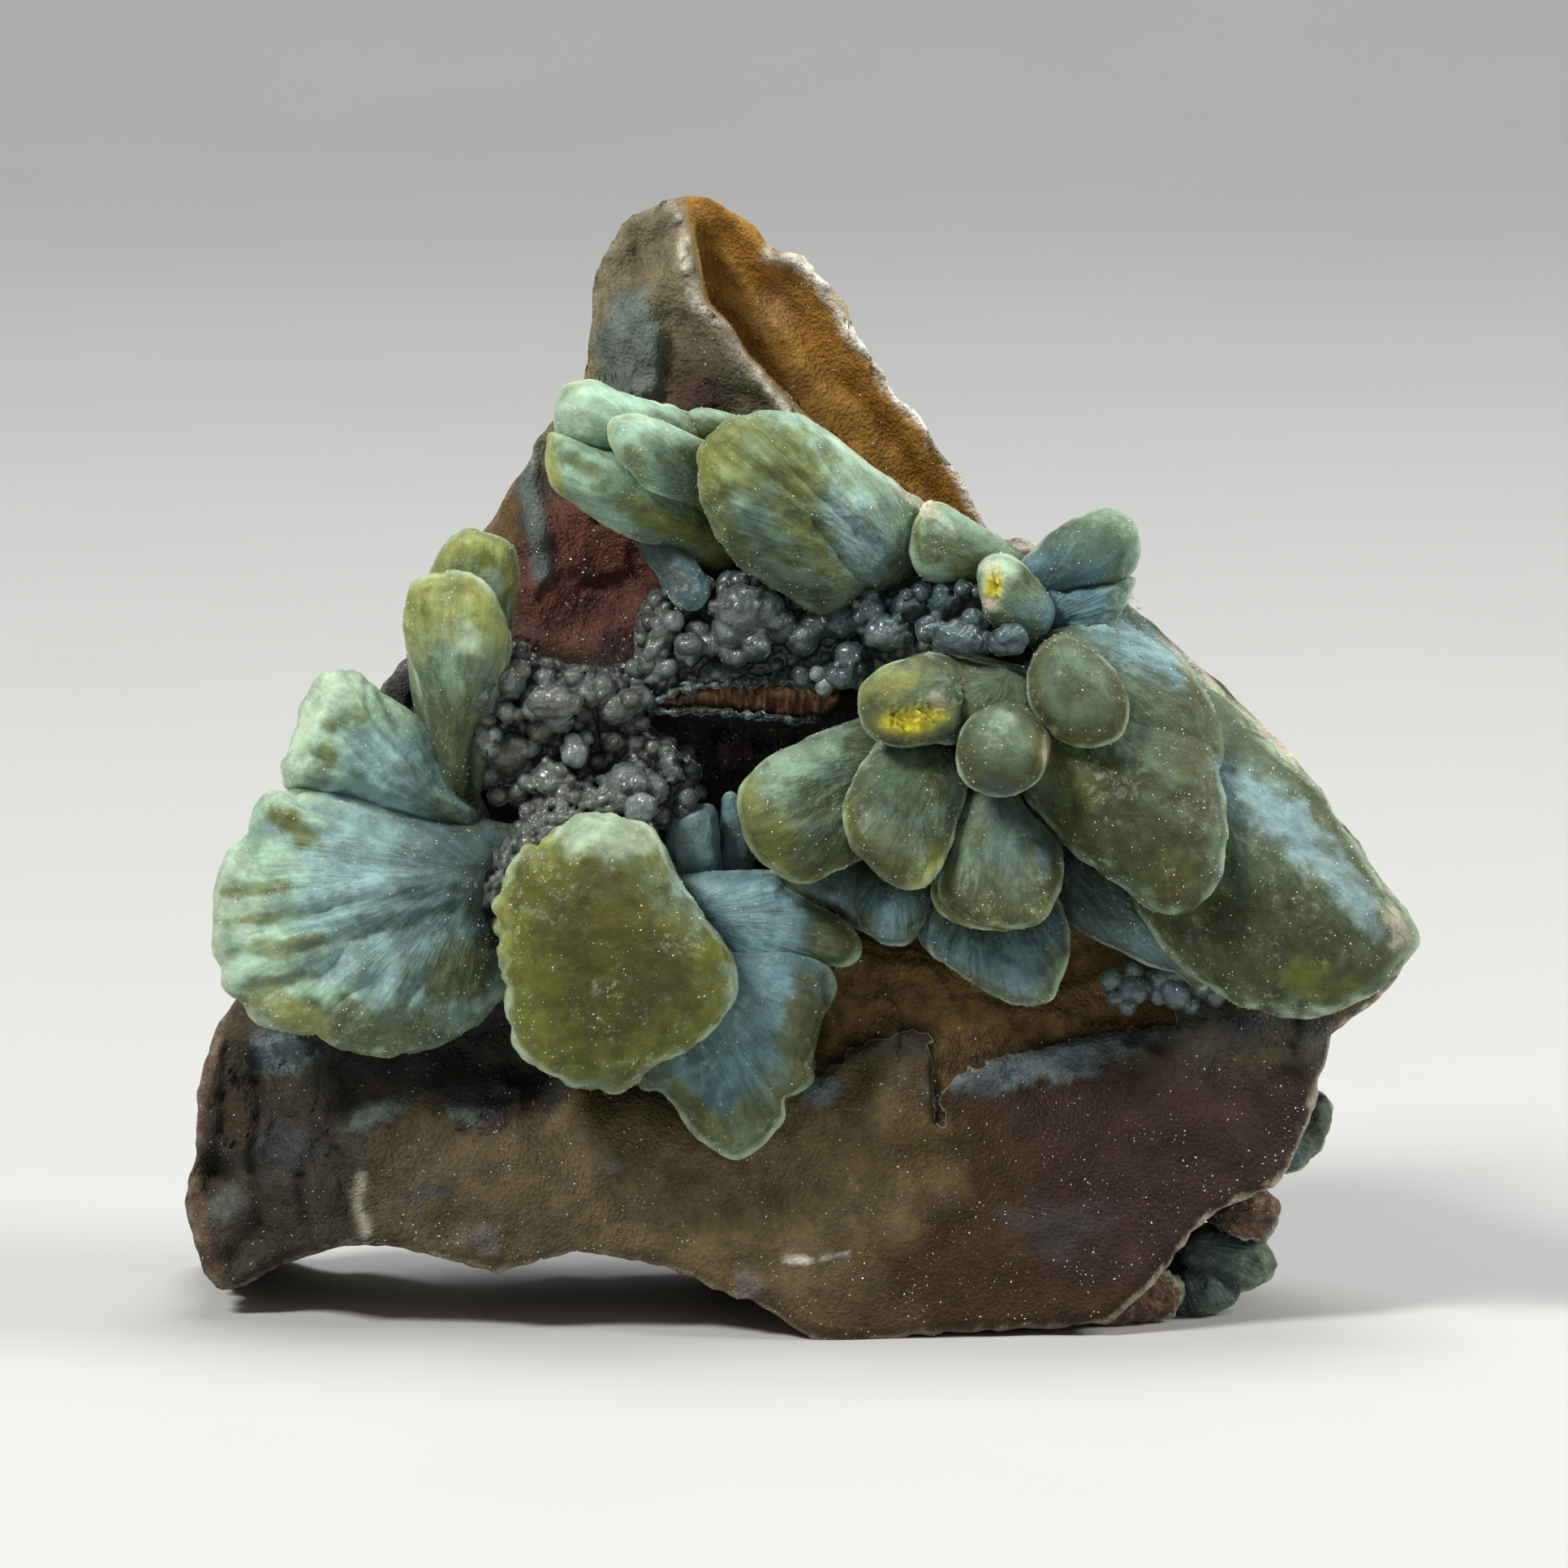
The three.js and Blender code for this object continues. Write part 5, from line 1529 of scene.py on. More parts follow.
    LOWER_SHELL = (
        (-25.6, 27.2), (-24.4, 27.4), (-23.3, 27.1), (-21.2, 26.4), (-18.5, 25.5), (-15.8, 25.1),
        (-14.8, 24.3), (-15, 23), (-15.3, 21.2), (-14.8, 19.9), (-14.3, 18.4), (-14.6, 17.2),
        (-15.4, 16.2), (-16.5, 15.2), (-18.1, 14.5), (-19.6, 14.2), (-21, 14.2), (-22.2, 14.5),
        (-23.3, 15.1), (-24.6, 15.4), (-26, 15.5), (-27.1, 16.1), (-27.9, 17), (-28.4, 18.4),
        (-28.6, 20.3), (-28.5, 22), (-28.2, 23.5), (-27.7, 24.7), (-26.8, 26),
    )
    CORNER_SLAB = (
        (20, 5.4), (19.1, 4.3), (18.8, 2.8), (19, 1.6), (19.6, 1), (20.7, 1.3), (21.8, 1.9),
        (22.8, 2.4), (23.7, 3), (23.9, 3.8), (23.4, 4.5), (22.8, 5.1), (21.5, 5.3),
    )
    EDGE_SLAB = (
        (24.3, 10.4), (25.1, 11.6), (25.9, 12.4), (26.4, 12.1), (26.6, 11.2), (26.4, 10.1),
        (25.9, 9.3), (25.1, 8.5), (24.3, 8.4),
    )
    FOOT_MASS = (
        (13.8, 1.2), (14.6, 2.2), (16.2, 3.2), (18.0, 3.6), (19.2, 2.6), (18.8, 1.2),
        (17.2, 0.8), (15.4, 0.6),
    )
    EDGE_CHIP = (
        (21.2, 6.4), (22.4, 7.4), (23.8, 7.2), (24.0, 6.0), (23.4, 4.9), (22.2, 5.0), (21.4, 5.4),
    )


@dataclass(frozen=True)
class Crease:
    """A soft groove, or a ridge where its depth is negative, along a line on the face."""

    line: tuple[Place, ...]
    depth: float = 0.4
    breadth: float = 0.5
    chips: float = 0.0


@dataclass(frozen=True)
class Petal:
    """A blunt prism or a sheet of them, drawn by the outline that it shows on the face.

    Its face swells up from the plane of its edge, rounds off there, and its back runs to the
    root.

    Attributes:
        outline: Its edge, in order around.
        root: Where it grows from.
        out: How far the plane of its edge stands out, at its middle.
        lean: How much further out that plane stands for each millimetre away from the root.
        swell: How far the face swells up from the plane.
        square: How flat the face stays before it rounds off; higher is flatter.
        habit: How it is zoned.
        ringed: Share of the zoning that goes by rings; the rest goes by distance from the root.
        ribs: Distance between ribs at the edge, and their height, for each set of ribs.
        lump: Height of its unevenness.
        pucker: Height of the lumps around its edge, strongest at the left.
        streak: How strongly its fibres show.
        broken: How fibrous and broken its face is.
        creases: Grooves and ridges on it.
        facets: Places around it, and rings.
    """

    outline: Outline
    root: Point
    out: float
    lean: float = 0.3
    swell: float = 2.0
    square: float = 2.6
    habit: Habit = Habit.PETAL
    ringed: float = 0.35
    ribs: tuple[Place, ...] = ()
    lump: float = 0.1
    pucker: float = 0.0
    streak: float = 0.42
    broken: float = 0.0
    creases: tuple[Crease, ...] = ()
    facets: tuple[int, int] = (120, 52)

    def _profile(self, radius: float, drop: float) -> Array:
        """Give the rings' shares of the outline, heights, and shares of the way to the root."""
        share = np.sin(np.linspace(0.0, math.pi / 2, 300))
        rise = self.swell * np.maximum(1.0 - share ** self.square, 0.0) ** 0.5
        way = np.sin(np.linspace(0.0, math.pi / 2, 200))[1:]
        back = np.sqrt(np.maximum(1.0 - way ** 2, 0.0))
        rows = np.concatenate([np.column_stack([share, rise, 0 * share]),
                               np.column_stack([back, 0 * way, way])])
        length = rows * (radius, 1.0, drop)
        face, total = 300, self.facets[1]
        front = at_index(rows[:face], even_steps(length[:face], int(total * 0.72) + 1)[1:])
        rear = at_index(rows[face - 1:], even_steps(length[face - 1:], total - len(front) + 2))
        return np.concatenate([front, rear[1:-1]])

    def shell(self, grain: Grain) -> Shell:
        """Make the prism's skin.

        Args:
            grain: Noise for its unevenness.

        Returns:
            The shell, with all the fields that the finish reads.
        """
        edge = smooth_path(self.outline.value, self.facets[0], closed=True)
        root = np.array(self.root, float)
        middle = edge.mean(axis=0)
        radius = np.linalg.norm(edge - middle, axis=1).mean()
        away = unit(middle - root[:2])
        chosen = self._profile(radius, abs(self.out - root[2]) + 1.0)
        share, rise, way = chosen[:, :1], chosen[:, 1:2], chosen[:, 2:]
        centre = middle + (root[:2] - middle) * way[..., None] ** 1.3
        flat = centre + (edge - middle)[None] * share[..., None]
        plane = self.out + self.lean * ((flat - middle) @ away)
        height = (plane + rise) * (1 - way) + root[2] * way
        rings = np.concatenate([flat, height[..., None]], axis=2)
        top = np.array([*middle, self.out + self.swell])
        shell = Shell(rings, top, root.copy())
        shape = rings.shape[:2]
        rows = shell.flat()
        reach = rows[:, :2] - root[:2]
        far = np.linalg.norm(edge - root[:2], axis=1)
        distance = np.linalg.norm(reach, axis=1)
        turn = np.arctan2(reach[:, 1] * away[0] - reach[:, 0] * away[1], reach @ away)
        typical = max(far.mean(), 2.0)
        along = ramp(far.min() * 0.35, far.max(), distance).reshape(shape)
        growth = np.column_stack([turn * typical, rows[:, 2] * 0.7, distance * 1.05])
        growth += grain.spots[int(abs(root @ (7, 3, 5)) * 10) % 256] * 90.0
        share, way = share + np.zeros(shape), way + np.zeros(shape)
        push = self.lump * grain.layered(rows * (1, 1, 0.7), 2.4, 4)
        push += 0.35 * self.lump * grain.layered(rows + 17, 0.8, 3)
        for pitch, rise in self.ribs:
            sway = 0.7 * grain.smooth(growth * (0.35, 0.2, 0.25) + pitch, 1.0)
            wave = np.abs(np.cos(math.pi * (turn * typical / pitch + sway)))
            patch = ramp(-0.5, 0.4, grain.smooth(growth * (0.25, 0.1, 0.1) + pitch + 5, 1.0))
            push += rise * (wave - 0.6) * patch * ramp(0.2, 0.6, along.ravel())
        terrace = np.sin(share.ravel() * radius * 8.0 + 2.5 * grain.smooth(rows, 1.6))
        push += 0.04 * terrace * ramp(0.6, 0.85, share.ravel()) * ramp(0.5, 0.8, along.ravel())
        if self.pucker:
            domes = 1.0 - (1.5 * grain.cells(rows * (1, 1, 0.6), 1.4)[0]) ** 2
            left = ramp(0.35, -0.75, unit(rows[:, :2] - middle)[:, 0])
            push += self.pucker * np.clip(domes, -0.4, 1) * (left + 0.3) * ramp(
                0.72, 0.92, share.ravel())
        for crease in self.creases:
            near = from_line(rows[:, :2], crease.line) / crease.breadth
            if crease.chips:
                near = near + 0.3 * grain.layered(rows + 41, 0.5, 3)
            dip = np.exp(-near ** (4 if crease.chips else 2)) * (way.ravel() < 0.2)
            push -= dip * (crease.depth + crease.chips * grain.facets(rows + 7, 0.35))
        shell.push(push.reshape(shape) * ramp(1.0, 0.6, way))
        broken = self.broken * ramp(0.98, 0.8, share)
        if self.broken:
            chips = grain.facets(growth * (1, 1, 0.35), 0.55) + grain.layered(rows, 0.9, 4)
            shell.push(0.13 * chips.reshape(shape) * broken)
        zone = along * (1 - self.ringed) + share * self.ringed
        drift = (0.18 - 0.1 * self.ringed) * grain.layered(
            growth * (1, 1, 0.45) + 8, 2.2, 4).reshape(shape)
        colour = self.habit.colour(np.clip(zone + drift, 0, 1))
        colour = mixed(colour, Tint.BROWN_OLIVE.value, 0.7 * ramp(0.1, 0.6, way))
        # Painted highlight: a thin, broken pale rim along each prism's edge, for light shining through it.
        rim = ramp(0.91, 1.0, share) * ramp(0.25, 0.0, way) * ramp(0.2, 0.5, along)
        patches = ramp(-0.35, 0.45, grain.layered(rows + 61, 1.6, 4)).reshape(shape)
        rim = rim * ramp(-0.6, 0.1, grain.layered(rows + 29, 1.2, 3)).reshape(shape)
        shell.fields = self._paint(colour, growth.reshape(shape + (3,)), broken, rim,
                                   ramp(0.7, 0.95, share))
        shell.fields["druse"] = np.clip(0.75 * patches + 0.5 * shell.fields["druse"] - 0.15, 0, 1)
        return shell

    def _paint(self, colour: Array, growth: Array, broken: Array, rim: Array,
               edge: Array) -> dict[str, Array]:
        """Make the fields that the prisms' finish reads.

        Args:
            colour: Colour of the zone.
            growth: Place in the crystal: beside, across and along its growth.
            broken: How far it belongs to a broken face.
            rim: How near it is to the thin pale rim, a painted highlight along the edge where light shines through.
            edge: Where more tiny crystals sit.

        Returns:
            The fields by name.
        """
        # The pale rim mixed in here is painted light.
        face = mixed(colour, Tint.PALE_MINT.value, 0.8 * rim)
        pale = mixed(face * 1.25, Tint.PALE_BLUE.value, np.full(face.shape[:-1], 0.3))
        return {"zone_colour": face, "streak_colour": np.clip(pale, 0, 1), "growth": growth,
                "broken": broken, "streak": np.clip(self.streak * (1 - 0.7 * edge)
                                                    + 0.3 * broken, 0, 1),
                "druse": 0.25 + 0.75 * edge}


@dataclass
class Growth:
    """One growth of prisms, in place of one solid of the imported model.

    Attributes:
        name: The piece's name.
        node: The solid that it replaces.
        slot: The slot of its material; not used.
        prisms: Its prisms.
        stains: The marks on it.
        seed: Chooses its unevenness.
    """

    name: str
    node: str
    slot: str
    prisms: tuple[Petal, ...]
    stains: tuple[Stain, ...] = ()
    seed: int = 1

    def build(self) -> bpy.types.Object:
        """Make the growth."""
        grain = Grain(self.seed)
        skin = Skin(self.name)
        for prism in self.prisms:
            shell = prism.shell(grain)
            self._stain(shell, grain)
            skin.add(shell)
        piece = skin.build(PRISM.material())
        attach(piece, "root")
        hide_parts(self.node)
        return piece

    def _stain(self, shell: Shell, grain: Grain) -> None:
        """Lay the marks over a shell's colours."""
        rows = shell.flat()
        for stain in self.stains:
            cover = stain.cover(rows, grain).reshape(shell.rings.shape[:2])
            for name, share in (("zone_colour", stain.strength), ("streak_colour",
                                                                  0.75 * stain.strength)):
                shell.fields[name] = mixed(shell.fields[name], stain.tint.value, cover * share)
            if stain.rough:
                threads = shell.fields["growth"].reshape(-1, 3) * (1, 1, 0.3)
                chips = grain.facets(threads, 0.5).reshape(cover.shape)
                shell.push(stain.rough * chips * cover)
                shell.fields["broken"] = np.maximum(shell.fields["broken"], cover)
                shell.fields["streak"] = np.maximum(shell.fields["streak"], 0.7 * cover)


RIGHT_CLUSTER = Growth(
    "right_cluster_prisms", "right_cluster", "olive_plumbogummite",
    (
        Petal(Outline.LONG_SLOPE, (13.5, 36, -5.5), 0.4, 0.3, 4.0, 2.4, Habit.GREYED, 0.3, lump=0.2,
              streak=0.3, facets=(170, 70),
              creases=(Crease(((20.4, 24.6), (21.8, 21.4), (23.4, 18.6)), 0.25, 0.9),)),
        Petal(Outline.UPPER_SLOPE, (12, 36, -3), 2.4, 0.15, 2.6, 2.4, Habit.GREYED, 0.3, lump=0.16),
        Petal(Outline.MIDDLE_SLOPE, (11.4, 34, -1.5), 3.5, 0.4, 2.8, 2.3, Habit.GREYED, 0.3, lump=0.16,
              streak=0.25, facets=(140, 56)),
        Petal(Outline.SLATE_SLOPE, (11.6, 25.4, -3.5), -0.6, 0.25, 1.8, 2.4, Habit.STEEL, streak=0.5),
        Petal(Outline.LOW_PETAL, (9.2, 25, -3.5), 0.6, 0.5, 1.9, 2.6, Habit.STEEL, ribs=((0.8, 0.08), (0.45, 0.04)),
              streak=0.8),
        Petal(Outline.SMALL_PETAL, (5.4, 26, -4), 0.0, 0.55, 1.7, 2.6, Habit.STEEL, ribs=((0.8, 0.07),),
              streak=0.7, facets=(96, 44)),
        Petal(Outline.DARK_PETAL, (5, 27, -4), -0.6, 0.45, 1.7, 2.6, Habit.STEEL, streak=0.4,
              facets=(96, 44)),
        Petal(Outline.UNDER_PETAL, (9.6, 30.6, -1.5), 2.7, 0.5, 1.9, 3.0, ribs=((0.8, 0.07),),
              facets=(96, 44)),
        Petal(Outline.RIGHT_PETAL, (9.6, 30.6, -1.5), 3.5, 0.6, 2.1, 3.4,
              ribs=((1.0, 0.09), (0.5, 0.05)), streak=0.6),
        Petal(Outline.LEFT_PETAL, (6.5, 29.6, -2), 2.4, 0.55, 2.3, 3.4,
              ribs=((1.1, 0.1), (0.5, 0.05)), streak=0.65),
        Petal(Outline.MIDDLE_PETAL, (8, 31, -1), 4.2, 0.65, 2.3, 3.2,
              ribs=((1.0, 0.08), (0.5, 0.045)), streak=0.5),
        Petal(Outline.SADDLE, (10.5, 33, -1), 3.4, 0.2, 1.9, 2.4, Habit.GREYED, facets=(96, 44)),
        Petal(Outline.YELLOW_CORED, (9.8, 31.6, 0.4), 4.3, 0.45, 2.4, 2.6, Habit.GREYED, 0.5,
              streak=0.2, creases=(
                  Crease(((5.0, 30.6), (6.6, 30.9)), 0.4, 0.62, 0.35),
                  Crease(((7.2, 32.6), (7.9, 31.8)), -0.1, 0.5, 0.2))),
        Petal(Outline.RIGHT_BALL, (13.4, 33, 0), 5.2, 0.2, 2.6, 2.3, Habit.GREYED, 0.6, streak=0.15),
        Petal(Outline.BALL, (10.4, 31.6, 0), 6.2, 0.2, 2.9, 2.2, Habit.GREYED, 0.7, streak=0.12),
    ),
    (
        Stain((0.2, 28.6), (2.8, 1.2), 35, Tint.MINT, 0.8, 0.5),
        Stain((-2.2, 26.6), (0.6, 1.6), -10, Tint.LIME, 0.6, 0.5),
        Stain((-1.0, 25.2), (1.8, 1.3), -60, Tint.OLIVE, 0.8, 0.5),
        Stain((1.4, 26.6), (1.4, 1.0), -20, Tint.GREY_OLIVE, 0.6, 0.5),
        Stain((1.8, 24.4), (1.6, 0.9), -20, Tint.GREY_OLIVE, 0.6, 0.5),
        Stain((5.8, 30.7), (2.0, 1.0), 10, Tint.LIME, 0.6, 0.3),
        Stain((5.8, 30.7), (1.5, 0.65), 10, Tint.YELLOW, 0.95, 0.25),
        Stain((4.4, 32.4), (1.8, 1.1), 20, Tint.LIME, 0.6, 0.5),
        Stain((7.2, 31.6), (0.8, 0.5), 20, Tint.CREAM, 0.5, 0.8),
        Stain((5.2, 27.8), (1.2, 1.4), 0, Tint.GREY_GREEN, 0.7, 0.5),
        Stain((4.4, 24.2), (1.6, 1.6), 0, Tint.GREY_OLIVE, 0.6, 0.6),
        Stain((10.2, 25.6), (1.2, 2.4), 10, Tint.SMOKE, 0.6, 0.5),
        Stain((4.6, 23.2), (2.2, 1.2), -20, Tint.MOSS, 0.6, 0.6),
        Stain((-0.4, 24.2), (2.0, 1.0), -30, Tint.MOSS, 0.5, 0.6),
        Stain((9.6, 21.8), (2.6, 1.4), 0, Tint.MOSS, 0.75, 0.6),
        Stain((12.0, 24.6), (0.5, 1.6), 14, Tint.BLUE, 0.5, 0.6),
        Stain((9.6, 21.4), (2.0, 1.0), 0, Tint.GREY_OLIVE, 0.7, 0.6),
        # Pale top of the ball: partly sugary pale crust, partly a painted highlight.
        Stain((9.8, 30.6), (0.8, 0.6), 0, Tint.PALE_MINT, 0.45, 0.6),
        # Painted highlight on the ball's right edge.
        Stain((12.3, 29.3), (0.35, 0.9), -8, Tint.CREAM, 0.9, 0.5),
        Stain((10.9, 18.2), (1.6, 1.4), 10, Tint.BLUE, 0.6, 0.7),
        Stain((4.6, 21.0), (1.0, 1.4), -20, Tint.BLUE, 0.6, 0.6),
        Stain((9.2, 30.6), (1.2, 0.9), 10, Tint.GREY_GREEN, 0.6, 0.5),
        Stain((16.2, 25.6), (3.8, 2.8), -50, Tint.MOSS, 1.0, 0.5),
        Stain((20.6, 28.4), (1.6, 2.6), 40, Tint.GREY_OLIVE, 0.6, 0.6),
        Stain((13.4, 28.2), (2.2, 1.2), -50, Tint.OLIVE, 0.5, 0.6),
        Stain((18.4, 22.6), (1.4, 1.6), -30, Tint.DEEP_OLIVE, 0.6, 0.6),
        Stain((23.6, 19.6), (4.8, 2.8), -25, Tint.MOSS, 0.95, 0.6),
        Stain((25.4, 18.0), (2.0, 1.0), -10, Tint.OLIVE, 0.6, 0.7),
        Stain((23.4, 26.0), (3.8, 1.3), -42, Tint.PALE_BLUE, 0.85, 0.5),
        Stain((27.2, 22.2), (2.6, 0.9), -52, Tint.PALE_BLUE, 0.7, 0.5),
        Stain((17.2, 34.2), (2.6, 0.9), -28, Tint.BLUE, 0.85, 0.6),
        Stain((21.0, 30.0), (1.6, 0.7), -45, Tint.GREY_GREEN, 0.6, 0.6),
        Stain((29.4, 20.2), (0.7, 1.4), 20, Tint.CREAM, 0.6, 0.7, rough=0.1),
        Stain((19.4, 33.6), (2.4, 0.3), -42, Tint.CREAM, 0.9, 0.6, rough=0.15),
        Stain((24.4, 29.2), (3.4, 0.28), -42, Tint.CREAM, 0.85, 0.6, rough=0.12),
        Stain((28.9, 23.4), (2.6, 0.28), -58, Tint.CREAM, 0.8, 0.6, rough=0.12),
        Stain((17.0, 34.4), (2.4, 1.2), -30, Tint.PALE_BLUE, 0.7, 0.7, rough=0.25),
    ), seed=3)

CENTRE_SHEAF = Growth(
    "centre_sheaf_prisms", "centre_sheaf", "olive_plumbogummite",
    (
        Petal(Outline.DISC, (-9.2, 19.2, -5), 5.6, 0.0, 3.3, 2.0, Habit.DISC, 1.0, lump=0.2,
              pucker=0.26, streak=0.0, facets=(230, 84),
              creases=(Crease(((-13.2, 25.6), (-12.4, 24.2), (-12.3, 23.2)), 0.35, 0.22),
                       Crease(((-15.0, 21.6), (-14.3, 20.6), (-14.7, 19.6)), 0.3, 0.2),
                       Crease(((-9.6, 12.4), (-9.9, 13.6), (-10.6, 14.2)), 0.3, 0.3))),
        Petal(Outline.LOWER_SHEET, (-6.6, 20.6, -2.5), 1.8, 0.28, 1.7, 3.0, Habit.SHEET, 0.3, ((1.3, 0.06),),
              streak=0.5, facets=(170, 60)),
        Petal(Outline.UPPER_SHEET, (-6.6, 21, -3), 0.3, 0.25, 1.5, 3.2, Habit.SHEET, 0.2, ((0.9, 0.05),),
              streak=0.7, facets=(150, 52)),
        Petal(Outline.SMOKY_WIDE, (-5, 21.5, -4.4), -2.4, 0.2, 1.4, 4.0, Habit.SMOKY, facets=(90, 40)),
        Petal(Outline.SMOKY_NARROW, (-2.8, 22, -5.4), -3.9, 0.2, 1.3, 4.0, Habit.SMOKY, facets=(80, 36)),
    ),
    (
        Stain((-9.4, 25.3), (3.2, 1.5), -4, Tint.PALE_MINT, 0.75, 0.4),
        Stain((-12.4, 24.8), (0.8, 1.2), 0, Tint.LIME, 0.8, 0.4),
        Stain((-4.6, 23.8), (1.8, 2.6), 0, Tint.PALE_BLUE, 0.6, 0.5),
        Stain((-6.6, 22.4), (1.0, 2.0), 40, Tint.GREY_GREEN, 0.5, 0.6),
        Stain((-14.4, 20.4), (0.7, 3.0), 0, Tint.LIME, 0.6, 0.5),
        Stain((-6.6, 17.4), (2.4, 1.8), 20, Tint.BROWN_OLIVE, 0.5, 0.6),
        Stain((-8.6, 22.2), (1.8, 1.4), -30, Tint.DEEP_OLIVE, 0.6, 0.6),
        Stain((-8.4, 12.8), (3.2, 1.0), 10, Tint.GREY_OLIVE, 0.6, 0.7),
        Stain((1.6, 20.4), (1.8, 1.0), -30, Tint.GREY_OLIVE, 0.8, 0.7),
        Stain((0.4, 15.6), (1.5, 3.0), -10, Tint.GREY_OLIVE, 0.95, 0.6),
        Stain((-2.6, 10.2), (1.8, 0.9), -20, Tint.GREY_GREEN, 0.6, 0.6),
        Stain((-4.6, 11.4), (2.6, 0.45), -48, Tint.OLIVE, 0.7, 0.3),
        Stain((-2.6, 21.4), (2.2, 1.2), -20, Tint.PALE_BLUE, 0.5, 0.6),
        Stain((-2.4, 16.6), (1.4, 2.2), 10, Tint.PALE_BLUE, 0.4, 0.7),
    ), seed=5)

TOP_SHEAF = Growth(
    "top_sheaf_prisms", "top_sheaf", "mint_plumbogummite",
    (
        Petal(Outline.HANGING_BLADE, (-7.8, 40.4, -4), -1.2, 0.5, 1.3, 2.4, Habit.SMOKY, facets=(90, 40)),
        Petal(Outline.PALE_LOBE, (-2.6, 41.6, -3.6), -0.9, 0.3, 2.6, 2.3, Habit.MINT,
              ribs=((1.1, 0.1), (0.6, 0.05)), lump=0.14, streak=0.5),
        Petal(Outline.SMALL_LOBE, (-0.6, 43.4, -3.6), -1.2, 0.25, 1.3, 2.4, Habit.MINT, facets=(90, 40)),
        Petal(Outline.UNDER_LOBE, (0.8, 36.8, -4), -2.4, 0.2, 1.8, 2.4, Habit.GREYED, facets=(96, 44)),
        Petal(Outline.RIBBED_LOBE, (-2.0, 38.8, -3.6), -0.8, 0.42, 2.9, 2.3, Habit.MINT, 0.3,
              ((1.5, 0.14), (0.7, 0.06)),
              lump=0.14, streak=0.5),
        Petal(Outline.FRONT_LOBE, (-2.6, 41, -1), 2.0, 0.4, 1.7, 2.4, Habit.MINT,
              ribs=((0.9, 0.07),), streak=0.5, facets=(104, 46)),
        Petal(Outline.BIG_LOBE, (7.8, 36.2, -3), 0.8, 0.42, 3.4, 2.6, Habit.MINT, 0.3,
              ((1.5, 0.14), (0.7, 0.08)), lump=0.16, streak=0.8, facets=(160, 64),
              creases=(Crease(((1.0, 40.4), (2.6, 38.2), (3.6, 37.2)), 0.2, 0.16),
                       Crease(((3.6, 37.4), (4.6, 38.6)), 0.2, 0.16),
                       Crease(((0.2, 42.6), (3.2, 39.8), (6.2, 37.6)), 0.16, 0.3))),
        Petal(Outline.LINK_LOBE, (12.8, 36.8, -3), -0.4, 0.4, 2.1, 2.4, Habit.MINT, streak=0.4),
    ),
    (
        Stain((-10.8, 43.4), (1.6, 0.45), -30, Tint.OLIVE, 0.8, 0.5),
        Stain((-6.8, 40.6), (3.4, 0.6), -28, Tint.OLIVE, 0.8, 0.5),
        Stain((-7.8, 43.2), (1.2, 0.4), -60, Tint.OLIVE, 0.7, 0.5),
        Stain((-11.9, 42.6), (0.6, 1.6), 15, Tint.LIME, 0.6, 0.5),
        Stain((-10.8, 46.0), (1.2, 0.9), 0, Tint.PALE_MINT, 0.6, 0.5),
        Stain((-0.9, 40.6), (3.4, 2.2), -50, Tint.GREY_GREEN, 0.8, 0.6),
        Stain((-1.0, 43.5), (4.2, 2.0), -28, Tint.OLIVE, 0.9, 0.45),
        Stain((-3.8, 40.6), (0.9, 3.4), 14, Tint.OLIVE, 0.8, 0.5),
        Stain((-3.2, 43.0), (1.2, 0.9), -40, Tint.LIME, 0.5, 0.5),
        Stain((-2.3, 40.3), (1.0, 0.8), 0, Tint.BLUE, 0.6, 0.6),
        Stain((0.7, 39.6), (3.2, 0.7), -52, Tint.OLIVE, 0.7, 0.5),
        Stain((3.4, 41.4), (3.4, 0.7), -42, Tint.MINT, 0.6, 0.6),
        Stain((3.2, 39.6), (2.8, 1.2), -57, Tint.PALE_BLUE, 0.75, 0.5, rough=0.1),
        # Along the big lobe's top-right edge: partly white sugary crust, partly a painted highlight.
        Stain((6.3, 41.3), (1.8, 0.4), -40, Tint.CREAM, 0.75, 0.6, rough=0.12),
        Stain((3.2, 43.6), (2.4, 0.3), -33, Tint.PALE_MINT, 0.7, 0.6),
        Stain((-5.9, 37.5), (2.2, 0.6), -57, Tint.SLATE, 0.75, 0.4),
        Stain((-1.4, 38.2), (4.2, 2.0), -50, Tint.MOSS, 0.7, 0.5),
        Stain((-0.4, 42.0), (2.0, 0.7), -55, Tint.MOSS, 0.5, 0.6),
        Stain((6.6, 39.4), (0.7, 1.2), 10, Tint.DEEP_OLIVE, 0.8, 0.5),
        Stain((8.0, 38.4), (1.6, 0.6), -40, Tint.OLIVE, 0.6, 0.6),
        Stain((9.6, 39.4), (1.8, 0.6), -32, Tint.GREY_GREEN, 0.5, 0.5),
    ), seed=8)

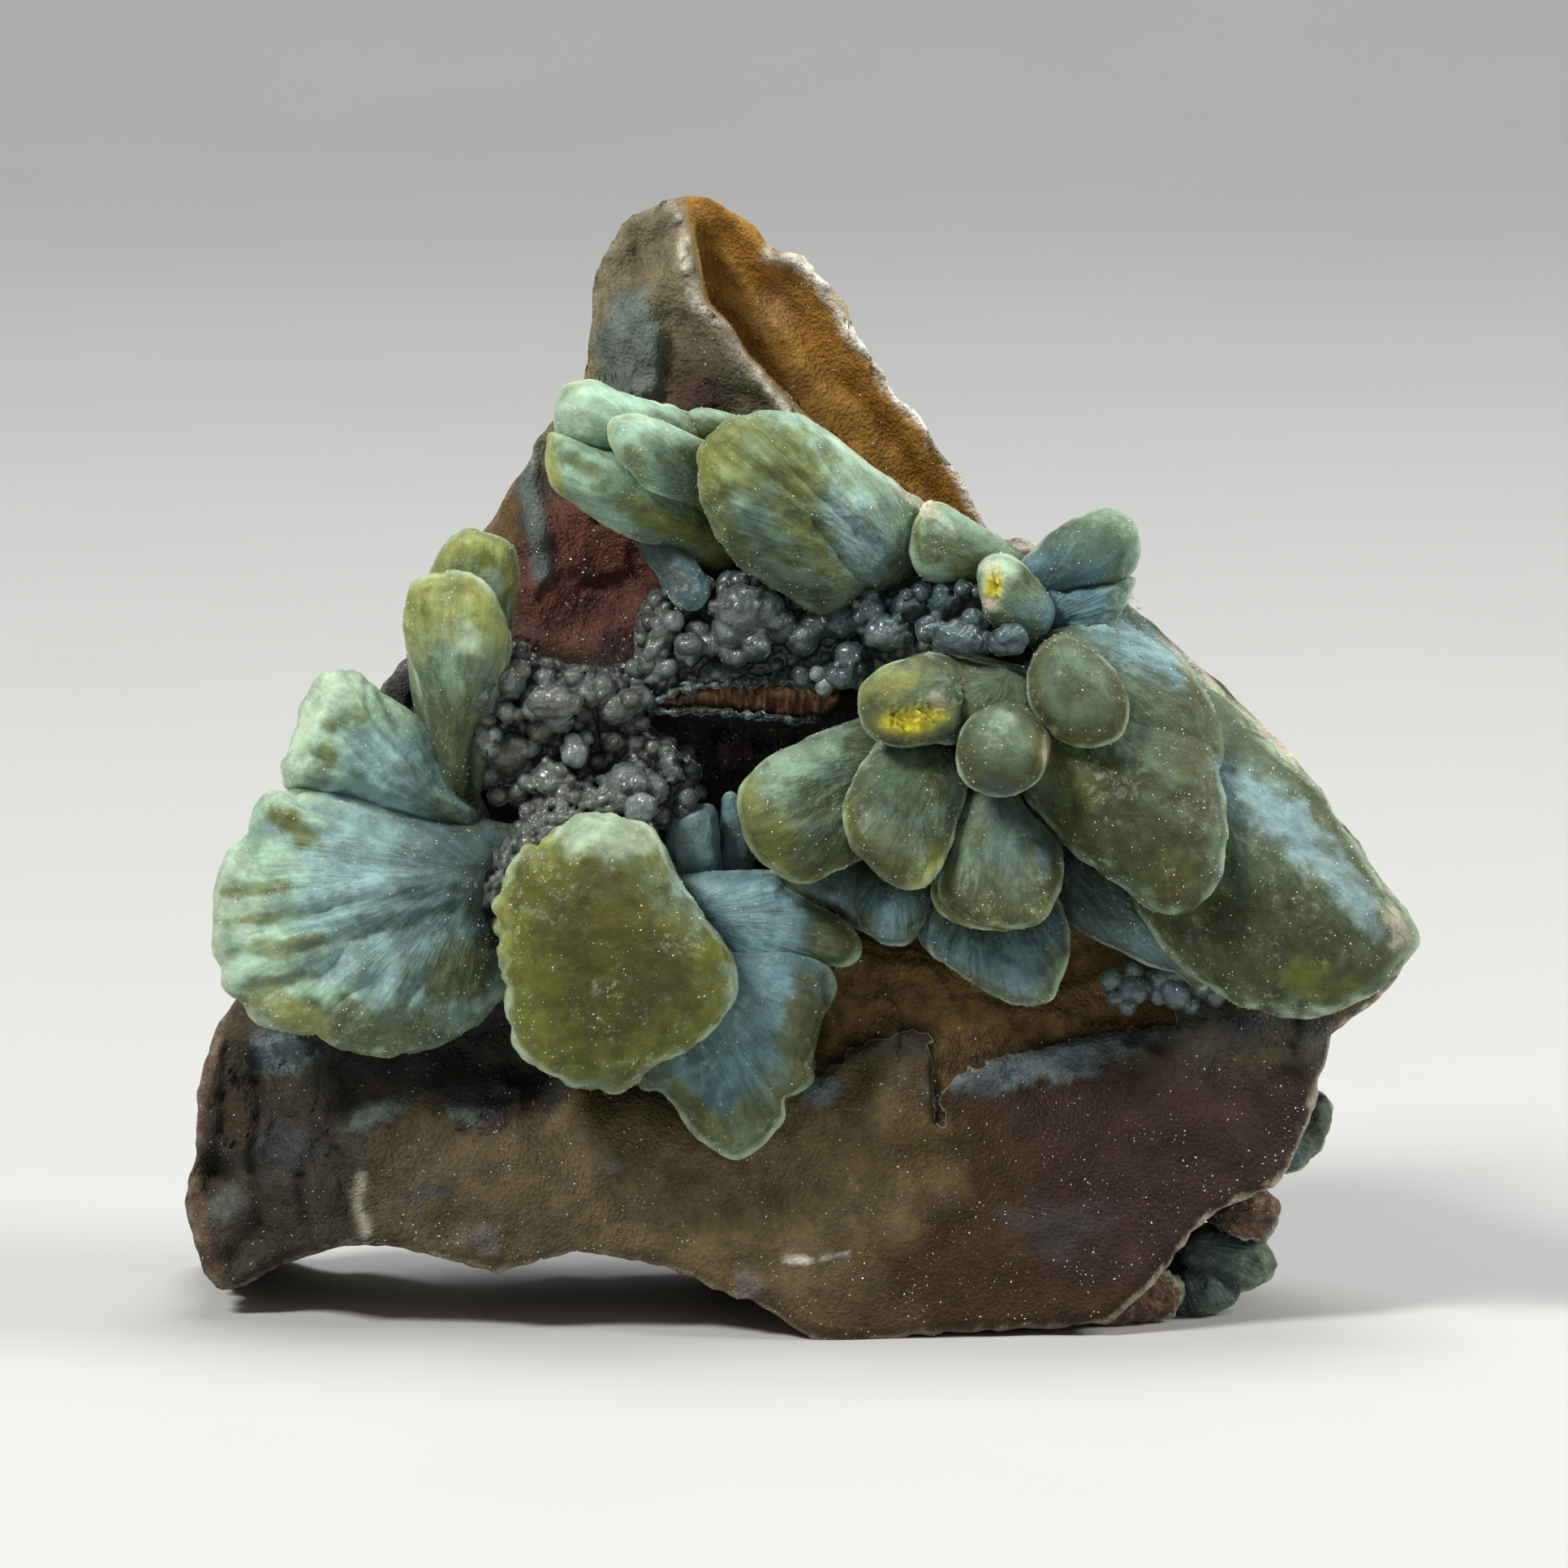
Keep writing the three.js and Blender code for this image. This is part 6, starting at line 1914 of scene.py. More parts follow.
EAR_SHEAF = Growth(
    "ear_sheaf_prisms", "ear_sheaf", "blue_plumbogummite",
    (
        Petal(Outline.BROKEN_EAR, (12, 35.4, -4), 0.4, 0.1, 1.7, 2.6, Habit.BLUE, 0.2, broken=0.7,
              streak=0.6),
        Petal(Outline.EAR, (11.2, 35.4, -4), 0.9, 0.42, 2.1, 2.4, Habit.BLUE, 0.4,
              ((1.0, 0.06),), streak=0.3),
        Petal(Outline.CORED_PRISM, (13.2, 35.6, -3), 2.8, 0.45, 2.0, 2.4, Habit.GREYED,
              facets=(120, 56), creases=(Crease(((9.7, 36.6), (9.8, 37.6)), 0.45, 0.4, 0.4),)),
    ),
    (
        Stain((13.6, 36.2), (2.4, 1.0), 8, Tint.BLUE, 0.9, 0.4),
        Stain((14.6, 39.6), (2.0, 1.2), 20, Tint.GREY_GREEN, 0.7, 0.5),
        Stain((9.75, 37.4), (0.8, 1.4), -10, Tint.PALE_MINT, 0.8, 0.2),
        Stain((9.7, 37.3), (0.46, 0.95), -10, Tint.YELLOW, 1.0, 0.05),
        Stain((9.5, 36.5), (0.35, 0.3), 0, Tint.CREAM, 0.9, 0.3),
        Stain((9.3, 38.3), (0.5, 0.35), 20, Tint.CREAM, 0.8, 0.4),
        Stain((10.3, 38.2), (0.8, 0.8), 0, Tint.PALE_MINT, 0.6, 0.5),
    ), seed=13)

LEFT_BLADE = Growth(
    "left_blade_prisms", "left_blade", "mint_plumbogummite",
    (
        Petal(Outline.BLADE_FOOT, (-16.6, 26.6, -3), -0.6, 0.3, 1.3, 2.4, Habit.MINT, facets=(96, 44)),
        Petal(Outline.BLADE_TOP, (-16, 30, -4), -1.0, 0.4, 2.3, 2.3, Habit.BLADE, 0.3,
              ((1.6, 0.08),)),
        Petal(Outline.BLADE, (-16.8, 26.6, -3), 0.4, 0.3, 2.2, 2.4, Habit.BLADE, 0.3,
              ((1.3, 0.14), (0.6, 0.05)),
              streak=0.5, facets=(150, 56)),
    ),
    (
        Stain((-17.6, 35.6), (1.1, 1.6), 20, Tint.LIME, 0.4, 0.5),
        Stain((-16.0, 34.9), (0.9, 0.9), 0, Tint.PALE_MINT, 0.8, 0.5),
        Stain((-15.2, 38.6), (0.5, 0.6), 0, Tint.OLIVE, 0.9, 0.3),
        Stain((-14.9, 37.6), (0.6, 0.8), 0, Tint.PALE_MINT, 0.7, 0.4),
        Stain((-18.6, 36.4), (0.7, 0.9), 0, Tint.OLIVE, 0.5, 0.5),
        Stain((-17.0, 33.4), (0.5, 2.0), 10, Tint.MINT, 0.6, 0.5),
        Stain((-16.6, 31.0), (0.8, 2.2), 8, Tint.GREY_OLIVE, 0.6, 0.5),
    ), seed=21)

LEFT_FAN = Growth(
    "left_fan_prisms", "left_fan", "mint_plumbogummite",
    (
        Petal(Outline.UPPER_SHELL, (-15.6, 24.2, -3), -1.4, 0.24, 2.8, 2.4, Habit.SHELL, 0.1,
              ((2.2, 0.34), (0.95, 0.17)), lump=0.16, streak=0.5, facets=(190, 76),
              creases=(Crease(((-16.0, 24.6), (-19.6, 27.2), (-22.0, 31.0)), 0.3, 0.7),
                       Crease(((-16.0, 24.4), (-20.6, 26.0), (-24.6, 29.4)), 0.3, 0.6),
                       Crease(((-16.8, 26.0), (-18.8, 28.6), (-20.2, 31.8)), 0.25, 0.4))),
        Petal(Outline.LOWER_SHELL, (-15.2, 23.4, -2.8), 0.9, 0.22, 3.1, 2.4, Habit.SHELL, 0.1,
              ((2.2, 0.45), (1.0, 0.2)), lump=0.18, streak=0.5, facets=(230, 90),
              creases=(Crease(((-16.4, 23.2), (-21.0, 23.8), (-27.4, 24.8)), 0.3, 0.7),
                       Crease(((-18.6, 20.4), (-23.6, 18.4), (-27.6, 16.6)), 0.35, 0.7),
                       Crease(((-16.6, 22.2), (-22.0, 21.6), (-27.8, 21.2)), 0.26, 0.4),
                       Crease(((-16.8, 21.4), (-22.0, 20.0), (-27.8, 18.8)), 0.26, 0.35),
                       Crease(((-16.6, 24.0), (-21.0, 25.6), (-25.6, 27.6)), 0.25, 0.4))),
    ),
    (
        Stain((-24.6, 25.4), (1.5, 0.75), -40, Tint.OLIVE, 0.9, 0.6),
        Stain((-26.6, 22.4), (1.5, 0.4), 2, Tint.OLIVE, 0.8, 0.6),
        Stain((-26.2, 21.0), (2.0, 0.35), 4, Tint.OLIVE, 0.8, 0.6),
        Stain((-24.8, 19.6), (2.4, 0.5), 6, Tint.OLIVE, 0.75, 0.6),
        Stain((-25.6, 17.8), (2.0, 0.4), 14, Tint.GREY_OLIVE, 0.7, 0.6),
        Stain((-21.8, 30.8), (1.3, 0.5), 20, Tint.OLIVE, 0.75, 0.6),
        Stain((-23.0, 29.2), (1.0, 0.7), 60, Tint.OLIVE, 0.8, 0.6),
        Stain((-23.6, 27.8), (0.9, 0.6), 30, Tint.OLIVE, 0.7, 0.6),
        Stain((-20.8, 15.4), (6.4, 1.7), -6, Tint.GREY_OLIVE, 0.9, 0.5),
        Stain((-24.6, 16.2), (2.4, 1.0), -25, Tint.LIME, 0.6, 0.5),
        Stain((-16.6, 18.2), (2.4, 1.7), 30, Tint.DEEP_OLIVE, 0.85, 0.5),
        Stain((-18.0, 27.0), (2.6, 0.6), -40, Tint.GREY_OLIVE, 0.6, 0.6),
        Stain((-21.4, 26.4), (2.6, 0.8), -30, Tint.PALE_BLUE, 0.6, 0.6),
        Stain((-20.4, 28.4), (2.8, 1.0), -42, Tint.PALE_BLUE, 0.6, 0.6),
        Stain((-22.2, 23.0), (2.2, 1.6), 0, Tint.PALE_BLUE, 0.6, 0.7),
    ), seed=34)

CORNER_LUMPS = Growth(
    "corner_lumps", "matrix", "blue_plumbogummite",
    (
        Petal(Outline.CORNER_SLAB, (18.4, 5, -9.5), -5.6, -0.1, 1.3, 4.0, Habit.STEEL, 0.4, lump=0.3,
              broken=0.3, creases=(Crease(((18.8, 3.6), (20.6, 3.5), (22.2, 2.4)), 0.5, 0.3),)),
        Petal(Outline.EDGE_SLAB, (22.4, 11.6, -9), -4.2, 0.0, 0.9, 3.4, Habit.STEEL, 0.4, lump=0.3,
              broken=0.2, facets=(110, 50)),
        Petal(Outline.FOOT_MASS, (16.4, 4, -9), -3.4, -0.3, 1.4, 3.0, Habit.RUST, 0.4, lump=0.5,
              broken=0.6, facets=(110, 50)),
        Petal(Outline.EDGE_CHIP, (20.6, 6.4, -8), -3.4, -0.3, 0.9, 3.4, Habit.RUST, 0.4, lump=0.4,
              broken=0.6, facets=(80, 36)),
    ),
    (
        Stain((21.4, 3.6), (3.4, 2.4), 0, Tint.SLATE, 0.5, 0.6),
        Stain((22.6, 3.8), (1.6, 1.0), 20, Tint.GREY_GREEN, 0.5, 0.6),
        Stain((20.6, 3.3), (1.8, 0.3), -15, Tint.SLATE, 0.8, 0.5),
        Stain((22.0, 1.6), (2.0, 0.5), 0, Tint.GREY_GREEN, 0.6, 0.5),
        Stain((25.8, 10.4), (0.6, 1.6), -15, Tint.GREY_OLIVE, 0.7, 0.5),
    ), seed=41)


# The grey crust


CRUST_LEVELS: tuple[Point, ...] = (
    (-15.6, 31.4, 0.7), (-12, 32.4, -0.5), (-9, 32.4, -0.7), (-13, 28.4, -1.0), (-10, 28.6, -1.6),
    (-8, 27.6, -0.4), (-6, 28, -0.8), (-6.8, 33.8, -1.0), (-2.4, 35.2, 0.6), (0, 35.6, 0.0),
    (4.6, 35, 0.6), (8, 35, 1.6), (3, 33, -0.2), (-14.8, 22.6, 0.0), (-12, 25.4, 0.2),
    (-8.4, 27.2, 0.6), (-16, 28.4, -1.4), (-2, 32.9, -0.9), (-5, 32.6, -0.9), (1.6, 32.6, -0.6),
    (-4.2, 30.4, -2.4), (-1, 30.4, -2.6), (9.6, 33.6, 1.2),
)
CRUST_KNOBS: tuple[tuple[float, float, float, float, float], ...] = (
    (-6.7, 35.3, 1.05, 0.4, 0.1), (-7.3, 34.2, 0.9, 0.3, 0.1), (-6.7, 33.3, 0.7, 0.1, 0.1),
    (-6.0, 35.6, 0.5, 0.75, 0.8), (-5.3, 34.2, 0.75, 0.35, 0.2), (-4.8, 35.0, 0.65, 0.1, 0.1),
    (-4.2, 34.4, 0.6, 0.2, 0.0), (-2.7, 36.1, 1.35, 0.6, 0.2), (-1.6, 36.2, 1.1, 0.5, 0.1),
    (-3.3, 35.2, 0.85, 0.5, 0.3), (-2.0, 34.4, 0.85, 0.7, 0.0), (-0.8, 35.4, 0.9, 0.4, 0.1),
    (-3.2, 34.1, 0.65, 0.4, 0.2), (0.3, 34.7, 0.85, 0.3, 0.1), (1.0, 35.4, 0.8, 0.1, 0.0),
    (2.3, 35.6, 0.9, 0.0, 0.0), (3.6, 35.9, 0.9, 0.0, 0.1), (5.6, 36.2, 0.9, -0.1, 0.0),
    (7.4, 36.6, 0.9, -0.2, 0.0), (4.5, 35.0, 0.9, 0.75, 0.15), (2.7, 33.9, 0.8, 0.3, 0.2),
    (2.2, 32.9, 0.75, 0.2, 0.0), (1.5, 32.4, 0.5, 0.3, 1.0), (1.1, 32.9, 0.4, 0.4, 1.0),
    (2.3, 31.5, 0.7, 0.2, 0.3), (8.8, 35.2, 0.9, 0.2, 0.0),
    (-3.9, 32.7, 0.9, 0.1, 0.2), (-3.0, 32.6, 0.6, 0.0, 0.2), (-5.3, 32.1, 0.6, 0.1, 0.4),
    (-6.0, 31.8, 0.55, 0.0, 0.6), (-15.9, 31.9, 0.9, 0.2, 0.1), (-14.0, 32.6, 0.75, 0.5, 0.3),
    (-13.7, 33.2, 0.55, 0.1, 0.1), (-14.2, 31.1, 0.55, 0.4, 0.1), (-12.8, 31.6, 0.8, 0.4, 0.2),
    (-12.2, 32.1, 0.8, 0.3, 0.2), (-10.6, 32.4, 0.95, 0.5, 0.3), (-9.6, 32.3, 0.8, 0.4, 0.2),
    (-11.7, 30.8, 0.8, 0.4, 0.3), (-8.9, 31.3, 0.85, 0.3, 0.2), (-8.3, 31.6, 0.75, 0.3, 0.2),
    (-7.5, 31.8, 0.6, 0.1, 0.3), (-15.4, 29.9, 1.0, 0.2, 0.0), (-14.2, 29.1, 1.1, -0.1, 0.0),
    (-12.6, 30.2, 0.7, 0.2, 0.0), (-10.9, 29.2, 0.72, 0.8, 0.9), (-10.4, 29.8, 0.45, 0.6, 0.4),
    (-12.1, 27.7, 1.0, 0.4, 0.2), (-12.8, 27.0, 0.75, 0.3, 0.1), (-11.3, 27.4, 0.5, 0.3, 0.0),
    (-8.3, 27.6, 1.0, 0.4, 0.4), (-7.0, 27.3, 0.8, 0.2, 0.3), (-5.9, 28.5, 0.8, 0.2, 0.3),
    (-6.2, 29.2, 0.65, 0.0, 0.1), (-7.0, 30.3, 0.7, -0.2, 0.0), (-7.6, 26.4, 0.75, 0.8, 1.0),
    (-9.0, 29.6, 0.6, 0.0, 0.0), (-13.2, 25.2, 0.5, 0.3, 0.2), (-15.3, 21.9, 0.5, 0.2, 0.2),
)
CRUST_CHAIN: tuple[Place, ...] = (
    (-7.2, 27.6), (-9.0, 27.2), (-10.6, 26.6), (-12.4, 25.4), (-13.9, 24.0), (-15.4, 22.8),
)


@dataclass
class CrustBed:
    """A blanket of botryoidal crust: rounded knobs that carry smaller ones.

    Attributes:
        name: The piece's name.
        corner: Its lower left corner on the face.
        size: How far it reaches across and up.
        zones: Where it lies thick.
        levels: Heights of its ground.
        knobs: Its chosen knobs: across, up, radius, lift and paleness.
        crowd: Number of smaller knobs for each square millimetre.
        pitch: Distance between its points.
        sunk: How far the ground between the knobs lies under their level.
        seed: Chooses the smaller knobs.
    """

    name: str
    corner: Place
    size: Place
    zones: tuple[tuple[Place, ...], ...]
    levels: tuple[Point, ...]
    knobs: tuple[tuple[float, float, float, float, float], ...]
    chain: tuple[Place, ...] = ()
    crowd: float = 1.3
    pitch: float = 0.1
    sunk: float = 0.75
    seed: int = 55

    def _chosen(self, rock: Rock) -> Array:
        """List the chosen knobs and those of the chain: across, up, out, radius, paleness."""
        rows = [np.array(self.knobs)]
        picks = np.random.default_rng(self.seed)
        if self.chain:
            path = smooth_path(self.chain, 34)
            side = unit(np.gradient(path, axis=0))[:, ::-1] * (-1, 1)
            for row, lift in ((-0.75, 0.0), (-0.25, 0.25), (0.25, 0.3), (0.7, 0.05)):
                place = path + side * row + 0.09 * picks.normal(size=path.shape)
                rows.append(np.column_stack([place, 0.27 + 0.09 * picks.random(len(path)),
                                             lift + 0.15 * picks.random(len(path)),
                                             0.15 + 0.2 * picks.random(len(path))]))
        knobs = np.concatenate(rows)
        ground = rock.relief(self.levels, knobs[:, 0], knobs[:, 1])
        return np.column_stack([knobs[:, :2], ground + knobs[:, 3] - 0.35 * knobs[:, 2],
                                knobs[:, 2], knobs[:, 4]])

    def _crowd(self, heights: Array) -> Array:
        """Choose smaller knobs that sit on what is there already.

        Args:
            heights: The crust so far, over its grid.

        Returns:
            Across, up, out, radius and paleness of each.
        """
        picks = np.random.default_rng(self.seed + 1)
        count = int(self.crowd * self.size[0] * self.size[1])
        shares = picks.random((count, 2))
        places = np.array(self.corner) + shares * self.size
        row, column = (shares * (np.array(heights.shape) - 1)).round().astype(int).T
        radius = 0.2 + 0.4 * picks.random(count) ** 2.0
        rows = np.column_stack([places, heights[row, column] - (0.1 + 0.4 * picks.random(count))
                                * radius, radius, 0.6 * picks.random(count) ** 3])
        return rows[np.max([inside(places, zone) for zone in self.zones], axis=0) > 0.1]

    def build(self, rock: Rock) -> bpy.types.Object:
        """Make the crust.

        Args:
            rock: The rock that it grew on.

        Returns:
            A closed piece that dips under the rock's face all around.
        """
        grain = Grain(self.seed)
        counts = [int(side / self.pitch) for side in self.size]
        across = np.linspace(self.corner[0], self.corner[0] + self.size[0], counts[0])
        up = np.linspace(self.corner[1], self.corner[1] + self.size[1], counts[1])
        grid = np.stack(np.meshgrid(across, up, indexing="ij"), axis=-1)
        flat = np.concatenate([grid.reshape(-1, 2), np.zeros((grid[..., 0].size, 1))], axis=1)
        warp = np.column_stack([grain.layered(flat + 3, 0.9, 3), grain.layered(flat + 77, 0.9, 3)])
        x, v = (flat[:, :2] + 0.06 * warp).T
        height = rock.relief(self.levels, x, v) - self.sunk + 0.15 * grain.facets(flat + 9, 0.7)
        # crown holds each knob's dome height; the finish paints light where it is high and shade where it is low,
        # between the knobs.
        crown, pale = np.zeros(len(flat)), np.zeros(len(flat))
        for crowd in (False, True):
            knobs = self._crowd(height.reshape(grid.shape[:2])) if crowd else self._chosen(rock)
            for knob_x, knob_v, out, radius, paleness in knobs:
                near = np.flatnonzero((np.abs(x - knob_x) < radius)
                                      & (np.abs(v - knob_v) < radius))
                share = ((x[near] - knob_x) ** 2 + (v[near] - knob_v) ** 2) / radius ** 2
                near, share = near[share < 1], share[share < 1]
                dome = np.sqrt(1 - share)
                higher = out + radius * dome > height[near]
                near, dome = near[higher], dome[higher]
                height[near] = out + radius * dome
                crown[near], pale[near] = dome, paleness
        face = rock.front(flat[:, 0], flat[:, 1])["out"]
        depth = np.max([inside(flat[:, :2], zone) for zone in self.zones], axis=0)
        fine = 1.0 - grain.cells(flat + 5, 0.36)[0]
        height += 0.05 * fine + 0.03 * grain.layered(flat, 0.35, 2)
        sink = ramp(0.05, -0.6, depth + 0.35 * grain.layered(flat + 31, 1.3, 3)
                    + 0.2 * grain.facets(flat + 51, 0.5))
        height = height + (np.minimum(height, face - 0.9) - height) * sink
        height = np.maximum(height, face - 1.0)
        crown = crown * (0.55 + 0.45 * ramp(0.35, 0.8, fine))
        return self._mesh(grid, height.reshape(grid.shape[:2]), {"crown": crown, "pale": pale})

    def _mesh(self, grid: Array, height: Array, fields: dict[str, Array]) -> bpy.types.Object:
        """Close the blanket with walls and a floor, and make it a piece."""
        rows, columns = height.shape
        number = np.arange(rows * columns).reshape(rows, columns)
        quads = np.stack([number[:-1, :-1], number[1:, :-1], number[1:, 1:], number[:-1, 1:]],
                         axis=-1).reshape(-1, 4)
        rim = np.concatenate([number[:-1, 0], number[-1, :-1], number[:0:-1, -1],
                              number[0, :0:-1]])
        top = np.concatenate([grid.reshape(-1, 2), height.reshape(-1, 1)], axis=1)
        low = top[rim] * (1, 1, 0) + (0, 0, height.min() - 0.6)
        below = len(top) + np.arange(len(rim))
        walls = np.column_stack([rim, below, np.roll(below, -1), np.roll(rim, -1)])
        points = np.concatenate([top, low])
        faces = [tuple(face) for face in np.concatenate([quads, walls]).tolist()]
        faces.append(tuple(below[::-1].tolist()))
        mesh = bpy.data.meshes.new(self.name)
        mesh.from_pydata(to_part(points).tolist(), [], faces)
        for name, value in fields.items():
            store(mesh, name, np.concatenate([value, np.zeros(len(rim))]))
        mesh.polygons.foreach_set("use_smooth", np.ones(len(mesh.polygons), bool))
        mesh.materials.append(CRUST.material())
        mesh.update()
        piece = bpy.data.objects.new(self.name, mesh)
        bpy.context.scene.collection.objects.link(piece)
        return piece


@dataclass(frozen=True)
class Berry:
    """A round knob of crust that stands clear of the blanket.

    Attributes:
        middle: Its middle: across, up and out.
        radius: Its radius.
        pale: How pale it is.
        stretch: How many times as wide, tall and deep it is as a round one.
        facets: Places around it, and rings.
    """

    middle: Point
    radius: float
    pale: float = 0.1
    stretch: Point = (1.0, 1.0, 1.0)
    facets: tuple[int, int] = (40, 24)

    def shell(self, grain: Grain) -> Shell:
        """Make the knob's skin, with smaller knobs on it."""
        turn = np.linspace(0.0, 2 * math.pi, self.facets[0], endpoint=False)
        fall = np.linspace(0.0, math.pi, self.facets[1] + 2)[1:-1, None]
        ball = np.stack(np.broadcast_arrays(np.sin(fall) * np.cos(turn),
                                            np.sin(fall) * np.sin(turn), np.cos(fall)), axis=-1)
        middle, size = np.array(self.middle), self.radius * np.array(self.stretch)
        pole = size * (0, 0, 1)
        shell = Shell(middle + size * ball, middle + pole, middle - pole)
        rows, shape = shell.flat(), ball.shape[:2]
        small = 1.0 - (1.5 * grain.cells(rows, 0.7)[0]) ** 2
        push = 0.19 * np.clip(small, -0.5, 1) + 0.16 * grain.layered(rows + 5, 1.2, 3)
        shell.push((self.radius * push).reshape(shape))
        # crown is highest on the side facing out; the finish paints light there and shade on the knob's flanks.
        crown = np.clip(ball[..., 2], 0, 1) * (0.6 + 0.4 * np.clip(small, 0, 1).reshape(shape))
        shell.fields = {"crown": crown, "pale": np.full(shape, self.pale)}
        return shell


BERRIES: tuple[Berry, ...] = (
    Berry((8.0, 34.7, 4.4), 0.95, 0.1, (1.25, 0.85, 0.9)),
    Berry((10.4, 34.6, 4.5), 0.8, 0.15, (1.1, 0.95, 0.9)), Berry((9.3, 34.5, 4.0), 0.55, 0.0),
    Berry((6.7, 35.1, 3.2), 0.7, 0.1, (1.2, 0.9, 0.9)), Berry((8.7, 35.4, 3.6), 0.7, 0.1),
    Berry((4.6, 34.9, 1.2), 0.92, 0.35, (1.2, 0.8, 0.8)), Berry((1.5, 32.4, 0.0), 0.5, 0.9),
    Berry((1.1, 33.0, 0.1), 0.42, 0.8), Berry((2.2, 32.8, 0.2), 0.62, 0.1, (1.2, 0.9, 0.9)),
    Berry((-7.6, 26.4, 1.9), 0.72, 0.7, (1.15, 0.95, 0.6)),
    Berry((-10.9, 29.2, -0.2), 0.66, 0.7, (0.9, 1.15, 0.7)),
    Berry((-6.0, 35.6, 0.6), 0.48, 0.6), Berry((-5.2, 34.4, 0.6), 0.7, 0.1, (1.0, 0.8, 0.9)),
    Berry((-14.0, 32.6, 0.6), 0.6, 0.2, (0.8, 1.3, 0.9)), Berry((-13.5, 33.2, 0.5), 0.45, 0.1),
    Berry((-11.9, 31.6, 0.9), 0.85, 0.1, (1.5, 0.9, 0.9)),
    Berry((15.7, 17.9, -1.0), 0.6, 0.3), Berry((16.6, 18.3, -0.9), 0.5, 0.2),
    Berry((15.9, 17.1, -1.0), 0.52, 0.2), Berry((16.7, 17.4, -0.6), 0.66, 0.25),
    Berry((16.4, 16.6, -0.9), 0.46, 0.35), Berry((17.3, 17.6, -1.1), 0.42, 0.1),
    Berry((18.0, 18.0, -0.9), 0.66, 0.2), Berry((18.9, 18.4, -0.8), 0.8, 0.1),
    Berry((18.8, 17.3, -0.6), 0.76, 0.2), Berry((19.9, 17.7, -0.8), 0.7, 0.15),
    Berry((18.0, 17.1, -1.0), 0.42, 0.3), Berry((19.5, 16.7, -0.9), 0.46, 0.3),
    Berry((20.7, 17.1, -1.0), 0.5, 0.3), Berry((20.6, 18.2, -1.0), 0.7, 0.2),
)


@dataclass(frozen=True)
class Lip:
    """A thin crusty lip along the slit.

    Attributes:
        path: Its course on the face.
        thick: Its thickness.
        back: Depth that it grows from.
        front: How far it stands out.
    """

    path: tuple[Place, ...]
    thick: float = 0.5
    back: float = -4.0
    front: float = -0.5

    def shell(self, grain: Grain) -> Shell:
        """Make the lip's skin, with a ragged front edge."""
        path = smooth_path(self.path, 190)
        flat = np.column_stack([path, path[:, :1] * 0])
        run = np.gradient(path, axis=0)
        side = unit(np.column_stack([-run[:, 1], run[:, 0]]))
        path = path + side * (0.13 * grain.layered(flat + 11, 0.6, 4))[:, None]
        turn = np.linspace(0.0, 2 * math.pi, 30, endpoint=False)
        share = np.linspace(-1.0, 1.0, len(path))
        close = np.maximum(np.sqrt(1.0 - share ** 4), 0.05)
        ragged = 0.5 * grain.layered(flat, 0.7, 4)
        half = (self.front - self.back) / 2 * close + 0.5 * ragged * close
        middle = (self.front + self.back) / 2 + 0.5 * ragged
        thick = self.thick * (1 + 1.2 * grain.layered(flat + 5, 0.5, 3)) * close
        across = signed_power(np.cos(turn), 0.7)[None] * thick[:, None] / 2
        out = middle[:, None] + signed_power(np.sin(turn), 0.7)[None] * half[:, None]
        place = path[:, None] + across[..., None] * side[:, None]
        rings = np.concatenate([place, out[..., None]], axis=2)
        shell = Shell(rings, rings[0].mean(axis=0), rings[-1].mean(axis=0))
        shape = rings.shape[:2]
        shell.push(0.1 * grain.layered(shell.flat(), 0.5, 3).reshape(shape))
        # crown peaks at the ragged front edge; the finish paints light there and shade over the rest of the lip.
        tip = ramp(0.6, 0.98, np.sin(turn))[None] * ramp(0.0, 0.4, ragged)[:, None]
        shell.fields = {"crown": 0.3 + 0.7 * tip, "pale": 0.6 * tip}
        return shell


SLIT_LIPS: tuple[Lip, ...] = (
    Lip(((-7.6, 31.5), (-6.4, 31.9), (-5.2, 32.3), (-3.2, 32.5), (-0.8, 32.7), (0.8, 32.5),
         (2.2, 32.2)), front=-0.5, thick=0.42),
    Lip(((-7.5, 31.3), (-6.2, 31.1), (-5.2, 31.2), (-3.2, 31.1), (-1.2, 30.9), (0, 30.7),
         (1.2, 30.8)), front=-0.9, thick=0.3),
)


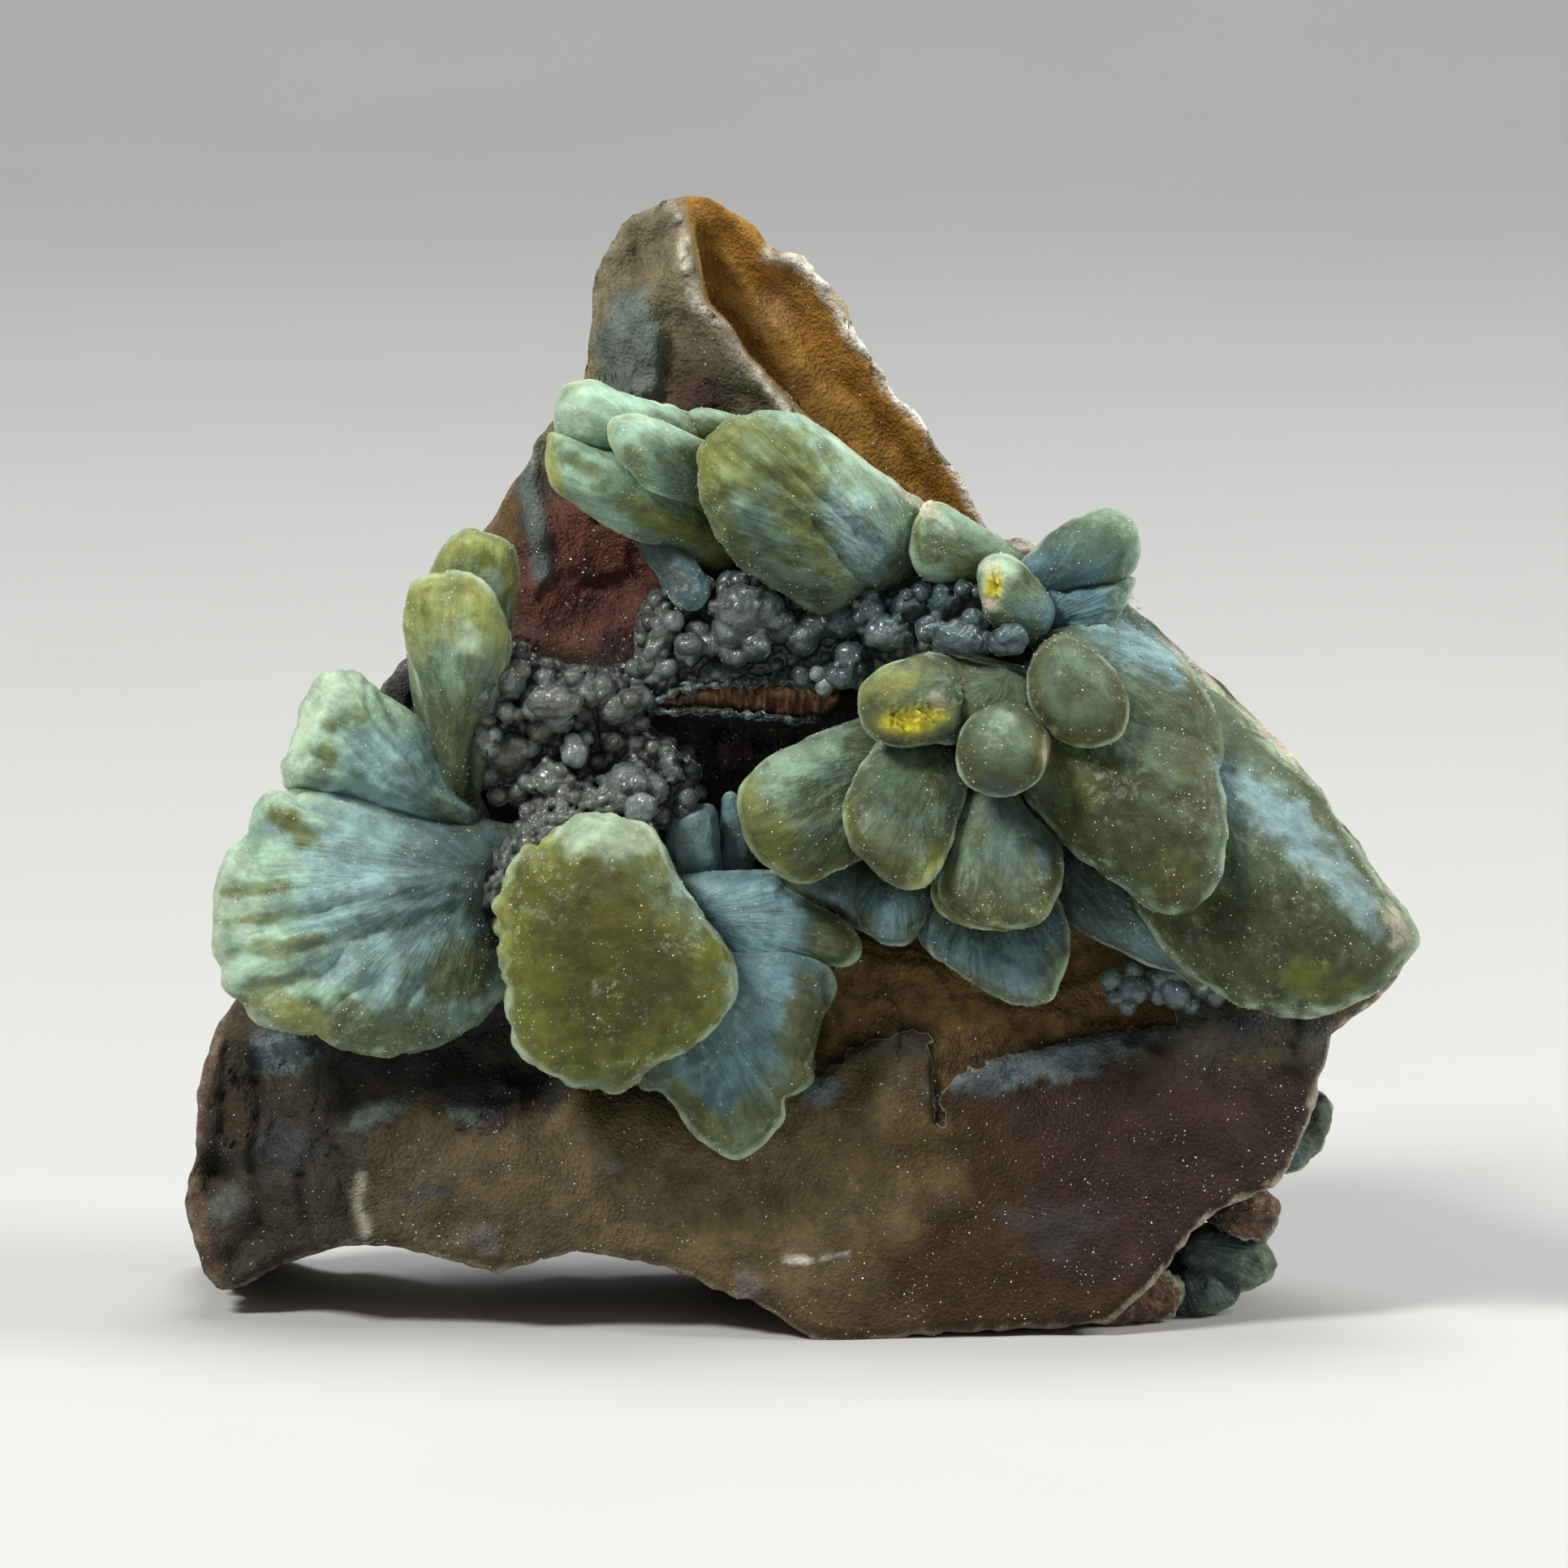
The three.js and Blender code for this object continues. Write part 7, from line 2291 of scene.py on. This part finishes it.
@dataclass
class Scatter:
    """Geometry Nodes that set many small shapes on a surface.

    Attributes:
        name: The piece's name.
        material: What it is made of.
        thinning: Attribute of the ground that thins them out.
        spacing: Least distance between two, in millimetres.
        density: Greatest number to a square millimetre.
        smallest: Least radius, in millimetres.
        largest: Greatest radius, in millimetres.
        seed: Chooses their places.
    """

    name: str
    material: bpy.types.Material
    thinning: str
    spacing: float
    density: float
    smallest: float
    largest: float
    seed: int = 1

    def _tree(self) -> bpy.types.NodeTree:
        """Build the node tree, with named inputs for its sizes."""
        tree = bpy.data.node_groups.new(f"set_{self.name}", "GeometryNodeTree")
        face = tree.interface
        face.new_socket("Ground", in_out="INPUT", socket_type="NodeSocketGeometry")
        for name in ("Spacing", "Density", "Smallest", "Largest"):
            face.new_socket(name, in_out="INPUT", socket_type="NodeSocketFloat")
        face.new_socket("Seed", in_out="INPUT", socket_type="NodeSocketInt")
        face.new_socket("Geometry", in_out="OUTPUT", socket_type="NodeSocketGeometry")
        graph = Graph(tree)
        given = graph.add("NodeGroupInput").outputs
        thin = graph.add("GeometryNodeInputNamedAttribute", data_type="FLOAT")
        thin.inputs["Name"].default_value = self.thinning
        spread = graph.add("GeometryNodeDistributePointsOnFaces", distribute_method="POISSON")
        for name, source in (("Mesh", given["Ground"]), ("Distance Min", given["Spacing"]),
                             ("Density Max", given["Density"]), ("Seed", given["Seed"]),
                             ("Density Factor", thin.outputs["Attribute"])):
            graph.feed(spread.inputs[name], source)
        chance = graph.sum("POWER", self._chance(graph, "FLOAT", given["Seed"], 1).outputs[1], 2.5)
        span = graph.sum("SUBTRACT", given["Largest"], given["Smallest"])
        size = graph.sum("ADD", given["Smallest"], graph.sum("MULTIPLY", chance, span))
        put = graph.add("GeometryNodeInstanceOnPoints")
        graph.feed(put.inputs["Points"], spread.outputs["Points"])
        graph.feed(put.inputs["Instance"], self._crystal(graph))
        graph.feed(put.inputs["Scale"], size)
        graph.feed(put.inputs["Rotation"], self._turn(graph, spread.outputs["Rotation"],
                                                      given["Seed"]))
        shift = self._chance(graph, "FLOAT", given["Seed"], 7)
        marked = graph.add("GeometryNodeStoreNamedAttribute", data_type="FLOAT", domain="INSTANCE")
        graph.feed(marked.inputs["Geometry"], put.outputs[0])
        marked.inputs["Name"].default_value = "shift"
        graph.feed(marked.inputs["Value"], shift.outputs[1])
        real = graph.add("GeometryNodeRealizeInstances")
        graph.feed(real.inputs[0], marked.outputs[0])
        shade = graph.add("GeometryNodeSetShadeSmooth")
        graph.feed(shade.inputs[0], real.outputs[0])
        shade.inputs["Shade Smooth"].default_value = False
        dressed = graph.add("GeometryNodeSetMaterial")
        graph.feed(dressed.inputs["Geometry"], shade.outputs[0])
        dressed.inputs["Material"].default_value = self.material
        graph.feed(graph.add("NodeGroupOutput").inputs[0], dressed.outputs[0])
        return tree

    @staticmethod
    def _chance(graph: Graph, kind: str, seed: object, stream: int) -> bpy.types.Node:
        """Add a random value of its own stream."""
        node = graph.add("FunctionNodeRandomValue", data_type=kind)
        graph.feed(node.inputs["Seed"], graph.sum("ADD", seed, float(stream)))
        return node

    @staticmethod
    def _crystal(graph: Graph) -> bpy.types.NodeSocket:
        """Make the stubby pointed crystal."""
        cone = graph.add("GeometryNodeMeshCone", fill_type="NGON")
        for name, value in (("Vertices", 5), ("Radius Top", 0.0), ("Radius Bottom", 0.8),
                            ("Depth", 2.0)):
            cone.inputs[name].default_value = value
        lower = graph.add("GeometryNodeTransform")
        graph.feed(lower.inputs["Geometry"], cone.outputs["Mesh"])
        lower.inputs["Translation"].default_value = (0.0, 0.0, -0.6)
        return lower.outputs[0]

    def _turn(self, graph: Graph, rotation: object, seed: object) -> bpy.types.NodeSocket:
        """Lean each crystal by chance from the surface's own direction."""
        chance = self._chance(graph, "FLOAT_VECTOR", seed, 3)
        chance.inputs[0].default_value = (-1.1, -1.1, -math.pi)
        chance.inputs[1].default_value = (1.1, 1.1, math.pi)
        turn = graph.add("FunctionNodeRotateRotation", rotation_space="LOCAL")
        graph.feed(turn.inputs[0], rotation)
        graph.feed(turn.inputs[1], chance.outputs[0])
        return turn.outputs[0]

    def grow(self, ground: bpy.types.Object) -> bpy.types.Object:
        """Set the shapes on a piece.

        Args:
            ground: The piece that they stand on.

        Returns:
            One plain mesh object of all of them.
        """
        tree = self._tree()
        carrier = bpy.data.objects.new(f"{self.name}_carrier", ground.data)
        bpy.context.scene.collection.objects.link(carrier)
        modifier = carrier.modifiers.new("set", "NODES")
        modifier.node_group = tree
        given = {"Spacing": self.spacing * MILLIMETRE, "Density": self.density * 1e6,
                 "Smallest": self.smallest * MILLIMETRE, "Largest": self.largest * MILLIMETRE,
                 "Seed": self.seed}
        for item in tree.interface.items_tree:
            if item.in_out == "INPUT" and item.name in given:
                modifier[item.identifier] = given[item.name]
        graph = bpy.context.evaluated_depsgraph_get()
        mesh = bpy.data.meshes.new_from_object(carrier.evaluated_get(graph))
        bpy.data.objects.remove(carrier)
        bpy.data.node_groups.remove(tree)
        mesh.name = self.name
        self._lift(mesh)
        piece = bpy.data.objects.new(self.name, mesh)
        bpy.context.scene.collection.objects.link(piece)
        return piece

    @staticmethod
    def _lift(mesh: bpy.types.Mesh) -> None:
        """Keep every point on or above the surface that the specimen stands on."""
        points = np.empty(len(mesh.vertices) * 3)
        mesh.vertices.foreach_get("co", points)
        points[2::3] = np.maximum(points[2::3], 0.0)
        mesh.vertices.foreach_set("co", points)
        mesh.update()


@dataclass
class Crust:
    """Grey botryoidal crust: a thick blanket, knobs that stand clear, and the slit's lips."""

    seed: int = 55

    def build(self, rock: Rock) -> list[bpy.types.Object]:
        """Make the crust.

        Args:
            rock: The rock that it grew on.

        Returns:
            Its pieces.
        """
        blanket = CrustBed("crust_blanket", (-16.9, 20.6), (27.0, 17.2), CRUST_ZONES,
                           CRUST_LEVELS, CRUST_KNOBS, CRUST_CHAIN, seed=self.seed).build(rock)
        grain = Grain(self.seed)
        pieces = [blanket]
        for name, parts in (("slit_lips", SLIT_LIPS),
                            ("crust_berries", (*BERRIES, *self._skirt(rock)))):
            skin = Skin(name)
            for part in parts:
                skin.add(part.shell(grain))
            pieces.append(skin.build(CRUST.material()))
        for piece in pieces:
            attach(piece, "root")
            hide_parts("matrix")
        return pieces

    def _skirt(self, rock: Rock) -> list[Berry]:
        """Choose small knobs that climb the blanket's steep sides.

        Args:
            rock: The rock that it grew on.

        Returns:
            The knobs, from the rock's face up to the blanket's crown.
        """
        picks = np.random.default_rng(self.seed + 7)
        path = smooth_path(CRUST_ZONES[0], 96, closed=True)
        crown = rock.relief(CRUST_LEVELS, *path.T) - 0.2
        knobs = []
        for place, low, high in zip(path, rock.front(*path.T)["out"], crown):
            for out in np.arange(low + 0.3, high, 0.8):
                x, v, lift = 0.2 * picks.normal(size=3)
                knobs.append(Berry((place[0] + x, place[1] + v, out + lift),
                                   0.34 + 0.24 * picks.random(), 0.1 * picks.random(),
                                   facets=(12, 7)))
        return knobs


@dataclass
class Druse:
    """Tiny clear crystals on the rock and on the prisms."""

    seed: int = 70

    def build(self, pieces: Sequence[bpy.types.Object]) -> list[bpy.types.Object]:
        """Set the crystals.

        Args:
            pieces: The rock first, and then the growths of prisms.

        Returns:
            A piece of crystals for each piece that carries them.
        """
        grown = []
        for order, ground in enumerate(pieces):
            on_rock = order == 0
            name = f"{ground.name}_druse"
            scatter = Scatter(name, (DRUSE if on_rock else FROSTED).material(), "druse", 0.1,
                              8.0 if on_rock else 9.5, 0.01, 0.066, self.seed + order)
            piece = scatter.grow(ground)
            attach(piece, "root")
            grown.append(piece)
        return grown


# The stage


@dataclass
class Studio:
    """A pale floor that curves up behind, soft lights, and a long lens at the photograph's angle.

    Attributes:
        frame_width: Width of the picture at the specimen, in millimetres.
        aim: What the middle of the picture looks at, on the face.
        distance: From the camera to what it looks at, in metres.
    """

    frame_width: float = 77.28
    aim: Point = (-0.56, 27.56, 0.0)
    distance: float = 0.75

    def build(self) -> None:
        """Make the floor, the lights and the camera."""
        self._floor()
        self._light("key", (-0.42, -0.38, 0.62), 0.2, 6.4, (1.0, 0.98, 0.94))
        self._light("side", (0.58, -0.08, 0.4), 0.26, 3.4, (1.0, 0.98, 0.95))
        self._light("top", (0.05, 0.16, 0.7), 0.4, 3.0, (0.95, 0.98, 1.0))
        self._light("fill", (0.12, -0.8, 0.3), 0.5, 0.4, (1.0, 1.0, 1.0))
        world = bpy.data.worlds.new("studio")
        world.use_nodes = True
        world.node_tree.nodes["Background"].inputs[0].default_value = (0.8, 0.82, 0.85, 1.0)
        world.node_tree.nodes["Background"].inputs[1].default_value = 0.14
        bpy.context.scene.world = world
        bpy.context.scene.view_settings.view_transform = "Standard"
        self._camera()

    def _floor(self) -> None:
        """Make the floor with its cove."""
        bend = [(0.55 + 0.45 * math.sin(a), 0.45 - 0.45 * math.cos(a))
                for a in np.linspace(0.0, math.pi / 2, 24)]
        side = [(-1.6, 0.0), *bend, (1.0, 1.8)]
        points = [(x, y, z) for y, z in side for x in (-2.0, 2.0)]
        faces = [(2 * i, 2 * i + 1, 2 * i + 3, 2 * i + 2) for i in range(len(side) - 1)]
        mesh = bpy.data.meshes.new("floor")
        mesh.from_pydata(points, [], faces)
        mesh.polygons.foreach_set("use_smooth", np.ones(len(faces), bool))
        mesh.materials.append(PAPER.material())
        floor = bpy.data.objects.new("floor", mesh)
        bpy.context.scene.collection.objects.link(floor)

    @staticmethod
    def _light(name: str, place: Point, size: float, power: float, colour: Colour) -> None:
        """Add a square soft light that looks at the specimen."""
        data = bpy.data.lights.new(name, "AREA")
        data.shape, data.size = "SQUARE", size
        data.energy, data.color = power, colour
        light = bpy.data.objects.new(name, data)
        light.location = place
        light.rotation_euler = (Vector((0, 0, 0.026)) - light.location).to_track_quat(
            "-Z", "Y").to_euler()
        bpy.context.scene.collection.objects.link(light)

    def _camera(self) -> None:
        """Add the camera, square to the specimen's face."""
        data = bpy.data.cameras.new("camera")
        data.sensor_width = 36.0
        data.lens = 36.0 * self.distance / (self.frame_width * MILLIMETRE)
        data.clip_start, data.clip_end = 0.05, 10.0
        camera = bpy.data.objects.new("camera", data)
        across, up, out = self.aim
        aim = Vector(((across + ACROSS_SHIFT) * MILLIMETRE,
                      (-out * math.cos(LEAN) + up * math.sin(LEAN) + BACK_SHIFT) * MILLIMETRE,
                      (out * math.sin(LEAN) + up * math.cos(LEAN) - BEDDING) * MILLIMETRE))
        towards = Vector((0.0, -math.cos(LEAN), math.sin(LEAN)))
        camera.location = aim + towards * self.distance
        camera.rotation_euler = (-towards).to_track_quat("-Z", "Y").to_euler()
        bpy.context.scene.collection.objects.link(camera)
        bpy.context.scene.camera = camera


def main() -> None:
    """Build the specimen, the floor, the lights and the camera, and report each piece."""
    logging.basicConfig(level=logging.INFO, format="%(name)s: %(message)s")
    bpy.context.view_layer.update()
    rock = Rock()
    pieces = [rock.build()]
    for growth in (RIGHT_CLUSTER, CENTRE_SHEAF, TOP_SHEAF, EAR_SHEAF, LEFT_BLADE, LEFT_FAN,
                   CORNER_LUMPS):
        pieces.append(growth.build())
    grown = Druse().build(pieces)
    pieces.extend(Crust().build(rock))
    for piece in (*pieces, *grown):
        log.info("%s: %d faces", piece.name, len(piece.data.polygons))
    Studio().build()
    log.info("boxes written")


if __name__ == "__main__":
    main()
